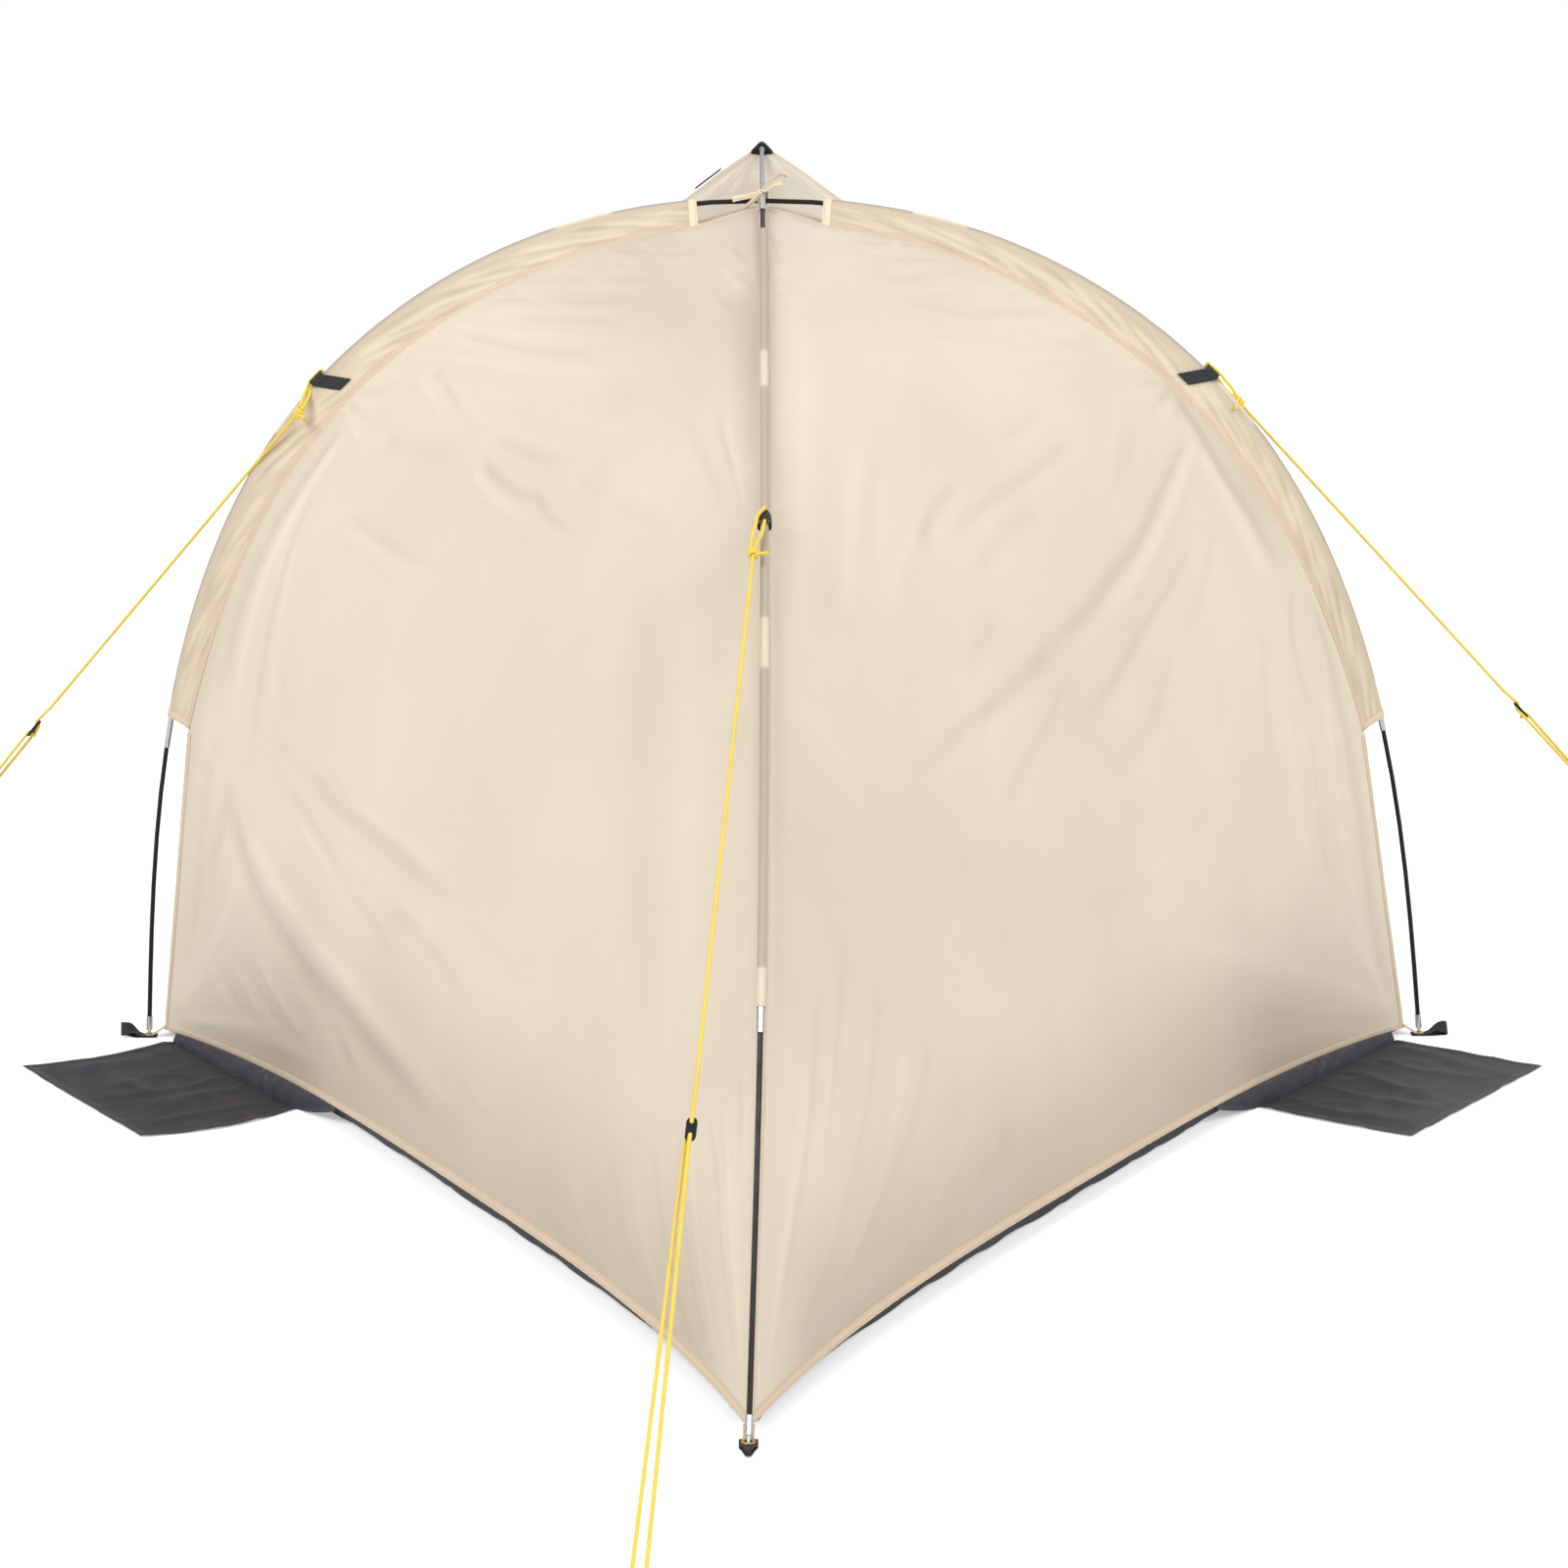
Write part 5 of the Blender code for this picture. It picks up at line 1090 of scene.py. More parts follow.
def puckers(distance, along, pitch, seed, reach):
    """Small ripples square to a seam that die out away from it."""
    dice = np.random.default_rng(seed)
    phase = dice.uniform(0, 6.28, 3)
    wave = np.sin(2 * math.pi * along / pitch + phase[0] + 1.3 * np.sin(along / 0.11 + phase[1]))
    wave *= 0.6 + 0.4 * np.sin(along / 0.047 + phase[2])
    return wave * np.exp(-(np.maximum(distance, 0.0) / reach) ** 1.5)


def wall_cloth(side):
    """The wall with its folds: long soft ones, fans of creases at the seams, and pleats at the corners."""
    rows, columns = WALL_GRID[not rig.quick()]
    grid = wall_base(side, rows, columns)
    normals = grid_normals(grid, 0, side)
    points = grid.reshape(-1, 3)
    flat_map = metres_map(grid)
    wide = flat_map[:, -1:, 0]
    tall = flat_map[-1:, :, 1]
    shares = np.linspace(0, 1, columns)[None, :]
    ups = np.linspace(0, 1, rows)[:, None]
    to_ridge = shares * wide
    to_front = (1 - shares) * wide
    to_hem = ups * tall
    to_top = (1 - ups) * tall
    soft = np.zeros(len(points))
    add_folds(soft, points, grid, WALL_FOLDS[side])
    fine = np.zeros(len(points))
    add_fans(fine, points, grid, WALL_FANS[side], 0.7, 1.3, lead=0.1, trail=0.6, trough=0.7)
    soft = soft.reshape(rows, columns)
    fine = fine.reshape(rows, columns)
    soft += 0.0022 * drift(points, 0.26, 2 + side).reshape(rows, columns)
    soft += 0.0010 * drift(points, 0.09, 5 + side, (1.0, 1.0, 0.45)).reshape(rows, columns)
    fine += 0.00030 * drift(points, 0.028, 8 + side, (1.0, 1.0, 0.5)).reshape(rows, columns)
    edge = np.minimum(np.minimum(to_ridge, to_front), to_top)
    soft *= smooth_step(edge / 0.018) * (0.22 + 0.78 * smooth_step(to_hem / 0.04))
    fine *= smooth_step(edge / 0.010) * (0.4 + 0.6 * smooth_step(to_hem / 0.03))
    along_v = flat_map[..., 1]
    along_u = flat_map[..., 0]
    seams = 0.00075 * puckers(to_ridge, along_v, 0.017, 40 + side, 0.020) * smooth_step(to_ridge / 0.003)
    sewn = smooth_step((ups - 0.25) / 0.02)
    seams = seams + 0.00085 * puckers(to_front, along_v, 0.021, 50 + side, 0.028) * sewn \
        * smooth_step(to_front / 0.003)
    seams = seams + 0.00055 * puckers(to_hem, along_u, 0.024, 60 + side, 0.030)
    lift = (soft + fine) * cloth_set().fold_height + seams
    # Painted shade, kept as the 'shade' mask: darker in the folds' hollows, lighter on their crests, darker towards
    # the hem, beside the front edge, over the top and beside the ridge
    shade = 0.14 - lift / 0.022
    shade = shade + 0.60 * (1 - smooth_step(to_hem / 0.30)) * smooth_step(to_ridge / 0.25) \
        * smooth_step(to_front / 0.45)
    dark, reach, low, low_run, high, high_run = FRONT_SHADES[side]
    shade = shade + dark * (1 - smooth_step(to_front / reach)) * smooth_step((ups - low) / low_run) \
        * (1 - smooth_step((ups - high) / high_run))
    shade = shade + TOP_SHADES[side] * smooth_step((ups - 0.70) / 0.10) * smooth_step(to_ridge / 0.06)
    shade = shade + RIDGE_SHADES[side] * (1 - smooth_step(to_ridge / 0.05)) * (ups if side > 0 else 1.0)
    return grid + normals * lift[..., None], flat_map, np.clip(shade, 0.0, 1.0)


# Nodes


def feed(tree, made, inputs):
    """Links or sets a node's inputs."""
    for key, value in inputs.items():
        if isinstance(value, bpy.types.NodeSocket):
            tree.links.new(value, made.inputs[key])
        else:
            made.inputs[key].default_value = value


def put(tree, kind, inputs=None, **settings):
    made = tree.nodes.new(kind)
    for key, value in settings.items():
        setattr(made, key, value)
    feed(tree, made, inputs or {})
    return made


def calc(tree, operation, *values):
    return put(tree, "ShaderNodeMath", dict(enumerate(values)), operation=operation).outputs[0]


def ease(tree, value, low, high, start=0.0, end=1.0):
    made = put(tree, "ShaderNodeMapRange",
               {"Value": value, "From Min": low, "From Max": high, "To Min": start, "To Max": end},
               interpolation_type="SMOOTHSTEP")
    return made.outputs["Result"]


def blend_colour(tree, factor, one, two, blend_type="MIX"):
    made = put(tree, "ShaderNodeMix", data_type="RGBA", blend_type=blend_type)
    one, two = (c if isinstance(c, bpy.types.NodeSocket) else (*c, 1.0) for c in (one, two))
    feed(tree, made, {0: factor, 6: one, 7: two})
    return made.outputs[2]


# Multiplies a colour by a grey value; the finishes use it for painted shade
def shaded_by(tree, colour, shade):
    grey = put(tree, "ShaderNodeCombineColor", dict.fromkeys(range(3), shade))
    return blend_colour(tree, 1.0, colour, grey.outputs[0], "MULTIPLY")


def new_group(name, inputs, outputs):
    """A node group with named sockets: its tree, its inputs and its outputs."""
    tree = bpy.data.node_groups.new(name, "ShaderNodeTree")
    for label, kind, default in inputs:
        socket = tree.interface.new_socket(label, in_out="INPUT", socket_type=kind)
        if default is not None:
            socket.default_value = default
    for label, kind in outputs:
        tree.interface.new_socket(label, in_out="OUTPUT", socket_type=kind)
    return tree, tree.nodes.new("NodeGroupInput").outputs, tree.nodes.new("NodeGroupOutput").inputs


def across_and_along(tree, ins):
    return put(tree, "ShaderNodeSeparateXYZ", {0: ins["Coordinates"]}).outputs


def group_weave():
    tree, ins, outs = new_group(
        "Plain Weave", [("Coordinates", "NodeSocketVector", None), ("Pitch", "NodeSocketFloat", 0.0007)],
        [("Height", "NodeSocketFloat"), ("Shade", "NodeSocketFloat")])
    parts = across_and_along(tree, ins)
    turns = calc(tree, "DIVIDE", math.pi, ins["Pitch"])
    warp = calc(tree, "SINE", calc(tree, "MULTIPLY", parts[0], turns))
    weft = calc(tree, "SINE", calc(tree, "MULTIPLY", parts[1], turns))
    both = calc(tree, "MULTIPLY", warp, weft)
    tree.links.new(calc(tree, "MULTIPLY_ADD", both, 0.5, 0.5), outs["Height"])
    # Painted shade: the weave's hollows darker than its crests
    tree.links.new(calc(tree, "MULTIPLY_ADD", both, 0.04, 0.98), outs["Shade"])
    return tree


def group_tone():
    tree, ins, outs = new_group(
        "Cloth Tone",
        [("Colour", "NodeSocketColor", None), ("Coordinates", "NodeSocketVector", None),
         ("Size", "NodeSocketFloat", 0.3), ("Amount", "NodeSocketFloat", 0.06)],
        [("Colour", "NodeSocketColor"), ("Variation", "NodeSocketFloat")])
    scale = calc(tree, "DIVIDE", 1.0, ins["Size"])
    cloud = put(tree, "ShaderNodeTexNoise",
                {"Vector": ins["Coordinates"], "Scale": scale, "Detail": 4.0, "Roughness": 0.55})
    centred = calc(tree, "SUBTRACT", cloud.outputs["Fac"], 0.5)
    value = calc(tree, "MULTIPLY_ADD", calc(tree, "MULTIPLY", centred, 2.0), ins["Amount"], 1.0)
    made = put(tree, "ShaderNodeHueSaturation", {"Color": ins["Colour"], "Value": value})
    tree.links.new(made.outputs["Color"], outs["Colour"])
    tree.links.new(cloud.outputs["Fac"], outs["Variation"])
    return tree


def group_stitch():
    tree, ins, outs = new_group(
        "Stitch Line",
        [("Coordinates", "NodeSocketVector", None), ("Place", "NodeSocketFloat", 0.004),
         ("Length", "NodeSocketFloat", 0.0035), ("Width", "NodeSocketFloat", 0.0009)],
        [("Mask", "NodeSocketFloat"), ("Groove", "NodeSocketFloat")])
    parts = across_and_along(tree, ins)
    gap = calc(tree, "ABSOLUTE", calc(tree, "SUBTRACT", parts[0], ins["Place"]))
    away = calc(tree, "DIVIDE", gap, ins["Width"])
    line = ease(tree, away, 0.45, 0.75, 1.0, 0.0)
    turns = calc(tree, "DIVIDE", calc(tree, "MULTIPLY", parts[1], 2 * math.pi), ins["Length"])
    dash = ease(tree, calc(tree, "SINE", turns), -0.75, -0.35)
    tree.links.new(calc(tree, "MULTIPLY", line, dash), outs["Mask"])
    tree.links.new(ease(tree, away, 0.4, 2.2, 0.0, 1.0), outs["Groove"])
    return tree


def group_webbing():
    tree, ins, outs = new_group(
        "Webbing Ribs",
        [("Coordinates", "NodeSocketVector", None), ("Rib", "NodeSocketFloat", 0.0022)],
        [("Height", "NodeSocketFloat"), ("Shade", "NodeSocketFloat")])
    parts = across_and_along(tree, ins)
    across = calc(tree, "DIVIDE", parts[0], ins["Rib"])
    rib = calc(tree, "ABSOLUTE", calc(tree, "SINE", calc(tree, "MULTIPLY", across, math.pi)))
    fold = calc(tree, "PINGPONG", across, 1.0)
    along = calc(tree, "DIVIDE", parts[1], ins["Rib"])
    twill = calc(tree, "SINE", calc(tree, "MULTIPLY", calc(tree, "ADD", along, fold), 4 * math.pi))
    height = calc(tree, "ADD", calc(tree, "MULTIPLY", rib, 0.6), calc(tree, "MULTIPLY", twill, 0.25))
    tree.links.new(height, outs["Height"])
    # Painted shade: darker in the grooves between the ribs
    tree.links.new(calc(tree, "MULTIPLY_ADD", height, 0.5, 0.7), outs["Shade"])
    return tree


def group_braid():
    tree, ins, outs = new_group(
        "Cord Braid",
        [("Coordinates", "NodeSocketVector", None), ("Pitch", "NodeSocketFloat", 0.006),
         ("Round", "NodeSocketFloat", 0.0094)],
        [("Height", "NodeSocketFloat"), ("Shade", "NodeSocketFloat")])
    parts = across_and_along(tree, ins)
    turn = calc(tree, "MULTIPLY", calc(tree, "DIVIDE", parts[0], ins["Round"]), 8 * math.pi)
    run = calc(tree, "MULTIPLY", calc(tree, "DIVIDE", parts[1], ins["Pitch"]), 4 * math.pi)
    one = calc(tree, "SINE", calc(tree, "ADD", turn, run))
    two = calc(tree, "SINE", calc(tree, "SUBTRACT", turn, run))
    height = calc(tree, "MAXIMUM", one, two)
    tree.links.new(height, outs["Height"])
    # Painted shade: darker in the braid's grooves
    tree.links.new(ease(tree, height, -0.6, 0.6, 0.72, 1.0), outs["Shade"])
    return tree


def group_scuff():
    tree, ins, outs = new_group(
        "Scuffs",
        [("Coordinates", "NodeSocketVector", None), ("Size", "NodeSocketFloat", 0.02),
         ("Amount", "NodeSocketFloat", 0.4)],
        [("Mask", "NodeSocketFloat"), ("Grain", "NodeSocketFloat")])
    scale = calc(tree, "DIVIDE", 1.0, ins["Size"])
    cloud = put(tree, "ShaderNodeTexNoise",
                {"Vector": ins["Coordinates"], "Scale": scale, "Detail": 6.0, "Roughness": 0.7})
    mask = ease(tree, cloud.outputs["Fac"], 0.52, 0.72)
    tree.links.new(calc(tree, "MULTIPLY", mask, ins["Amount"]), outs["Mask"])
    tree.links.new(cloud.outputs["Fac"], outs["Grain"])
    return tree


GROUP_MAKERS = {
    "Plain Weave": group_weave, "Cloth Tone": group_tone, "Stitch Line": group_stitch,
    "Webbing Ribs": group_webbing, "Cord Braid": group_braid, "Scuffs": group_scuff,
}


def use_group(tree, name, inputs):
    made = tree.nodes.new("ShaderNodeGroup")
    made.node_tree = bpy.data.node_groups.get(name) or GROUP_MAKERS[name]()
    feed(tree, made, inputs)
    return made.outputs


# Finishes


def once(maker):
    """Makes a finish once and gives the same one each time after that."""
    def finish(name, *values, **settings):
        return bpy.data.materials.get(name) or maker(name, *values, **settings)
    return finish


def blank(name):
    """A new material, its node tree and its shader."""
    made = bpy.data.materials.new(name)
    made.use_nodes = True
    return made, made.node_tree, made.node_tree.nodes["Principled BSDF"]


def bump(tree, shader, height, strength, distance):
    made = put(tree, "ShaderNodeBump", {"Height": height, "Strength": strength, "Distance": distance})
    tree.links.new(made.outputs["Normal"], shader.inputs["Normal"])


@once
def cloth_finish(name, colour, rough, sheen, tone, thread, stitches=(), pole=False, gloss=0.4,
                 crinkle=0.35, shaded=False):
    """Woven polyester: weave, uneven tone, faint crinkles, thread lines where it is sewn, and painted shade."""
    made, tree, shader = blank(name)
    where = put(tree, "ShaderNodeUVMap", uv_map="UVMap").outputs[0]
    body = put(tree, "ShaderNodeTexCoord").outputs["Object"]
    weave = use_group(tree, "Plain Weave", {"Coordinates": where, "Pitch": cloth_set().weave_pitch})
    toned = use_group(tree, "Cloth Tone",
                      {"Colour": (*colour, 1.0), "Coordinates": body, "Size": 0.35, "Amount": tone})
    shade = toned["Colour"]
    height = calc(tree, "MULTIPLY", weave["Height"], 0.30)
    small = put(tree, "ShaderNodeTexNoise", {"Vector": body, "Scale": 55.0, "Detail": 5.0, "Roughness": 0.6})
    height = calc(tree, "MULTIPLY_ADD", small.outputs["Fac"], crinkle * 4.0, height)
    # Painted shade: the 'shade' mask darkens the colour where the piece is shaded
    if shaded:
        mask = put(tree, "ShaderNodeAttribute", attribute_name="shade").outputs["Fac"]
        shade = blend_colour(tree, mask, shade, tuple(c * k for c, k in zip(colour, (0.60, 0.575, 0.55))))
    # Painted shadow of the rod within the sleeve, and painted highlight where a ferrule shows through
    if pole:
        mask = put(tree, "ShaderNodeAttribute", attribute_name="pole").outputs["Fac"]
        bright = put(tree, "ShaderNodeAttribute", attribute_name="ferrule").outputs["Fac"]
        shade = blend_colour(tree, mask, shade, (0.40, 0.36, 0.305))
        shade = blend_colour(tree, bright, shade, (0.74, 0.67, 0.52))
    for place_at in stitches:
        sewn = use_group(tree, "Stitch Line", {"Coordinates": where, "Place": place_at})
        shade = blend_colour(tree, sewn["Mask"], shade, thread)
        height = calc(tree, "MULTIPLY_ADD", sewn["Mask"], 1.2, height)
        height = calc(tree, "MULTIPLY_ADD", sewn["Groove"], 1.6, height)
    tree.links.new(shade, shader.inputs["Base Color"])
    uneven = ease(tree, toned["Variation"], 0.3, 0.7, rough - 0.05, rough + 0.06)
    tree.links.new(uneven, shader.inputs["Roughness"])
    shader.inputs["Sheen Weight"].default_value = sheen
    shader.inputs["Sheen Roughness"].default_value = 0.45
    shader.inputs["Specular IOR Level"].default_value = gloss
    bump(tree, shader, height, 0.55, 0.00045)
    return made


@once
def webbing_finish(name, colour, rib=0.0022, rough=0.72):
    made, tree, shader = blank(name)
    where = put(tree, "ShaderNodeUVMap", uv_map="UVMap").outputs[0]
    ribs = use_group(tree, "Webbing Ribs", {"Coordinates": where, "Rib": rib})
    toned = use_group(tree, "Cloth Tone",
                      {"Colour": (*colour, 1.0), "Coordinates": where, "Size": 0.02, "Amount": 0.2})
    # The ribs' painted shade darkens the webbing's grooves
    tree.links.new(shaded_by(tree, toned["Colour"], ribs["Shade"]), shader.inputs["Base Color"])
    shader.inputs["Roughness"].default_value = rough
    shader.inputs["Sheen Weight"].default_value = 0.06
    shader.inputs["Specular IOR Level"].default_value = 0.25
    bump(tree, shader, ribs["Height"], 0.8, 0.0004)
    return made


@once
def cord_finish(name):
    made, tree, shader = blank(name)
    lines = lines_set()
    where = put(tree, "ShaderNodeUVMap", uv_map="UVMap").outputs[0]
    braid = use_group(tree, "Cord Braid", {"Coordinates": where, "Pitch": lines.braid_pitch,
                                           "Round": 2 * math.pi * lines.line_radius})
    toned = use_group(tree, "Cloth Tone", {"Colour": (*lines.line_colour, 1.0), "Coordinates": where,
                                           "Size": 0.05, "Amount": 0.12})
    # The braid's painted shade darkens the cord's grooves
    tree.links.new(shaded_by(tree, toned["Colour"], braid["Shade"]), shader.inputs["Base Color"])
    shader.inputs["Roughness"].default_value = 0.6
    shader.inputs["Sheen Weight"].default_value = 0.15
    bump(tree, shader, braid["Height"], 0.7, 0.0003)
    return made


@once
def hard_finish(name, colour, rough, metal, scuff_colour, scuff=0.3, size=0.02, coat=0.0, stretch=None,
                gloss=0.5):
    """Metal, fibreglass or plastic with fine scuffs and uneven gloss."""
    made, tree, shader = blank(name)
    body = put(tree, "ShaderNodeTexCoord").outputs["Object"]
    if stretch:
        body = put(tree, "ShaderNodeVectorMath", {0: body, 1: stretch}, operation="MULTIPLY").outputs[0]
    scuffs = use_group(tree, "Scuffs", {"Coordinates": body, "Size": size, "Amount": scuff})
    shade = blend_colour(tree, scuffs["Mask"], colour, scuff_colour)
    tree.links.new(shade, shader.inputs["Base Color"])
    uneven = ease(tree, scuffs["Grain"], 0.3, 0.75, rough - 0.08, rough + 0.16)
    tree.links.new(uneven, shader.inputs["Roughness"])
    shader.inputs["Metallic"].default_value = metal
    shader.inputs["Coat Weight"].default_value = coat
    shader.inputs["Specular IOR Level"].default_value = gloss
    bump(tree, shader, scuffs["Grain"], 0.12, 0.0003)
    return made


# Cloths: the setting that colours each, a tint on it, and how it is woven, sewn, lit and given painted shade
CLOTHS = {
    "Sand polyester": ("wall_colour", None, dict(rough=0.46, sheen=0.10, tone=0.03, shaded=True)),
    "Brow polyester": ("wall_colour", None, dict(rough=0.50, sheen=0.10, tone=0.03, shaded=True)),
    "Sleeve cloth": ("band_colour", (1.0, 1.045, 1.07), dict(
        rough=0.55, sheen=0.10, tone=0.04, stitches=(0.0035, 0.0085), pole=True, shaded=True)),
    "Tie tape": ("band_colour", (1.16, 1.22, 1.24), dict(
        rough=0.62, sheen=0.12, tone=0.06, stitches=(0.0022,))),
    "Hem tape": ("band_colour", None, dict(rough=0.62, sheen=0.12, tone=0.06, stitches=(0.0028, 0.0115))),
    "Seam tape": ("band_colour", (0.91, 0.87, 0.87), dict(
        rough=0.62, sheen=0.10, tone=0.08, stitches=(0.0026, 0.0080))),
    "Dark coated cloth": ("sheet_colour", None, dict(
        rough=0.55, sheen=0.04, tone=0.16, gloss=0.32, crinkle=0.6)),
    "Dark hem": ("sheet_colour", None, dict(
        rough=0.55, sheen=0.05, tone=0.16, stitches=(0.003, 0.010), thread=(0.09, 0.09, 0.10))),
    "Gusset cloth": ("gusset_colour", None, dict(
        rough=0.36, sheen=0.05, tone=0.12, stitches=(0.004,), thread=(0.035, 0.036, 0.043),
        gloss=0.5, crinkle=0.5)),
}


def cloth(name):
    """The finish of one of the tent's cloths."""
    setting, tinted, looks = CLOTHS[name]
    colour = tuple(getattr(cloth_set(), setting))
    if tinted:
        colour = tuple(k * c for k, c in zip(tinted, colour))
    return cloth_finish(name, colour, **{"thread": tuple(cloth_set().thread_colour), **looks})


def strap_webbing():
    return webbing_finish("Strap webbing", tuple(hardware_set().webbing_colour))


# Guy lines


def guy_anchor(label):
    """Where a guy tab sits: its centre on the pole, its way out, across, and along the pole."""
    if label == "back":
        where = RIDGE.length * TAB_PLACES[label][0]
        return RIDGE.at(where), ridge_out(where), ridge_across(where), RIDGE.tangent(where)
    where = ARCH.length * TAB_PLACES[label][0]
    return ARCH.at(where), band_direction(where) * -1.0, band_side(where), ARCH.tangent(where)


def line_frame(start, end):
    along = (end - start).normalized()
    side = along.cross(UP).normalized()
    return along, side, side.cross(along).normalized()


def line_route(label):
    """The line's two stretches, its runner's centre, its direction and its far end."""
    hub, away, _, run = guy_anchor(label)
    _, spot_xy, share_down = TAB_PLACES[label]
    reach = CAD_TAB_REACHES[label]
    end = Vector((*spot_xy, LINE_END_HEIGHT))
    eye_reach = (CAD_SLEEVE_RADIUS + reach) * HALF
    reach_out = reach + TAB_THICKNESS + LINE_RADIUS + LINE_GAP - eye_reach
    eye = hub + away * eye_reach
    start = eye + away * (reach_out * HALF)
    along, side, lift = line_frame(start, end)
    down = run if run.dot(along) > 0 else run * -1.0
    centre = start + (end - start) * share_down
    knot = start + along * KNOT_DISTANCES[label] + Vector(KNOT_SHIFTS[label])
    shown = TAB_REACHES[label]
    tab_eye = hub + away * ((CAD_SLEEVE_RADIUS + shown) * HALF) + down * TAB_DROPS[label]
    tab_reach = (shown - CAD_SLEEVE_RADIUS) * HALF + TAB_THICKNESS + LINE_RADIUS + LINE_GAP
    upper = tab_knot(tab_eye, tab_reach, down, away, knot, along, side, lift)
    half = RUNNER_HOLE_SPACING * HALF
    pass_by = RUNNER_THICKNESS * HALF + LINE_RADIUS + LINE_GAP
    turned = pass_by * 0.9
    inside = pass_by * 0.4
    beside = END_KNOT_RADIUS + LINE_RADIUS + 2 * LINE_GAP
    ahead = half + RUNNER_WIDTH * HALF

    def spot(forward, up, across):
        return centre + along * forward + lift * up + side * across

    upper += [spot(-half - RUNNER_LENGTH, LINE_GAP, 0.0), spot(-ahead, pass_by, 0.0),
              spot(-half - LINE_RADIUS, turned, 0.0), spot(-half, inside, 0.0), spot(-half, -inside, 0.0)]
    lower = [spot(-half, -inside, 0.0), spot(-half + LINE_RADIUS, -turned, LINE_GAP),
             spot(0.0, -pass_by, beside * HALF), spot(half, -pass_by, beside), spot(ahead, -pass_by, beside)]
    far = (end - centre).length
    turning = far - STRAND_SPREAD
    for k in range(1, 5):
        t = k / 5
        lower.append(spot(ahead + (turning - ahead) * t, -pass_by * (1 - t),
                          beside + (STRAND_SPREAD - beside) * t))
    for k in range(9):
        turn = math.pi * k / 8
        lower.append(spot(turning + STRAND_SPREAD * math.sin(turn), 0.0, STRAND_SPREAD * math.cos(turn)))
    for k in range(4, 0, -1):
        t = k / 5
        lower.append(spot(ahead + (turning - ahead) * t, pass_by * (1 - t), -STRAND_SPREAD * t))
    tail = RUNNER_THICKNESS * HALF + 2 * LINE_GAP
    lower += [spot(ahead, pass_by, 0.0), spot(half + LINE_RADIUS, turned, 0.0), spot(half, inside, 0.0),
              spot(half, -inside, 0.0), spot(half, -tail, 0.0)]
    knot_spot = spot(half, -tail - LINE_GAP - END_KNOT_RADIUS, 0.0)
    return upper, lower, knot, centre, along, end, knot_spot, side


def tab_knot(eye, reach_out, down, away, knot, along, side, lift):
    """The line's tail, its turns round the standing strand and its loop through the webbing tab."""
    turn_radius = 2.05 * lines_set().line_radius
    at_back = abs(side.x) > 0.7
    spread = side if at_back else lift
    tail_way = spread * -0.8 + Vector((0.0, -0.9, 0.0)) - along * 0.3
    if not at_back:
        tail_way = Vector((-0.65 if eye.x > 0 else 0.65, -0.75, 0.12))
    tail_way = (tail_way - along * tail_way.dot(along) * HALF).normalized()
    points = []
    for k in range(4):
        points.append(knot + along * (KNOT_LENGTH - 0.001 * k)
                      + tail_way * (turn_radius + KNOT_TAIL * (1 - k / 4)))
    first = math.atan2(tail_way.dot(lift), tail_way.dot(side))
    steps = 20
    for k in range(steps + 1):
        turn = first + 2 * math.pi * KNOT_TURNS * k / steps
        points.append(knot + along * (KNOT_LENGTH * (1 - k / steps))
                      + side * (turn_radius * math.cos(turn)) + lift * (turn_radius * math.sin(turn)))
    half_tab = TAB_WIDTH * HALF * (BACK_TAB_SHARE if at_back else 1.0)
    radius = reach_out * HALF
    crown = eye + away * (reach_out + 0.001) + down * half_tab + side * (0.0095 if at_back else LINE_RADIUS)
    points.append(knot + (crown - knot) * 0.35 + spread * 0.0042)
    points.append(knot + (crown - knot) * 0.70 + spread * 0.0018)
    points.append(crown)
    for k in range(6):
        turn = math.pi * k / 5
        points.append(eye + away * (radius + radius * math.cos(turn))
                      - down * (half_tab * 0.9 + radius * math.sin(turn)))
    low = eye + down * half_tab
    points.append(low)
    points.append(low + (knot - low) * HALF - spread * 0.0030)
    points.append(knot - along * (2 * LINE_RADIUS))
    return points


def spaced_out(points, most=0.06):
    """The same line with points added along its long stretches, so that a curve keeps them straight."""
    line = [points[0]]
    for before, after in zip(points[:-1], points[1:]):
        gap = (after - before).length
        if gap > most:
            way = (after - before) / gap
            stops = [0.006, 0.02] + list(np.arange(most, gap - 0.03, most)) + [gap - 0.02, gap - 0.006]
            line += [before + way * float(s) for s in stops]
        line.append(after)
    return line


def cord_piece(name, points):
    """A braided line through points, and the centre line that it follows."""
    line = smooth_line(spaced_out(points), 4)
    sides, ups = turning_frames(line, (0.31, 0.52, 0.79))
    item = sweep(name, line, sides, ups, round_profile(lines_set().line_radius))
    return item, line


def trefoil(name, centre, along, side):
    """A small stopper knot: one turn of line tied over itself."""
    turns = np.linspace(0, 2 * math.pi, 73)
    size = END_KNOT_RADIUS * 0.30
    a = triple(along)
    b = triple(side)
    c = np.cross(a, b)
    x = np.sin(turns) + 2 * np.sin(2 * turns)
    y = np.cos(turns) - 2 * np.cos(2 * turns)
    z = -1.4 * np.sin(3 * turns)
    line = triple(centre) + size * (x[:, None] * b + y[:, None] * c + z[:, None] * a)
    sides, ups = turning_frames(line, tuple(a))
    return sweep(name, line, sides, ups, round_profile(END_KNOT_RADIUS * 0.40, 8), caps=False)


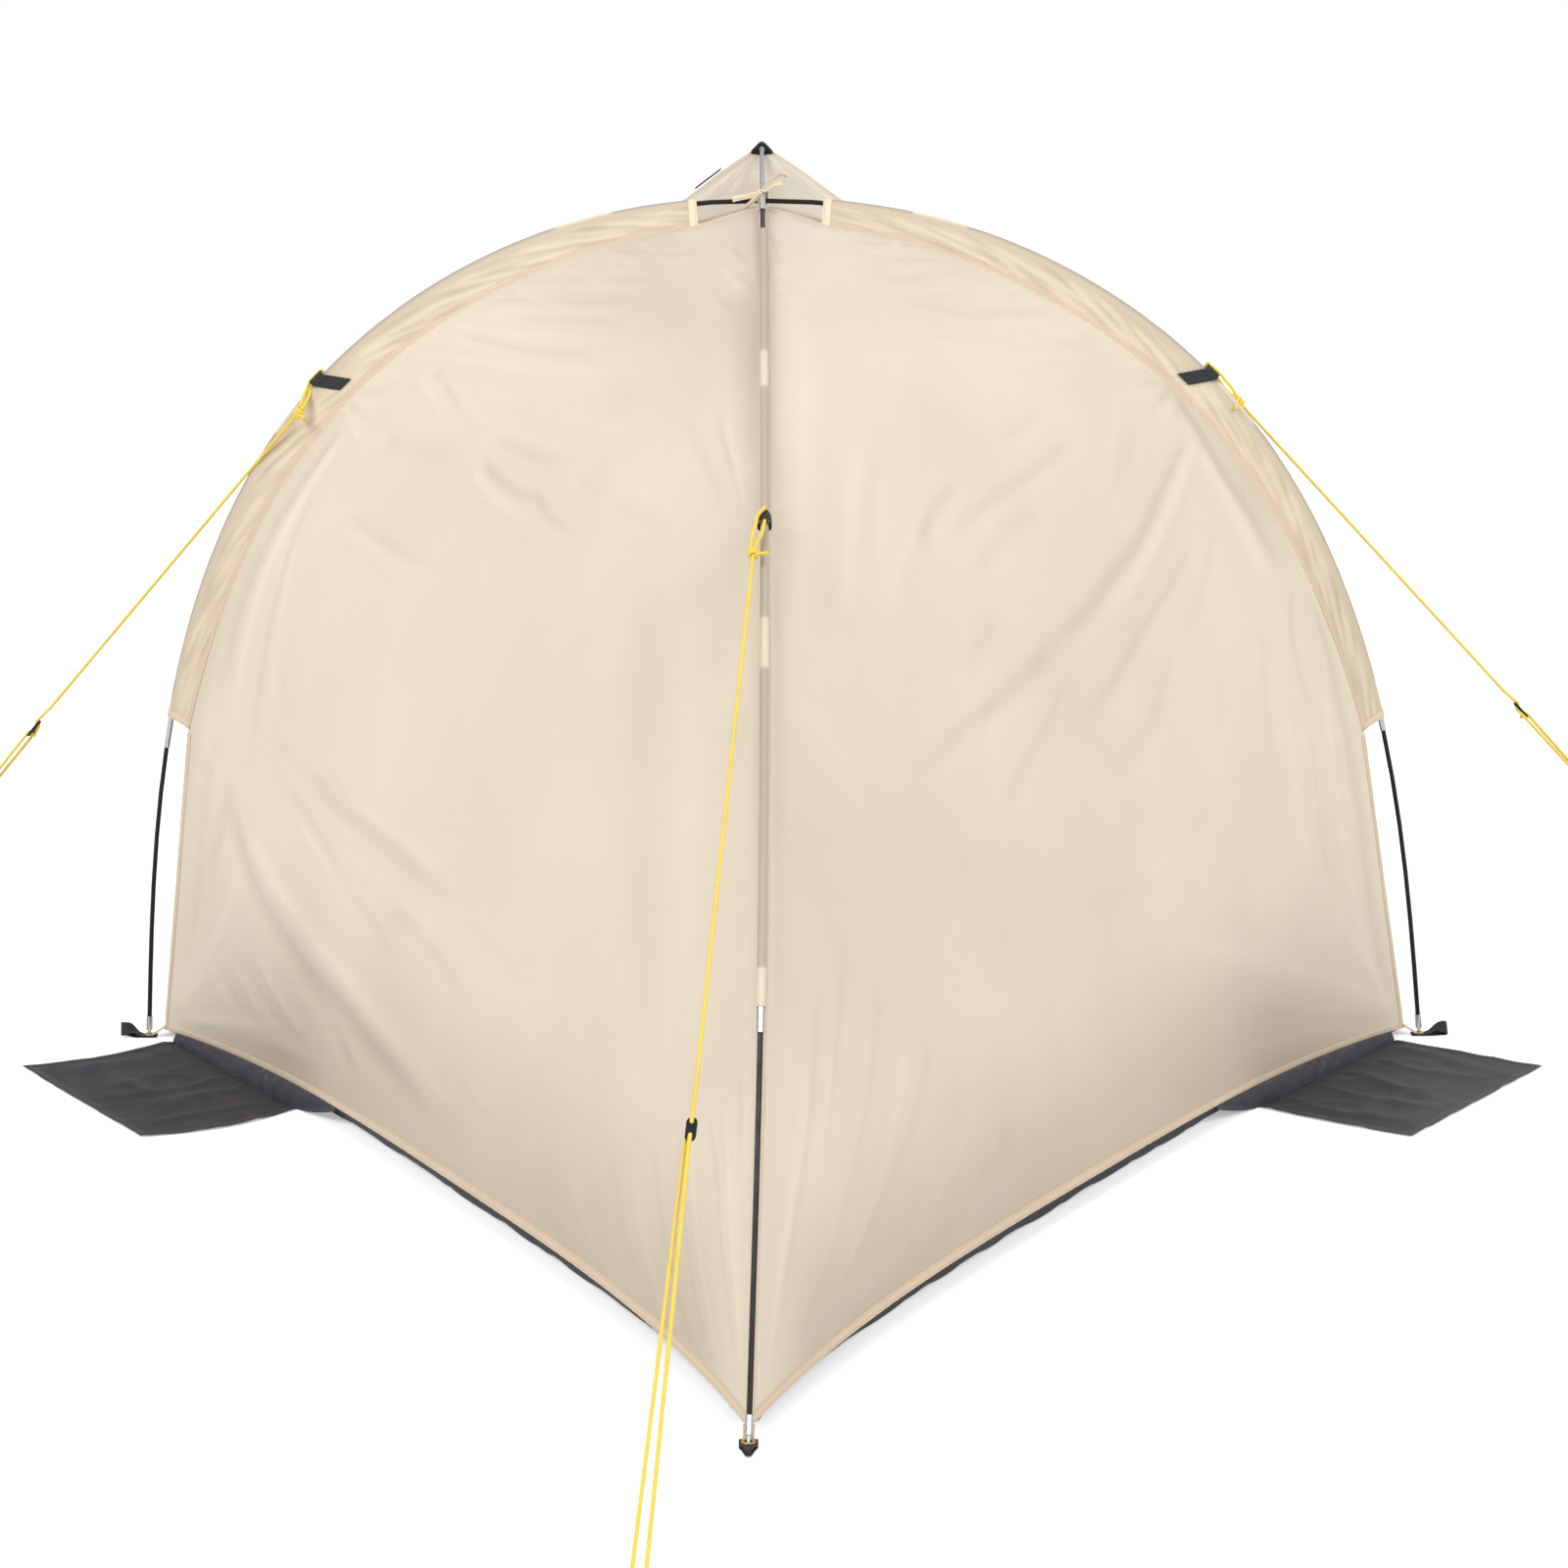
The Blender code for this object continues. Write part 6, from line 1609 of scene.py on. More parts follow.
def build_guy_lines():
    for label in LINES:
        upper, lower, knot, centre, along, end, knot_spot, side = line_route(label)
        finish = cord_finish("Guy line braid")
        runner_body = f"runner_{label}"
        stopper = place(trefoil(f"end_knot_{label}", knot_spot, along, side), finish, "yellow", runner_body,
                        (f"guy_end_knot_{label}",))
        top, top_line = cord_piece(f"guy_line_{label}_upper", upper)
        place(top, finish, "yellow", None, (f"guy_line_{label}",))
        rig.blend(top, BODY, runner_body, knot + along * 0.03, centre - along * 0.035)
        loop, loop_line = cord_piece(f"guy_line_{label}_loop", lower)
        place(loop, finish, "yellow", None, (f"guy_line_{label}",))
        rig.blend(loop, runner_body, BODY, centre + along * 0.035, end - along * 0.03)
        diameter = 2 * lines_set().line_radius
        runner = frame["nodes"][f"line_runner_{label}"]
        to_runner, beyond = LINE_LENGTHS[label]
        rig.cord(top, exit=top_line[-1], length=to_runner, diameter=diameter, far_end="knot",
                stiffness="limp", lay="taut", path=top_line, with_pieces=(runner,))
        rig.cord(loop, exit=loop_line[0], length=beyond, diameter=diameter, far_end="knot",
                stiffness="limp", lay="taut", path=loop_line, with_pieces=(stopper,))


# Cloth pieces


def build_walls():
    for side, label in SIDES:
        grid, flat_map, shade = wall_cloth(side)
        wall = grid_mesh(f"wall_{label}_cloth", grid, flat_map, flip=side > 0, fields={"shade": shade})
        place(wall, cloth("Sand polyester"), "sand", BODY, (f"wall_{label}",))
        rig.sheet(wall, flat=(2.30, 1.95), held="stretched", area=WALL_AREA,
                 rests_on=(f"arch_sleeve_{label}", "ridge_sleeve"))
        tape = cloth("Hem tape")
        sew_hem(f"wall_{label}_hem", grid, "first_row", 0.0150, 0.0009, tape, last_share=0.50)
        free = (WALL_LOW_ROWS - 0.1) / (WALL_LOW_ROWS + WALL_SEAM_ROWS - 1)
        sew_hem(f"wall_{label}_edge_tape", grid, "last_column", 0.0095, 0.0010, tape, span=(0.0, free))
        sew_hem(f"wall_{label}_ridge_tape", grid, "first_column", RIDGE_TAPE_WIDTHS[side], 0.0008, tape)


def sleeve_outline(radius, band):
    """A sleeve's cross section: the flat band, round the pole channel, and back along the band."""
    slim = 0.0008
    arc = [math.radians(a) for a in range(120, -121, -15)]
    start = radius * math.cos(arc[0])
    high = radius * math.sin(arc[0])
    outer = []
    for k in range(BAND_COLUMNS):
        share = k / BAND_COLUMNS
        rise = float(smooth_step((share - 0.30) / 0.72)) ** 1.4
        outer.append((-band + (band + start) * share, slim + (high - slim) * rise))
    outer += [(radius * math.cos(a), radius * math.sin(a)) for a in arc]
    outer += [(p, -q) for p, q in outer[BAND_COLUMNS - 1::-1]]
    return np.array(outer)


def painted_rod_shading(stations, length, sections, shift, outline, strength):
    """Painted shadow where the rod shows through a sleeve, and painted highlight where a ferrule does."""
    joints = np.array([length * k / sections - shift for k in range(1, sections)])
    near = np.abs(stations[:, None] - joints[None]).min(axis=1)
    ferrule = 1 - smooth_step((near - FERRULE_HALF) / 0.004)
    strip = smooth_step((outline[:, 0] + 0.0036) / 0.0044)
    return (strength * strip[None] * (1 - ferrule[:, None]), 0.75 * strip[None] * ferrule[:, None])


# strength sets how dark the rod's painted shadow is
def sleeve_piece(node, which, stations, frames, radius, band, sections, shift, seed, strength=0.95):
    """A sleeve along a stretch of a pole: its channel, creased band, and the rod within as painted shading."""
    outline = sleeve_outline(radius, band)
    across = line_lengths(outline)
    across = np.minimum(across, across[-1] - across)
    centres = array([which.at(s) for s in stations])
    away = array([f[0] for f in frames])
    flank = array([f[1] for f in frames])
    narrow = np.array([band_share(s) if which is ARCH else 1.0 for s in stations])
    reach = np.where(outline[None, :, 0] < 0, outline[None, :, 0] * narrow[:, None], outline[None, :, 0])
    grid = centres[:, None] + away[:, None] * reach[..., None] + flank[:, None] * outline[None, :, 1:]
    on_band = smooth_step((-outline[:, 0] - 0.008) / 0.012)[None]
    near_seam = smooth_step((band + outline[:, 0]) / 0.006)[None]
    dice = np.random.default_rng(seed)
    lean = dice.uniform(0.5, 0.9)
    line = stations[:, None] + outline[None, :, 0] * lean
    wave = np.sin(line / 0.0072 + 2.2 * np.sin(line / 0.049) + dice.uniform(0, 6))
    patches = smooth_step(0.5 + 0.9 * np.sin(stations / 0.113 + dice.uniform(0, 6)))
    wave = wave * (0.35 + 0.65 * patches)[:, None]
    slow = np.sin(stations / 0.034 + 1.7 * np.sin(stations / 0.021) + dice.uniform(0, 6))[:, None]
    close = 1 + 1.6 * np.exp(-np.abs(stations - stations[-1]) / 0.16)[:, None]
    slanted = (outline[None, :, 0] + 0.20 * stations[:, None]) / 0.0095
    spots = np.stack(np.broadcast_arrays(stations[:, None] / 0.085, slanted, float(seed)), axis=2)
    streak = np.array([noise.noise(Vector(p)) for p in spots.reshape(-1, 3)]).reshape(grid.shape[:2])
    lift = (0.00035 * wave * close + 0.00070 * slow + 0.0024 * streak) * on_band * near_seam
    # Painted shade: darker in the hollows of the streaks, lighter on their crests, and darker over the pole channel
    shade = 0.20 - 0.65 * streak * on_band + 0.26 * smooth_step((outline[:, 0] + 0.030) / 0.026)[None]
    grid = grid + flank[:, None] * lift[..., None]
    swell = 1 + 0.035 * np.sin(stations / 0.019 + 2.0 * np.sin(stations / 0.043))
    tube = (1 - on_band[0]) * (swell[:, None] - 1)
    grid = grid + away[:, None] * (outline[None, :, :1] * tube[..., None])
    uv = np.stack(np.broadcast_arrays(across[None, :], (stations - stations[0])[:, None]), axis=2)
    # The rod's painted shadow and the ferrules' painted highlights, as the masks 'pole' and 'ferrule'
    dark, bright = painted_rod_shading(stations, which.length, sections, shift, outline, strength)
    fields = {"pole": dark, "ferrule": bright, "shade": np.clip(shade, 0.0, 1.0)}
    item = grid_mesh(f"{node}_cloth", grid, uv, fields=fields)
    place(item, cloth("Sleeve cloth"), "peach", BODY, (node,))
    return item, grid


def build_sleeves():
    steps = SLEEVE_STEPS[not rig.quick()]
    for side, label in SIDES:
        top = half_arch(side) - ARCH_SLEEVE_TOP_GAP[side]
        stations = np.array([from_foot(side, s) for s in np.linspace(ARCH_SLEEVE_LOW, top, steps)])
        frames = [(band_direction(s) * -1.0, band_side(s)) for s in stations]
        item, grid = sleeve_piece(f"arch_sleeve_{label}", ARCH, stations, frames, SLEEVE_RADIUS, BAND_WIDTH,
                                  ARCH_SECTIONS, ARCH_JOINT_SHIFT, 70 + side)
        length = float(abs(stations[-1] - stations[0]))
        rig.sheet(item, flat=(0.152, length), held="stretched", rests_on=("arch_rod_2",))
        for end, edge in (("low", "first_row"), ("top", "last_row")):
            sew_hem(f"arch_sleeve_{label}_{end}_hem", grid, edge, 0.013, 0.0007,
                    cloth("Tie tape") if end == "top" else cloth("Hem tape"))
        run = [from_foot(side, s) for s in np.linspace(ARCH_SLEEVE_LOW, half_arch(side), 180)]
        line = array([seam_point(s, SEAM_GAP * HALF) for s in run])
        welt = sweep(f"arch_seam_{label}", line, array([band_direction(s) for s in run]),
                     array([band_side(s) for s in run]), tape_profile(0.0105, 0.0026, 3))
        place(welt, cloth("Seam tape"), "peach")
    stations = np.linspace(RIDGE_SLEEVE_LOW, RIDGE_SLEEVE_TOP, steps)
    frames = [(ridge_out(s), ridge_across(s)) for s in stations]
    # The ridge rod's painted shadow is weaker than the arch rods'
    item, _ = sleeve_piece("ridge_sleeve", RIDGE, stations, frames, RIDGE_SLEEVE_RADIUS, RIDGE_BAND_WIDTH,
                           RIDGE_SECTIONS, 0.0, 77, 0.62)
    length = float(stations[-1] - stations[0])
    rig.sheet(item, flat=(0.050, length), held="stretched", rests_on=("ridge_rod_2",))


def brow_rear(distance):
    inside = band_side(distance)
    if inside.dot(arch_out(distance)) > 0:
        inside = inside * -1.0
    return seam_point(distance) + band_direction(distance) * 0.0006 + inside * 0.0012


def brow_front(side, share):
    """The brow's free edge, share 0 at the guy tab and 1 at the peak."""
    where = from_foot(side, seam_distance(side, BROW_FIRST_STATION))
    start = ARCH.at(where) - arch_out(where) * (BAND_WIDTH * HALF) + ARCH_NORMAL * BROW_END_REACH
    tip = RIDGE.length - 0.002
    end = RIDGE.at(tip) - ridge_out(tip) * BROW_BELOW_POLE
    slack = share * (1 - share) / (HALF * HALF)
    drop = (Vector((0.0, -1.0, 0.0)) + arch_out(where) * -1.0).normalized()
    lifted = float(smooth_step((share - 0.76) / 0.20) * smooth_step((1 - share) / 0.014))
    spread = Vector((side * 0.005, 0.0, 0.0105)) * lifted
    return start + (end - start) * share + drop * (BROW_EDGE_SAG * slack) + spread


def build_brow():
    steps, rows = BROW_GRID[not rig.quick()]
    pairs = []
    for side in (-1, 1):
        first = seam_distance(side, BROW_FIRST_STATION)
        line = []
        for s in np.linspace(first, half_arch(side), steps):
            share = (s - first) / (half_arch(side) - first)
            line.append((brow_rear(from_foot(side, s)), brow_front(side, share)))
        pairs += line if side < 0 else line[::-1][1:]
    rear = array([p[0] for p in pairs])
    front = array([p[1] for p in pairs])
    t = np.linspace(0, 1, rows)[:, None, None]
    grid = rear[None] * (1 - t) + front[None] * t
    normals = grid_normals(grid, 2)
    points = grid.reshape(-1, 3)
    lift = 0.0020 * drift(points, 0.16, 21) + 0.0005 * drift(points, 0.03, 22, (0.5, 1.0, 1.0))
    add_fans(lift, points, grid, BROW_FANS, 0.6, 1.5, lead=0.15, trail=0.5)
    lift = lift.reshape(grid.shape[:2])
    flat_map = metres_map(grid)
    deep = np.maximum(flat_map[-1:, :, 1], 0.02)
    shares = np.linspace(0, 1, rows)[:, None]
    lift = lift * smooth_step(shares * deep / 0.03) * smooth_step((1 - shares) * deep / 0.012)
    grid = grid + normals * lift[..., None]
    # Painted shade, as the 'shade' mask: darker over the whole brow and in its folds' hollows, lighter on their crests
    item = grid_mesh("brow_cloth", grid, flat_map, fields={"shade": np.clip(0.52 - lift / 0.008, 0.0, 1.0)})
    place(item, cloth("Brow polyester"), "sand", BODY, ("brow",))
    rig.sheet(item, flat=(1.52, 0.56), held="stretched", area=BROW_AREA,
             rests_on=("arch_sleeve_left", "peak_cap"))
    sew_hem("brow_hem", grid, "last_row", 0.013, 0.0010, cloth("Hem tape"))
    along = (brow_front(-1, 0.89) - brow_front(-1, 0.85)).normalized()
    up = (UP - along * along.z).normalized()
    line = array([brow_front(-1, 0.838 + 0.064 * k / 8) + up * 0.0050 for k in range(9)])
    ups = array([up] * len(line))
    flats = np.cross(line_tangents(line), ups)
    lean = math.radians(30)
    wide = flats * math.cos(lean) + ups * math.sin(lean)
    thin = ups * math.cos(lean) - flats * math.sin(lean)
    strap = sweep("brow_strap_webbing", line, wide, thin, tape_profile(0.013, 0.0022))
    place(strap, strap_webbing(), "webbing", BODY, ("brow_strap",))


def build_groundsheet():
    rows, columns = SHEET_GRID[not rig.quick()]
    shares = np.linspace(0.0, SHEET_END_SHARE, rows)
    first = SHEET_FRONT_ROWS
    grid = np.zeros((rows + first, columns + 2 * RIM_COLUMNS, 3))
    rim_steps = np.linspace(0.0, 1.0, RIM_COLUMNS + 1)[:-1]
    for r, share in enumerate(shares):
        corners = []
        for side in (-1, 1):
            corner = hem_point(side, float(share))
            corner.z -= SHEET_BELOW_HEM
            corners.append(triple(corner))
        left, right = corners
        across = (right - left) * np.array([1.0, 1.0, 0.0])
        run = min(RIM_RUN / np.linalg.norm(across), 0.32)
        lows, rims = (left + across * run, right - across * run), []
        for high, low in zip(corners, lows):
            low[2] = SHEET_HEIGHT
            rim = high + (low - high) * rim_steps[:, None]
            rim[:, 2] = high[2] + (low[2] - high[2]) * smooth_step(rim_steps)
            rims.append(rim)
        flat = lows[0] + (lows[1] - lows[0]) * np.linspace(0, 1, columns)[:, None]
        grid[r + first] = np.concatenate([rims[0], flat, rims[1][::-1]])
    edge = grid[first, :, 2]
    for k in range(first):
        t = (first - k) / first
        grid[k] = grid[first]
        grid[k, :, 1] += SHEET_FRONT_REACH * t
        grid[k, :, 2] = np.minimum(edge, SHEET_HEIGHT + (edge - SHEET_HEIGHT) * (1 - smooth_step(t)))
    points = grid.reshape(-1, 3)
    swell = 1 - np.abs(drift(points, 0.34, 31, (1.0, 1.6, 1.0)))
    crease = 1 - np.abs(drift(points, 0.13, 32, (0.7, 1.3, 1.0)))
    lift = 0.0075 * np.clip(swell, 0, 1) ** 9 + 0.0032 * np.clip(crease, 0, 1) ** 8
    lift = lift.reshape(grid.shape[:2])
    level = smooth_step((0.012 - grid[..., 2]) / 0.010)
    grid[..., 2] += lift * level * smooth_step((0.050 - grid[..., 1]) / 0.05)
    item = grid_mesh("groundsheet_cloth", grid, metres_map(grid))
    place(item, cloth("Dark coated cloth"), "grey", BODY, ("groundsheet",))
    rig.sheet(item, flat=(2.16, 1.86), held="laid", area=SHEET_AREA)
    sew_hem("groundsheet_front_hem", grid, "first_row", 0.014, 0.0006, cloth("Dark hem"), "grey")


def flap_line(side):
    """The seam on the ground between a gusset and its sand flap."""
    start = hem_point(side, 0.0)
    end = hem_point(side, 1.0)
    line = Vector((end.x - start.x, end.y - start.y, 0.0))
    inward = Vector((-line.y, line.x, 0.0)).normalized()
    if inward.x * side > 0:
        inward = inward * -1.0
    base = Vector((start.x, start.y, 0.0))
    return (base + line * FLAP_START_SHARE + inward * FLAP_START_INSET,
            base + line * FLAP_END_SHARE + inward * FLAP_END_INSET)


def raised_room(side, ends, reach):
    """How far each spot of a flap may stand off it before the raised flap meets the gusset or the hem."""
    near, far = flap_line(side)
    wide, tall = [], []
    for end in ends:
        low = near + (far - near) * float(end)
        high = hem_point(side, FLAP_START_SHARE + (FLAP_END_SHARE - FLAP_START_SHARE) * float(end))
        wide.append(math.hypot(high.x - low.x, high.y - low.y))
        tall.append(high.z)
    wide, tall = np.array(wide)[None], np.array(tall)[None]
    share = (1.8 - np.sqrt(3.24 - 3.2 * np.clip(reach / tall, 0, 1))) / 1.6
    return 0.0004 + 0.4 * wide * share + 0.4 * np.clip(reach - tall, 0, None)


def build_flaps():
    rows, columns = FLAP_GRID[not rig.quick()]
    for side, label in SIDES:
        near, far = flap_line(side)
        along = (far - near).normalized()
        outward = Vector((along.y, -along.x, 0.0))
        if outward.x * side < 0:
            outward = outward * -1.0
        shares = np.linspace(0, 1, columns)
        base = array([near + (far - near) * float(s) for s in shares])
        reach = np.linspace(-FLAP_UNDERLAP, FLAP_REACH, rows)[:, None]
        ends = shares[None, :]
        front, rear = FLAP_BOWS[side]
        bow = (front * (1 - ends) ** 2 + rear * ends ** 2) \
            * np.sin(math.pi * np.clip(reach, 0, None) / FLAP_REACH)
        grid = base[None] + triple(outward) * reach[..., None] + triple(along) * bow[..., None]
        grid[..., 2] = np.where(reach < 0, 0.0004, 0.0011)
        points = grid.reshape(-1, 3)
        lift = np.zeros(len(points))
        add_folds(lift, points, grid, FLAP_FOLDS[side], lead=0.2, trail=0.2, trough=0.3)
        lift += 0.0022 * np.clip(1 - np.abs(drift(points, 0.10, 41 + side)) * 2.2, 0, 1) ** 2
        lift += 0.0012 * (0.5 + drift(points, 0.035, 43 + side))
        lift = np.clip(lift, 0, None).reshape(rows, columns) * smooth_step(reach / 0.02)
        seam = np.linspace(0, (far - near).length, columns)[None]
        lift += 0.0009 * (1 + puckers(reach, seam, 0.019, 45 + side, 0.03)) * smooth_step(reach / 0.004)
        grid[..., 2] += np.minimum(lift, raised_room(side, shares, reach))
        item = grid_mesh(f"sand_flap_{label}_cloth", grid, metres_map(grid), flip=side > 0)
        body = f"flap_{label}"
        place(item, cloth("Dark coated cloth"), "grey", body, (f"sand_flap_{label}",))
        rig.sheet(item, flat=(FLAP_REACH, (far - near).length), held="laid")
        for edge in ("last_row", "first_column", "last_column"):
            sew_hem(f"sand_flap_{label}_{edge}_hem", grid, edge, 0.013, 0.00055, cloth("Dark hem"),
                    "grey", body)


def build_gussets():
    rows, columns = GUSSET_GRID[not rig.quick()]
    for side, label in SIDES:
        near, far = flap_line(side)
        grid = np.zeros((rows, columns, 3))
        t = np.linspace(0, 1, columns)[:, None]
        closed = hem_point(side, FLAP_END_SHARE + GUSSET_END_RUN, GUSSET_OUTSET)
        closed.z = 0.0
        for r, share in enumerate(np.linspace(FLAP_START_SHARE, FLAP_END_SHARE + GUSSET_END_RUN, rows)):
            seam = min((share - FLAP_START_SHARE) / (FLAP_END_SHARE - FLAP_START_SHARE), 1.0)
            past = max((share - FLAP_END_SHARE) / GUSSET_END_RUN, 0.0)
            low = near + (far - near) * seam
            low = low + (closed - low) * past
            high = hem_point(side, float(share), GUSSET_OUTSET)
            high.z -= 0.0006
            inward = Vector((high.x - low.x, high.y - low.y, 0.0)).normalized()
            low = low + inward * GUSSET_GAP
            low.z = GUSSET_HEIGHT + past ** 1.5 * (high.z - 0.0085)
            middle = (low + high) * HALF
            middle.z = low.z + (high.z - low.z) * 0.7
            one, two, three = (triple(p) for p in (low, middle * 2 - (low + high) * HALF, high))
            grid[r] = one * (1 - t) ** 2 + two * (2 * t * (1 - t)) + three * t ** 2
        normals = grid_normals(grid, 2)
        run = np.linspace(0, (far - near).length, rows)[:, None]
        across = np.linspace(0, 1, columns)[None]
        wide = np.linalg.norm(grid[:, -1:, :2] - grid[:, :1, :2], axis=2)
        wave = 0.0032 * np.sin(run / 0.0092 + 2.8 * np.sin(run / 0.041 + side) + 1.8 * across + side) \
            * (0.35 + 0.65 * np.sin(run / 0.071 + 2 * side) ** 2)
        wave = wave + 0.0006 * np.sin(run / 0.0052 + 1.8 * np.sin(run / 0.019)) \
            * (0.5 + 0.5 * np.sin(run / 0.037))
        wave = np.clip(wave + 0.001, -0.0004, None) * np.sin(math.pi * across) * smooth_step(wide / 0.024)
        grid = grid + normals * wave[..., None]
        grid[..., 2] = np.maximum(grid[..., 2], GUSSET_HEIGHT)
        item = grid_mesh(f"flap_gusset_{label}_cloth", grid, metres_map(grid), flip=side < 0)
        place(item, cloth("Gusset cloth"), "grey", BODY, (f"flap_gusset_{label}",))
        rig.sheet(item, flat=(0.034, (far - near).length * 1.25), held="stretched")
        along = (far - near).normalized()
        inside = Vector((-along.y, along.x, 0.0)) * (-1.0 if -along.y * side > 0 else 1.0)
        middle = inside * (ALLOWANCE_WIDTH * HALF)
        line = array([near + (far - near) * float(s) + middle for s in np.linspace(*ALLOWANCE_SPAN, 40)])
        line[:, 2] = ALLOWANCE_THICKNESS
        profile = tape_profile(ALLOWANCE_WIDTH, ALLOWANCE_THICKNESS)
        allowance = level_sweep(f"flap_seam_{label}_tape", line, inside, profile)
        place(allowance, cloth("Dark coated cloth"), "grey")


# Webbing


def racetrack(eyelet):
    """The folded foot strap's centre line seen from its edge, from its inner end round its outer loop."""
    low = 0.00085
    flat = low + 0.0017
    tall = low + 0.010
    start = 0.00055 - 0.014
    knee = eyelet + 0.0011
    far = 0.048
    mid = (knee + far) * HALF
    return [(start, low), (knee, low), (mid, low), (far - 0.005, low), (far, low + tall * HALF),
            (far - 0.005, tall), (mid, tall), (knee, flat), (start, flat)]


def build_feet():
    for label, outward in (("left", (-1, 0, 0)), ("right", (1, 0, 0)), ("back", (0, -1, 0))):
        low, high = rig.box(f"foot_eyelet_{label}")
        pin = (low + high) * HALF
        eyelet = (high.x - low.x) * HALF
        outward = Vector(outward)
        side = outward.cross(UP).normalized()
        base = Vector((pin.x, pin.y, 0.0))
        points = [base + outward * p + UP * q for p, q in racetrack(eyelet)]
        line = smooth_line(points, 10)
        away = np.linalg.norm(line[:, :2] - triple(base)[:2], axis=1)
        flare = 1 + 0.18 * smooth_step((away - 0.02) / 0.03)
        item = level_sweep(f"foot_strap_{label}_webbing", line, side, tape_profile(0.020, 0.0011, 12),
                           flare[:, None])
        twist_strap(item, base, outward, side, math.radians(STRAP_TURNS[label]))
        clear_hole(item, base, eyelet * 0.62)
        place(item, strap_webbing(), "webbing", BODY, (f"foot_strap_{label}",))
        corner = wall_corner(outward.x) if outward.x else ridge_seam(WALL_FOOT_SETBACK)
        start = base - outward * 0.006 + Vector((0.0, 0.0, 0.0042))
        middle = start * 0.6 + corner * 0.4 + Vector((0, 0, 0.001))
        path = smooth_line([start, middle, corner + Vector((0, 0, 0.004))], 6)
        tape = level_sweep(f"corner_tape_{label}", path, side, tape_profile(0.0155, 0.0014))
        place(tape, cloth("Hem tape"), "peach")


def twist_strap(item, base, outward, side, angle):
    """Turns the strap's loop about its own length, more towards its end, and keeps it off the ground."""
    spots = np.array([v.co for v in item.data.vertices]) - triple(base)
    out, across = triple(outward), triple(side)
    reach, wide, high = spots @ out, spots @ across, spots[:, 2] - STRAP_MIDDLE_HEIGHT
    if angle == 0.0:
        wide = wide * (1.25 - 1.08 * np.clip((reach - 0.012) / 0.036, 0, 1))
        high = high * (1 - 0.35 * smooth_step((reach - 0.012) / 0.016))
    turn = angle * smooth_step((reach - 0.016) / 0.026)
    turned = reach[:, None] * out + (wide * np.cos(turn) - high * np.sin(turn))[:, None] * across
    lifted = STRAP_MIDDLE_HEIGHT + wide * np.sin(turn) + high * np.cos(turn) + np.abs(np.sin(turn)) * 0.0085
    turned[:, 2] = np.maximum(lifted, 0.0006)
    item.data.vertices.foreach_set("co", (turned + triple(base)).astype(np.float32).ravel())


def clear_hole(item, centre, radius):
    """Opens the strap round the pole's pin, under the eyelet."""
    mesh = item.data
    work = bmesh.new()
    work.from_mesh(mesh)
    gone = [f for f in work.faces if (f.calc_center_median().xy - centre.xy).length < radius]
    bmesh.ops.delete(work, geom=gone, context="FACES")
    work.to_mesh(mesh)
    work.free()


def build_guy_tabs():
    for label in LINES:
        centre, away, flank, run = guy_anchor(label)
        up = run if run.z > 0 else run * -1.0
        centre = centre - up * TAB_DROPS[label]
        arch = label != "back"
        reach = TAB_REACHES[label]
        clear = (CAD_SLEEVE_RADIUS if arch else RIDGE_TAB_RADIUS) + 0.0022
        half = [(reach + 0.0006, 0.0), (reach - 0.0018, clear * 0.45)]
        half += [(clear * a, clear * b) for a, b in ((1.0, 0.88), (0.0, 1.06), (-0.62, 0.92))]
        if arch:
            flat = sleeve_outline(SLEEVE_RADIUS, BAND_WIDTH)[:BAND_COLUMNS]
            half += [(-p, float(np.interp(-p, flat[:, 0], flat[:, 1])) + 0.0023) for p in TAB_LAPS]
        else:
            half += [(-0.0102, 0.0024)]
        outline = [(p, -q) for p, q in half[:0:-1]] + half
        slant = TAB_SLANT if arch else 0.0
        knots = [centre + away * p + flank * q + up * (slant * max(-p, 0.0)) for p, q in outline]
        line = smooth_line(knots, 6)
        runs = line_tangents(line)
        sides = np.tile(triple(run), (len(line), 1))
        ups = np.cross(runs, sides)
        ups = ups / np.linalg.norm(ups, axis=1, keepdims=True)
        width = TAB_WIDTH * (ARCH_TAB_SHARE if arch else BACK_TAB_SHARE)
        item = sweep(f"guy_tab_{label}_webbing", line, sides, ups, tape_profile(width, TAB_THICKNESS, 12))
        place(item, strap_webbing(), "webbing", BODY, (f"guy_tab_{label}",))


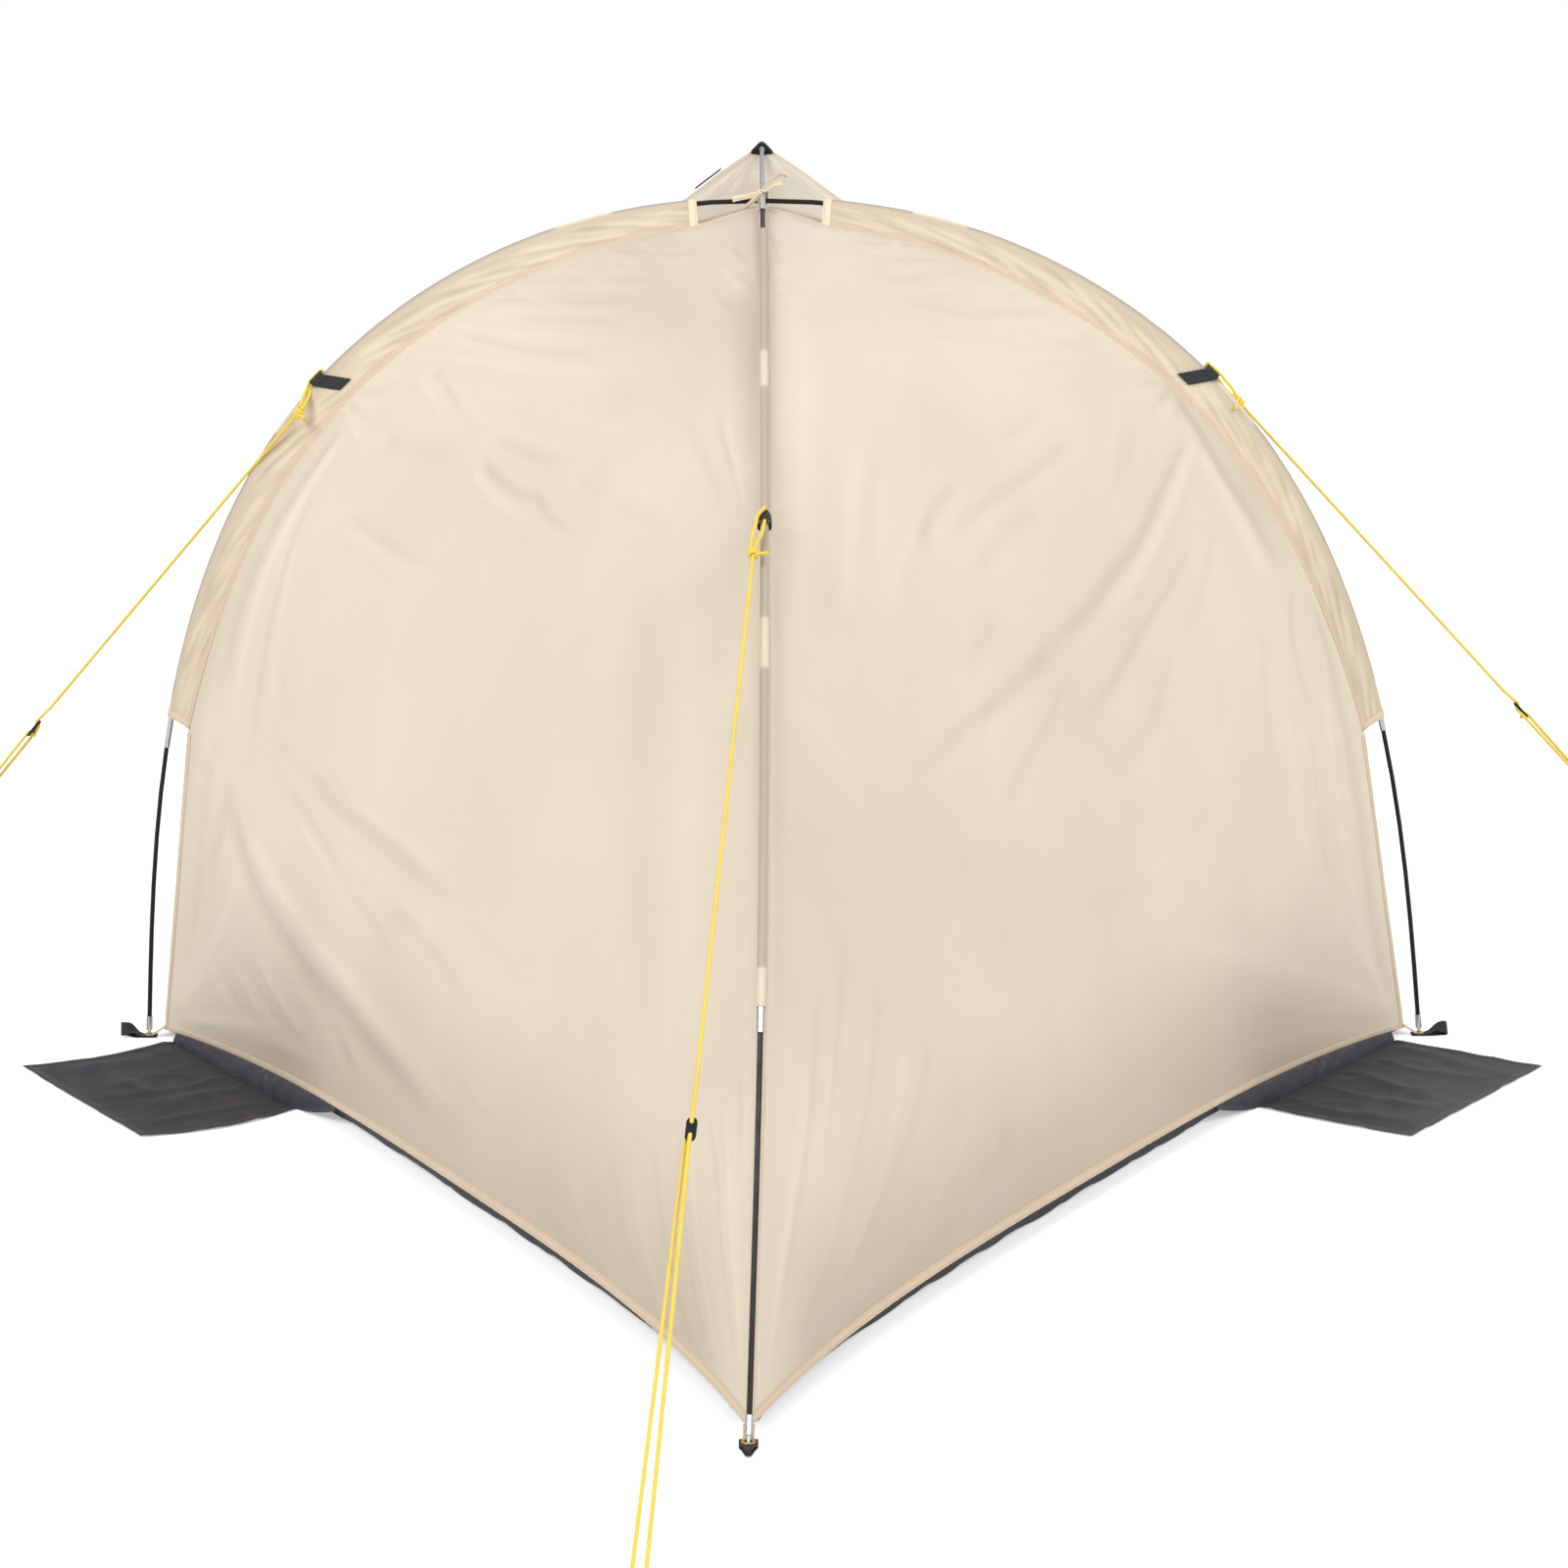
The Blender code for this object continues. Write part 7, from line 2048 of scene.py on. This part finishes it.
def build_crossing_tie():
    centre = ARCH.at(ARCH_CROSSING)
    diagonal = Vector((1.0, 1.0, 0.0)).normalized()
    across = diagonal.cross(UP)
    points = [centre + diagonal * p + Vector((0.0, 0.0, q)) for p, q in TIE_LOOP]
    line = smooth_line(points, 5, closed=True)
    ring = level_sweep("crossing_tie_loop", line, across, tape_profile(0.010, 0.0012), caps=False)
    place(ring, cloth("Tie tape"), "peach", BODY, ("crossing_tie",))
    turns = np.linspace(0, 2 * math.pi, 49)
    middle = triple(centre + Vector((-0.001, -0.0100, 0.0150)))
    a = np.array((1.0, 0.0, 0.0))
    b = np.array((0.0, 0.0, 1.0))
    up = np.array((0.0, -1.0, 0.0))
    knot_line = middle + 0.0030 * (np.cos(turns)[:, None] * a + np.sin(turns)[:, None] * b) \
        + 0.0016 * np.sin(2 * turns)[:, None] * up
    s, u = turning_frames(knot_line, tuple(up))
    knot = sweep("crossing_tie_knot", knot_line, s, u, tape_profile(0.0085, 0.0032), caps=False)
    place(knot, cloth("Tie tape"), "peach")
    for k, tail in enumerate(TIE_TAILS):
        line = smooth_line([centre + Vector(p) for p in tail], 7)
        runs = line_tangents(line)
        flat = np.cross(runs, np.array((0.0, 1.0, 0.12)))
        flat = flat / np.linalg.norm(flat, axis=1, keepdims=True)
        ups = np.cross(runs, flat)
        twist = np.linspace(0.0, TIE_TWISTS[k], len(line))[:, None]
        sides = flat * np.cos(twist) + ups * np.sin(twist)
        ups = np.cross(runs, sides)
        wide = np.linspace(0.75, 1.0, len(line))[:, None]
        profile = tape_profile(TIE_WIDTHS[k], 0.0011)
        piece = sweep(f"crossing_tie_tail_{k + 1}", line, sides * wide, ups, profile)
        place(piece, cloth("Tie tape"), "peach")


# Poles and hard parts, which keep their CAD shapes


def finish_hard_parts():
    parts = hardware_set()
    rod = hard_finish("Black fibreglass", tuple(parts.rod_colour), 0.44, 0.0, (0.026, 0.026, 0.027),
                      scuff=0.5, size=0.03, coat=0.04, gloss=0.22)
    top_rod = hard_finish("Grey fibreglass", tuple(parts.top_rod_colour), 0.36, 0.35, (0.22, 0.22, 0.23),
                          scuff=0.4, size=0.03, coat=0.2)
    steel = hard_finish("Drawn steel", tuple(parts.steel_colour), 0.30, 1.0, (0.42, 0.43, 0.45),
                        scuff=0.6, size=0.012)
    brass = hard_finish("Pressed brass", tuple(parts.brass_colour), 0.30, 1.0, (0.42, 0.27, 0.10),
                        scuff=0.6, size=0.004)
    plastic = hard_finish("Moulded black", tuple(parts.plastic_colour), 0.44, 0.0, (0.04, 0.04, 0.042),
                          scuff=0.35, size=0.006, gloss=0.3)
    elastic = hard_finish("Elastic cord", (0.75, 0.75, 0.72), 0.7, 0.0, (0.5, 0.5, 0.48),
                          scuff=0.4, size=0.004)
    for name, item in frame["nodes"].items():
        if item.hide_render:
            continue
        finish = None
        if "_rod_" in name:
            finish = top_rod if name == "ridge_rod_5" else rod
        elif "_ferrule_" in name or "_tip_" in name:
            finish = steel
        elif "eyelet" in name:
            finish = brass
        elif "runner" in name or name == "peak_cap":
            finish = plastic
        elif "shock_cord" in name:
            finish = elastic
        if finish is None:
            raise RuntimeError(f"{name} has no finish of its own")
        for spot in item.material_slots:
            spot.link = "OBJECT"
            spot.material = finish


# Camera and stage


def build_camera():
    data = bpy.data.cameras.new("Camera")
    data.sensor_width = SENSOR_WIDTH
    data.lens = FOCAL_PIXELS * SENSOR_WIDTH / FRAME_PIXELS
    data.clip_start = 0.1
    data.clip_end = 200.0
    item = bpy.data.objects.new("Camera", data)
    item.location = CAMERA_PLACE
    item.rotation_euler = CAMERA_TURN
    bpy.context.scene.collection.objects.link(item)
    bpy.context.scene.camera = item


def soft_light(name, spot, power, width):
    lamp = bpy.data.lights.new(name, "SUN")
    lamp.energy = power
    lamp.angle = math.radians(width)
    item = bpy.data.objects.new(name, lamp)
    item.location = spot
    item.rotation_euler = (-Vector(spot)).to_track_quat("-Z", "Y").to_euler()
    bpy.context.scene.collection.objects.link(item)
    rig.stage(item)


def build_stage():
    stage = stage_set()
    mesh = bpy.data.meshes.new("studio_floor")
    corners = [(x * FLOOR_REACH, y * FLOOR_REACH, 0) for x, y in ((-1, -1), (1, -1), (1, 1), (-1, 1))]
    mesh.from_pydata(corners, [], [(0, 1, 2, 3)])
    floor = bpy.data.objects.new("studio_floor", mesh)
    bpy.context.scene.collection.objects.link(floor)
    made, tree, shader = blank("Studio floor")
    shader.inputs["Base Color"].default_value = (*stage.floor_colour, 1.0)
    shader.inputs["Roughness"].default_value = 0.9
    shader.inputs["Specular IOR Level"].default_value = 0.1
    shader.inputs["Emission Color"].default_value = (1.0, 1.0, 1.0, 1.0)
    seen = put(tree, "ShaderNodeLightPath").outputs["Is Camera Ray"]
    tree.links.new(calc(tree, "MULTIPLY", seen, stage.shadow_lift), shader.inputs["Emission Strength"])
    mesh.materials.append(made)
    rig.stage(floor)
    soft_light("key_light", (-4.2, -3.4, 5.0), stage.key_power, 30.0)
    soft_light("fill_light", (4.6, -3.6, 4.6), stage.key_power * 0.85, 40.0)
    soft_light("front_light", (1.5, 5.5, 4.4), stage.key_power * 0.25, 50.0)
    world = bpy.data.worlds.new("Surround")
    world.use_nodes = True
    tree = world.node_tree
    back = tree.nodes["Background"]
    back.inputs["Color"].default_value = (1.0, 1.0, 1.0, 1.0)
    seen = put(tree, "ShaderNodeLightPath").outputs["Is Camera Ray"]
    tree.links.new(ease(tree, seen, 0.0, 1.0, stage.sky_strength, 1.0), back.inputs["Strength"])
    bpy.context.scene.world = world
    bpy.context.scene.view_settings.view_transform = "Standard"


# Operators, panel and the run of the script


class BEACHTENT_OT_camera(Operator):
    """Add the camera at the photograph's viewing angle"""
    bl_idname = "beachtent.camera"
    bl_label = "Camera"
    bl_options = {"REGISTER", "UNDO"}

    def execute(self, context):
        build_camera()
        return {"FINISHED"}


class BEACHTENT_OT_guy_lines(Operator):
    """Run the three braided guy lines from their tabs through the runners to their peg loops"""
    bl_idname = "beachtent.guy_lines"
    bl_label = "Guy lines"
    bl_options = {"REGISTER", "UNDO"}

    def execute(self, context):
        build_guy_lines()
        return {"FINISHED"}


class BEACHTENT_OT_walls(Operator):
    """Hang the two walls with their folds, hems and ridge tapes"""
    bl_idname = "beachtent.walls"
    bl_label = "Walls"
    bl_options = {"REGISTER", "UNDO"}

    def execute(self, context):
        build_walls()
        return {"FINISHED"}


class BEACHTENT_OT_sleeves(Operator):
    """Sew the pole sleeves of the arch and the ridge, with their hems and seam tapes"""
    bl_idname = "beachtent.sleeves"
    bl_label = "Pole sleeves"
    bl_options = {"REGISTER", "UNDO"}

    def execute(self, context):
        build_sleeves()
        return {"FINISHED"}


class BEACHTENT_OT_brow(Operator):
    """Stretch the brow over the entrance, with its hem and webbing strap"""
    bl_idname = "beachtent.brow"
    bl_label = "Brow"
    bl_options = {"REGISTER", "UNDO"}

    def execute(self, context):
        build_brow()
        return {"FINISHED"}


class BEACHTENT_OT_groundsheet(Operator):
    """Lay the groundsheet with its raised rims"""
    bl_idname = "beachtent.groundsheet"
    bl_label = "Groundsheet"
    bl_options = {"REGISTER", "UNDO"}

    def execute(self, context):
        build_groundsheet()
        return {"FINISHED"}


class BEACHTENT_OT_sand_flaps(Operator):
    """Lay the two sand flaps with their hems"""
    bl_idname = "beachtent.sand_flaps"
    bl_label = "Sand flaps"
    bl_options = {"REGISTER", "UNDO"}

    def execute(self, context):
        build_flaps()
        return {"FINISHED"}


class BEACHTENT_OT_gussets(Operator):
    """Sew the puckered gussets between the flaps and the walls"""
    bl_idname = "beachtent.gussets"
    bl_label = "Gussets"
    bl_options = {"REGISTER", "UNDO"}

    def execute(self, context):
        build_gussets()
        return {"FINISHED"}


class BEACHTENT_OT_foot_straps(Operator):
    """Fold the webbing straps at the three feet and their corner tapes"""
    bl_idname = "beachtent.foot_straps"
    bl_label = "Foot straps"
    bl_options = {"REGISTER", "UNDO"}

    def execute(self, context):
        build_feet()
        return {"FINISHED"}


class BEACHTENT_OT_guy_tabs(Operator):
    """Wrap the webbing guy tabs round the sleeves"""
    bl_idname = "beachtent.guy_tabs"
    bl_label = "Guy tabs"
    bl_options = {"REGISTER", "UNDO"}

    def execute(self, context):
        build_guy_tabs()
        return {"FINISHED"}


class BEACHTENT_OT_crossing_tie(Operator):
    """Tie the tape bow where the poles cross"""
    bl_idname = "beachtent.crossing_tie"
    bl_label = "Crossing tie"
    bl_options = {"REGISTER", "UNDO"}

    def execute(self, context):
        build_crossing_tie()
        return {"FINISHED"}


class BEACHTENT_OT_hard_parts(Operator):
    """Finish the rods, ferrules, tips, eyelets, runners and cap"""
    bl_idname = "beachtent.hard_parts"
    bl_label = "Poles and hard parts"
    bl_options = {"REGISTER", "UNDO"}

    def execute(self, context):
        finish_hard_parts()
        return {"FINISHED"}


class BEACHTENT_OT_stage(Operator):
    """Set up the pale floor and the soft studio lights"""
    bl_idname = "beachtent.stage"
    bl_label = "Studio stage"
    bl_options = {"REGISTER", "UNDO"}

    def execute(self, context):
        build_stage()
        return {"FINISHED"}


STEPS = (
    BEACHTENT_OT_camera, BEACHTENT_OT_guy_lines, BEACHTENT_OT_walls, BEACHTENT_OT_sleeves, BEACHTENT_OT_brow,
    BEACHTENT_OT_groundsheet, BEACHTENT_OT_sand_flaps, BEACHTENT_OT_gussets, BEACHTENT_OT_foot_straps,
    BEACHTENT_OT_guy_tabs, BEACHTENT_OT_crossing_tie, BEACHTENT_OT_hard_parts, BEACHTENT_OT_stage,
)


class BEACHTENT_PT_panel(Panel):
    """The tent's settings and build steps"""
    bl_idname = "BEACHTENT_PT_panel"
    bl_label = "Beach Tent"
    bl_space_type = "VIEW_3D"
    bl_region_type = "UI"
    bl_category = "Beach Tent"

    def draw(self, context):
        scene = context.scene
        for label, settings in (
            ("Cloth", scene.beach_tent_cloth), ("Hardware", scene.beach_tent_hardware),
            ("Guy lines", scene.beach_tent_lines), ("Stage", scene.beach_tent_stage),
        ):
            box = self.layout.box()
            box.label(text=label)
            for name in settings.bl_rna.properties.keys():
                if name not in {"rna_type", "name"}:
                    box.prop(settings, name)
        column = self.layout.column(align=True)
        for step in STEPS:
            column.operator(step.bl_idname)


SETTINGS = (
    ("beach_tent_cloth", BeachTentCloth), ("beach_tent_hardware", BeachTentHardware),
    ("beach_tent_lines", BeachTentLines), ("beach_tent_stage", BeachTentStage),
)


def register():
    for label, kind in SETTINGS:
        bpy.utils.register_class(kind)
        setattr(bpy.types.Scene, label, PointerProperty(type=kind))
    for kind in (*STEPS, BEACHTENT_PT_panel):
        bpy.utils.register_class(kind)


def unregister():
    for kind in reversed((*STEPS, BEACHTENT_PT_panel)):
        bpy.utils.unregister_class(kind)
    for label, kind in reversed(SETTINGS):
        delattr(bpy.types.Scene, label)
        bpy.utils.unregister_class(kind)


def main():
    register()
    for step in STEPS:
        group, name = step.bl_idname.split(".")
        getattr(getattr(bpy.ops, group), name)()
    low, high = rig.bounds()
    with open("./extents.json", "w") as made:
        json.dump({"cad": [list(v) for v in CAD_BOX], "visual": [list(low), list(high)]}, made)


if __name__ == "__main__":
    main()
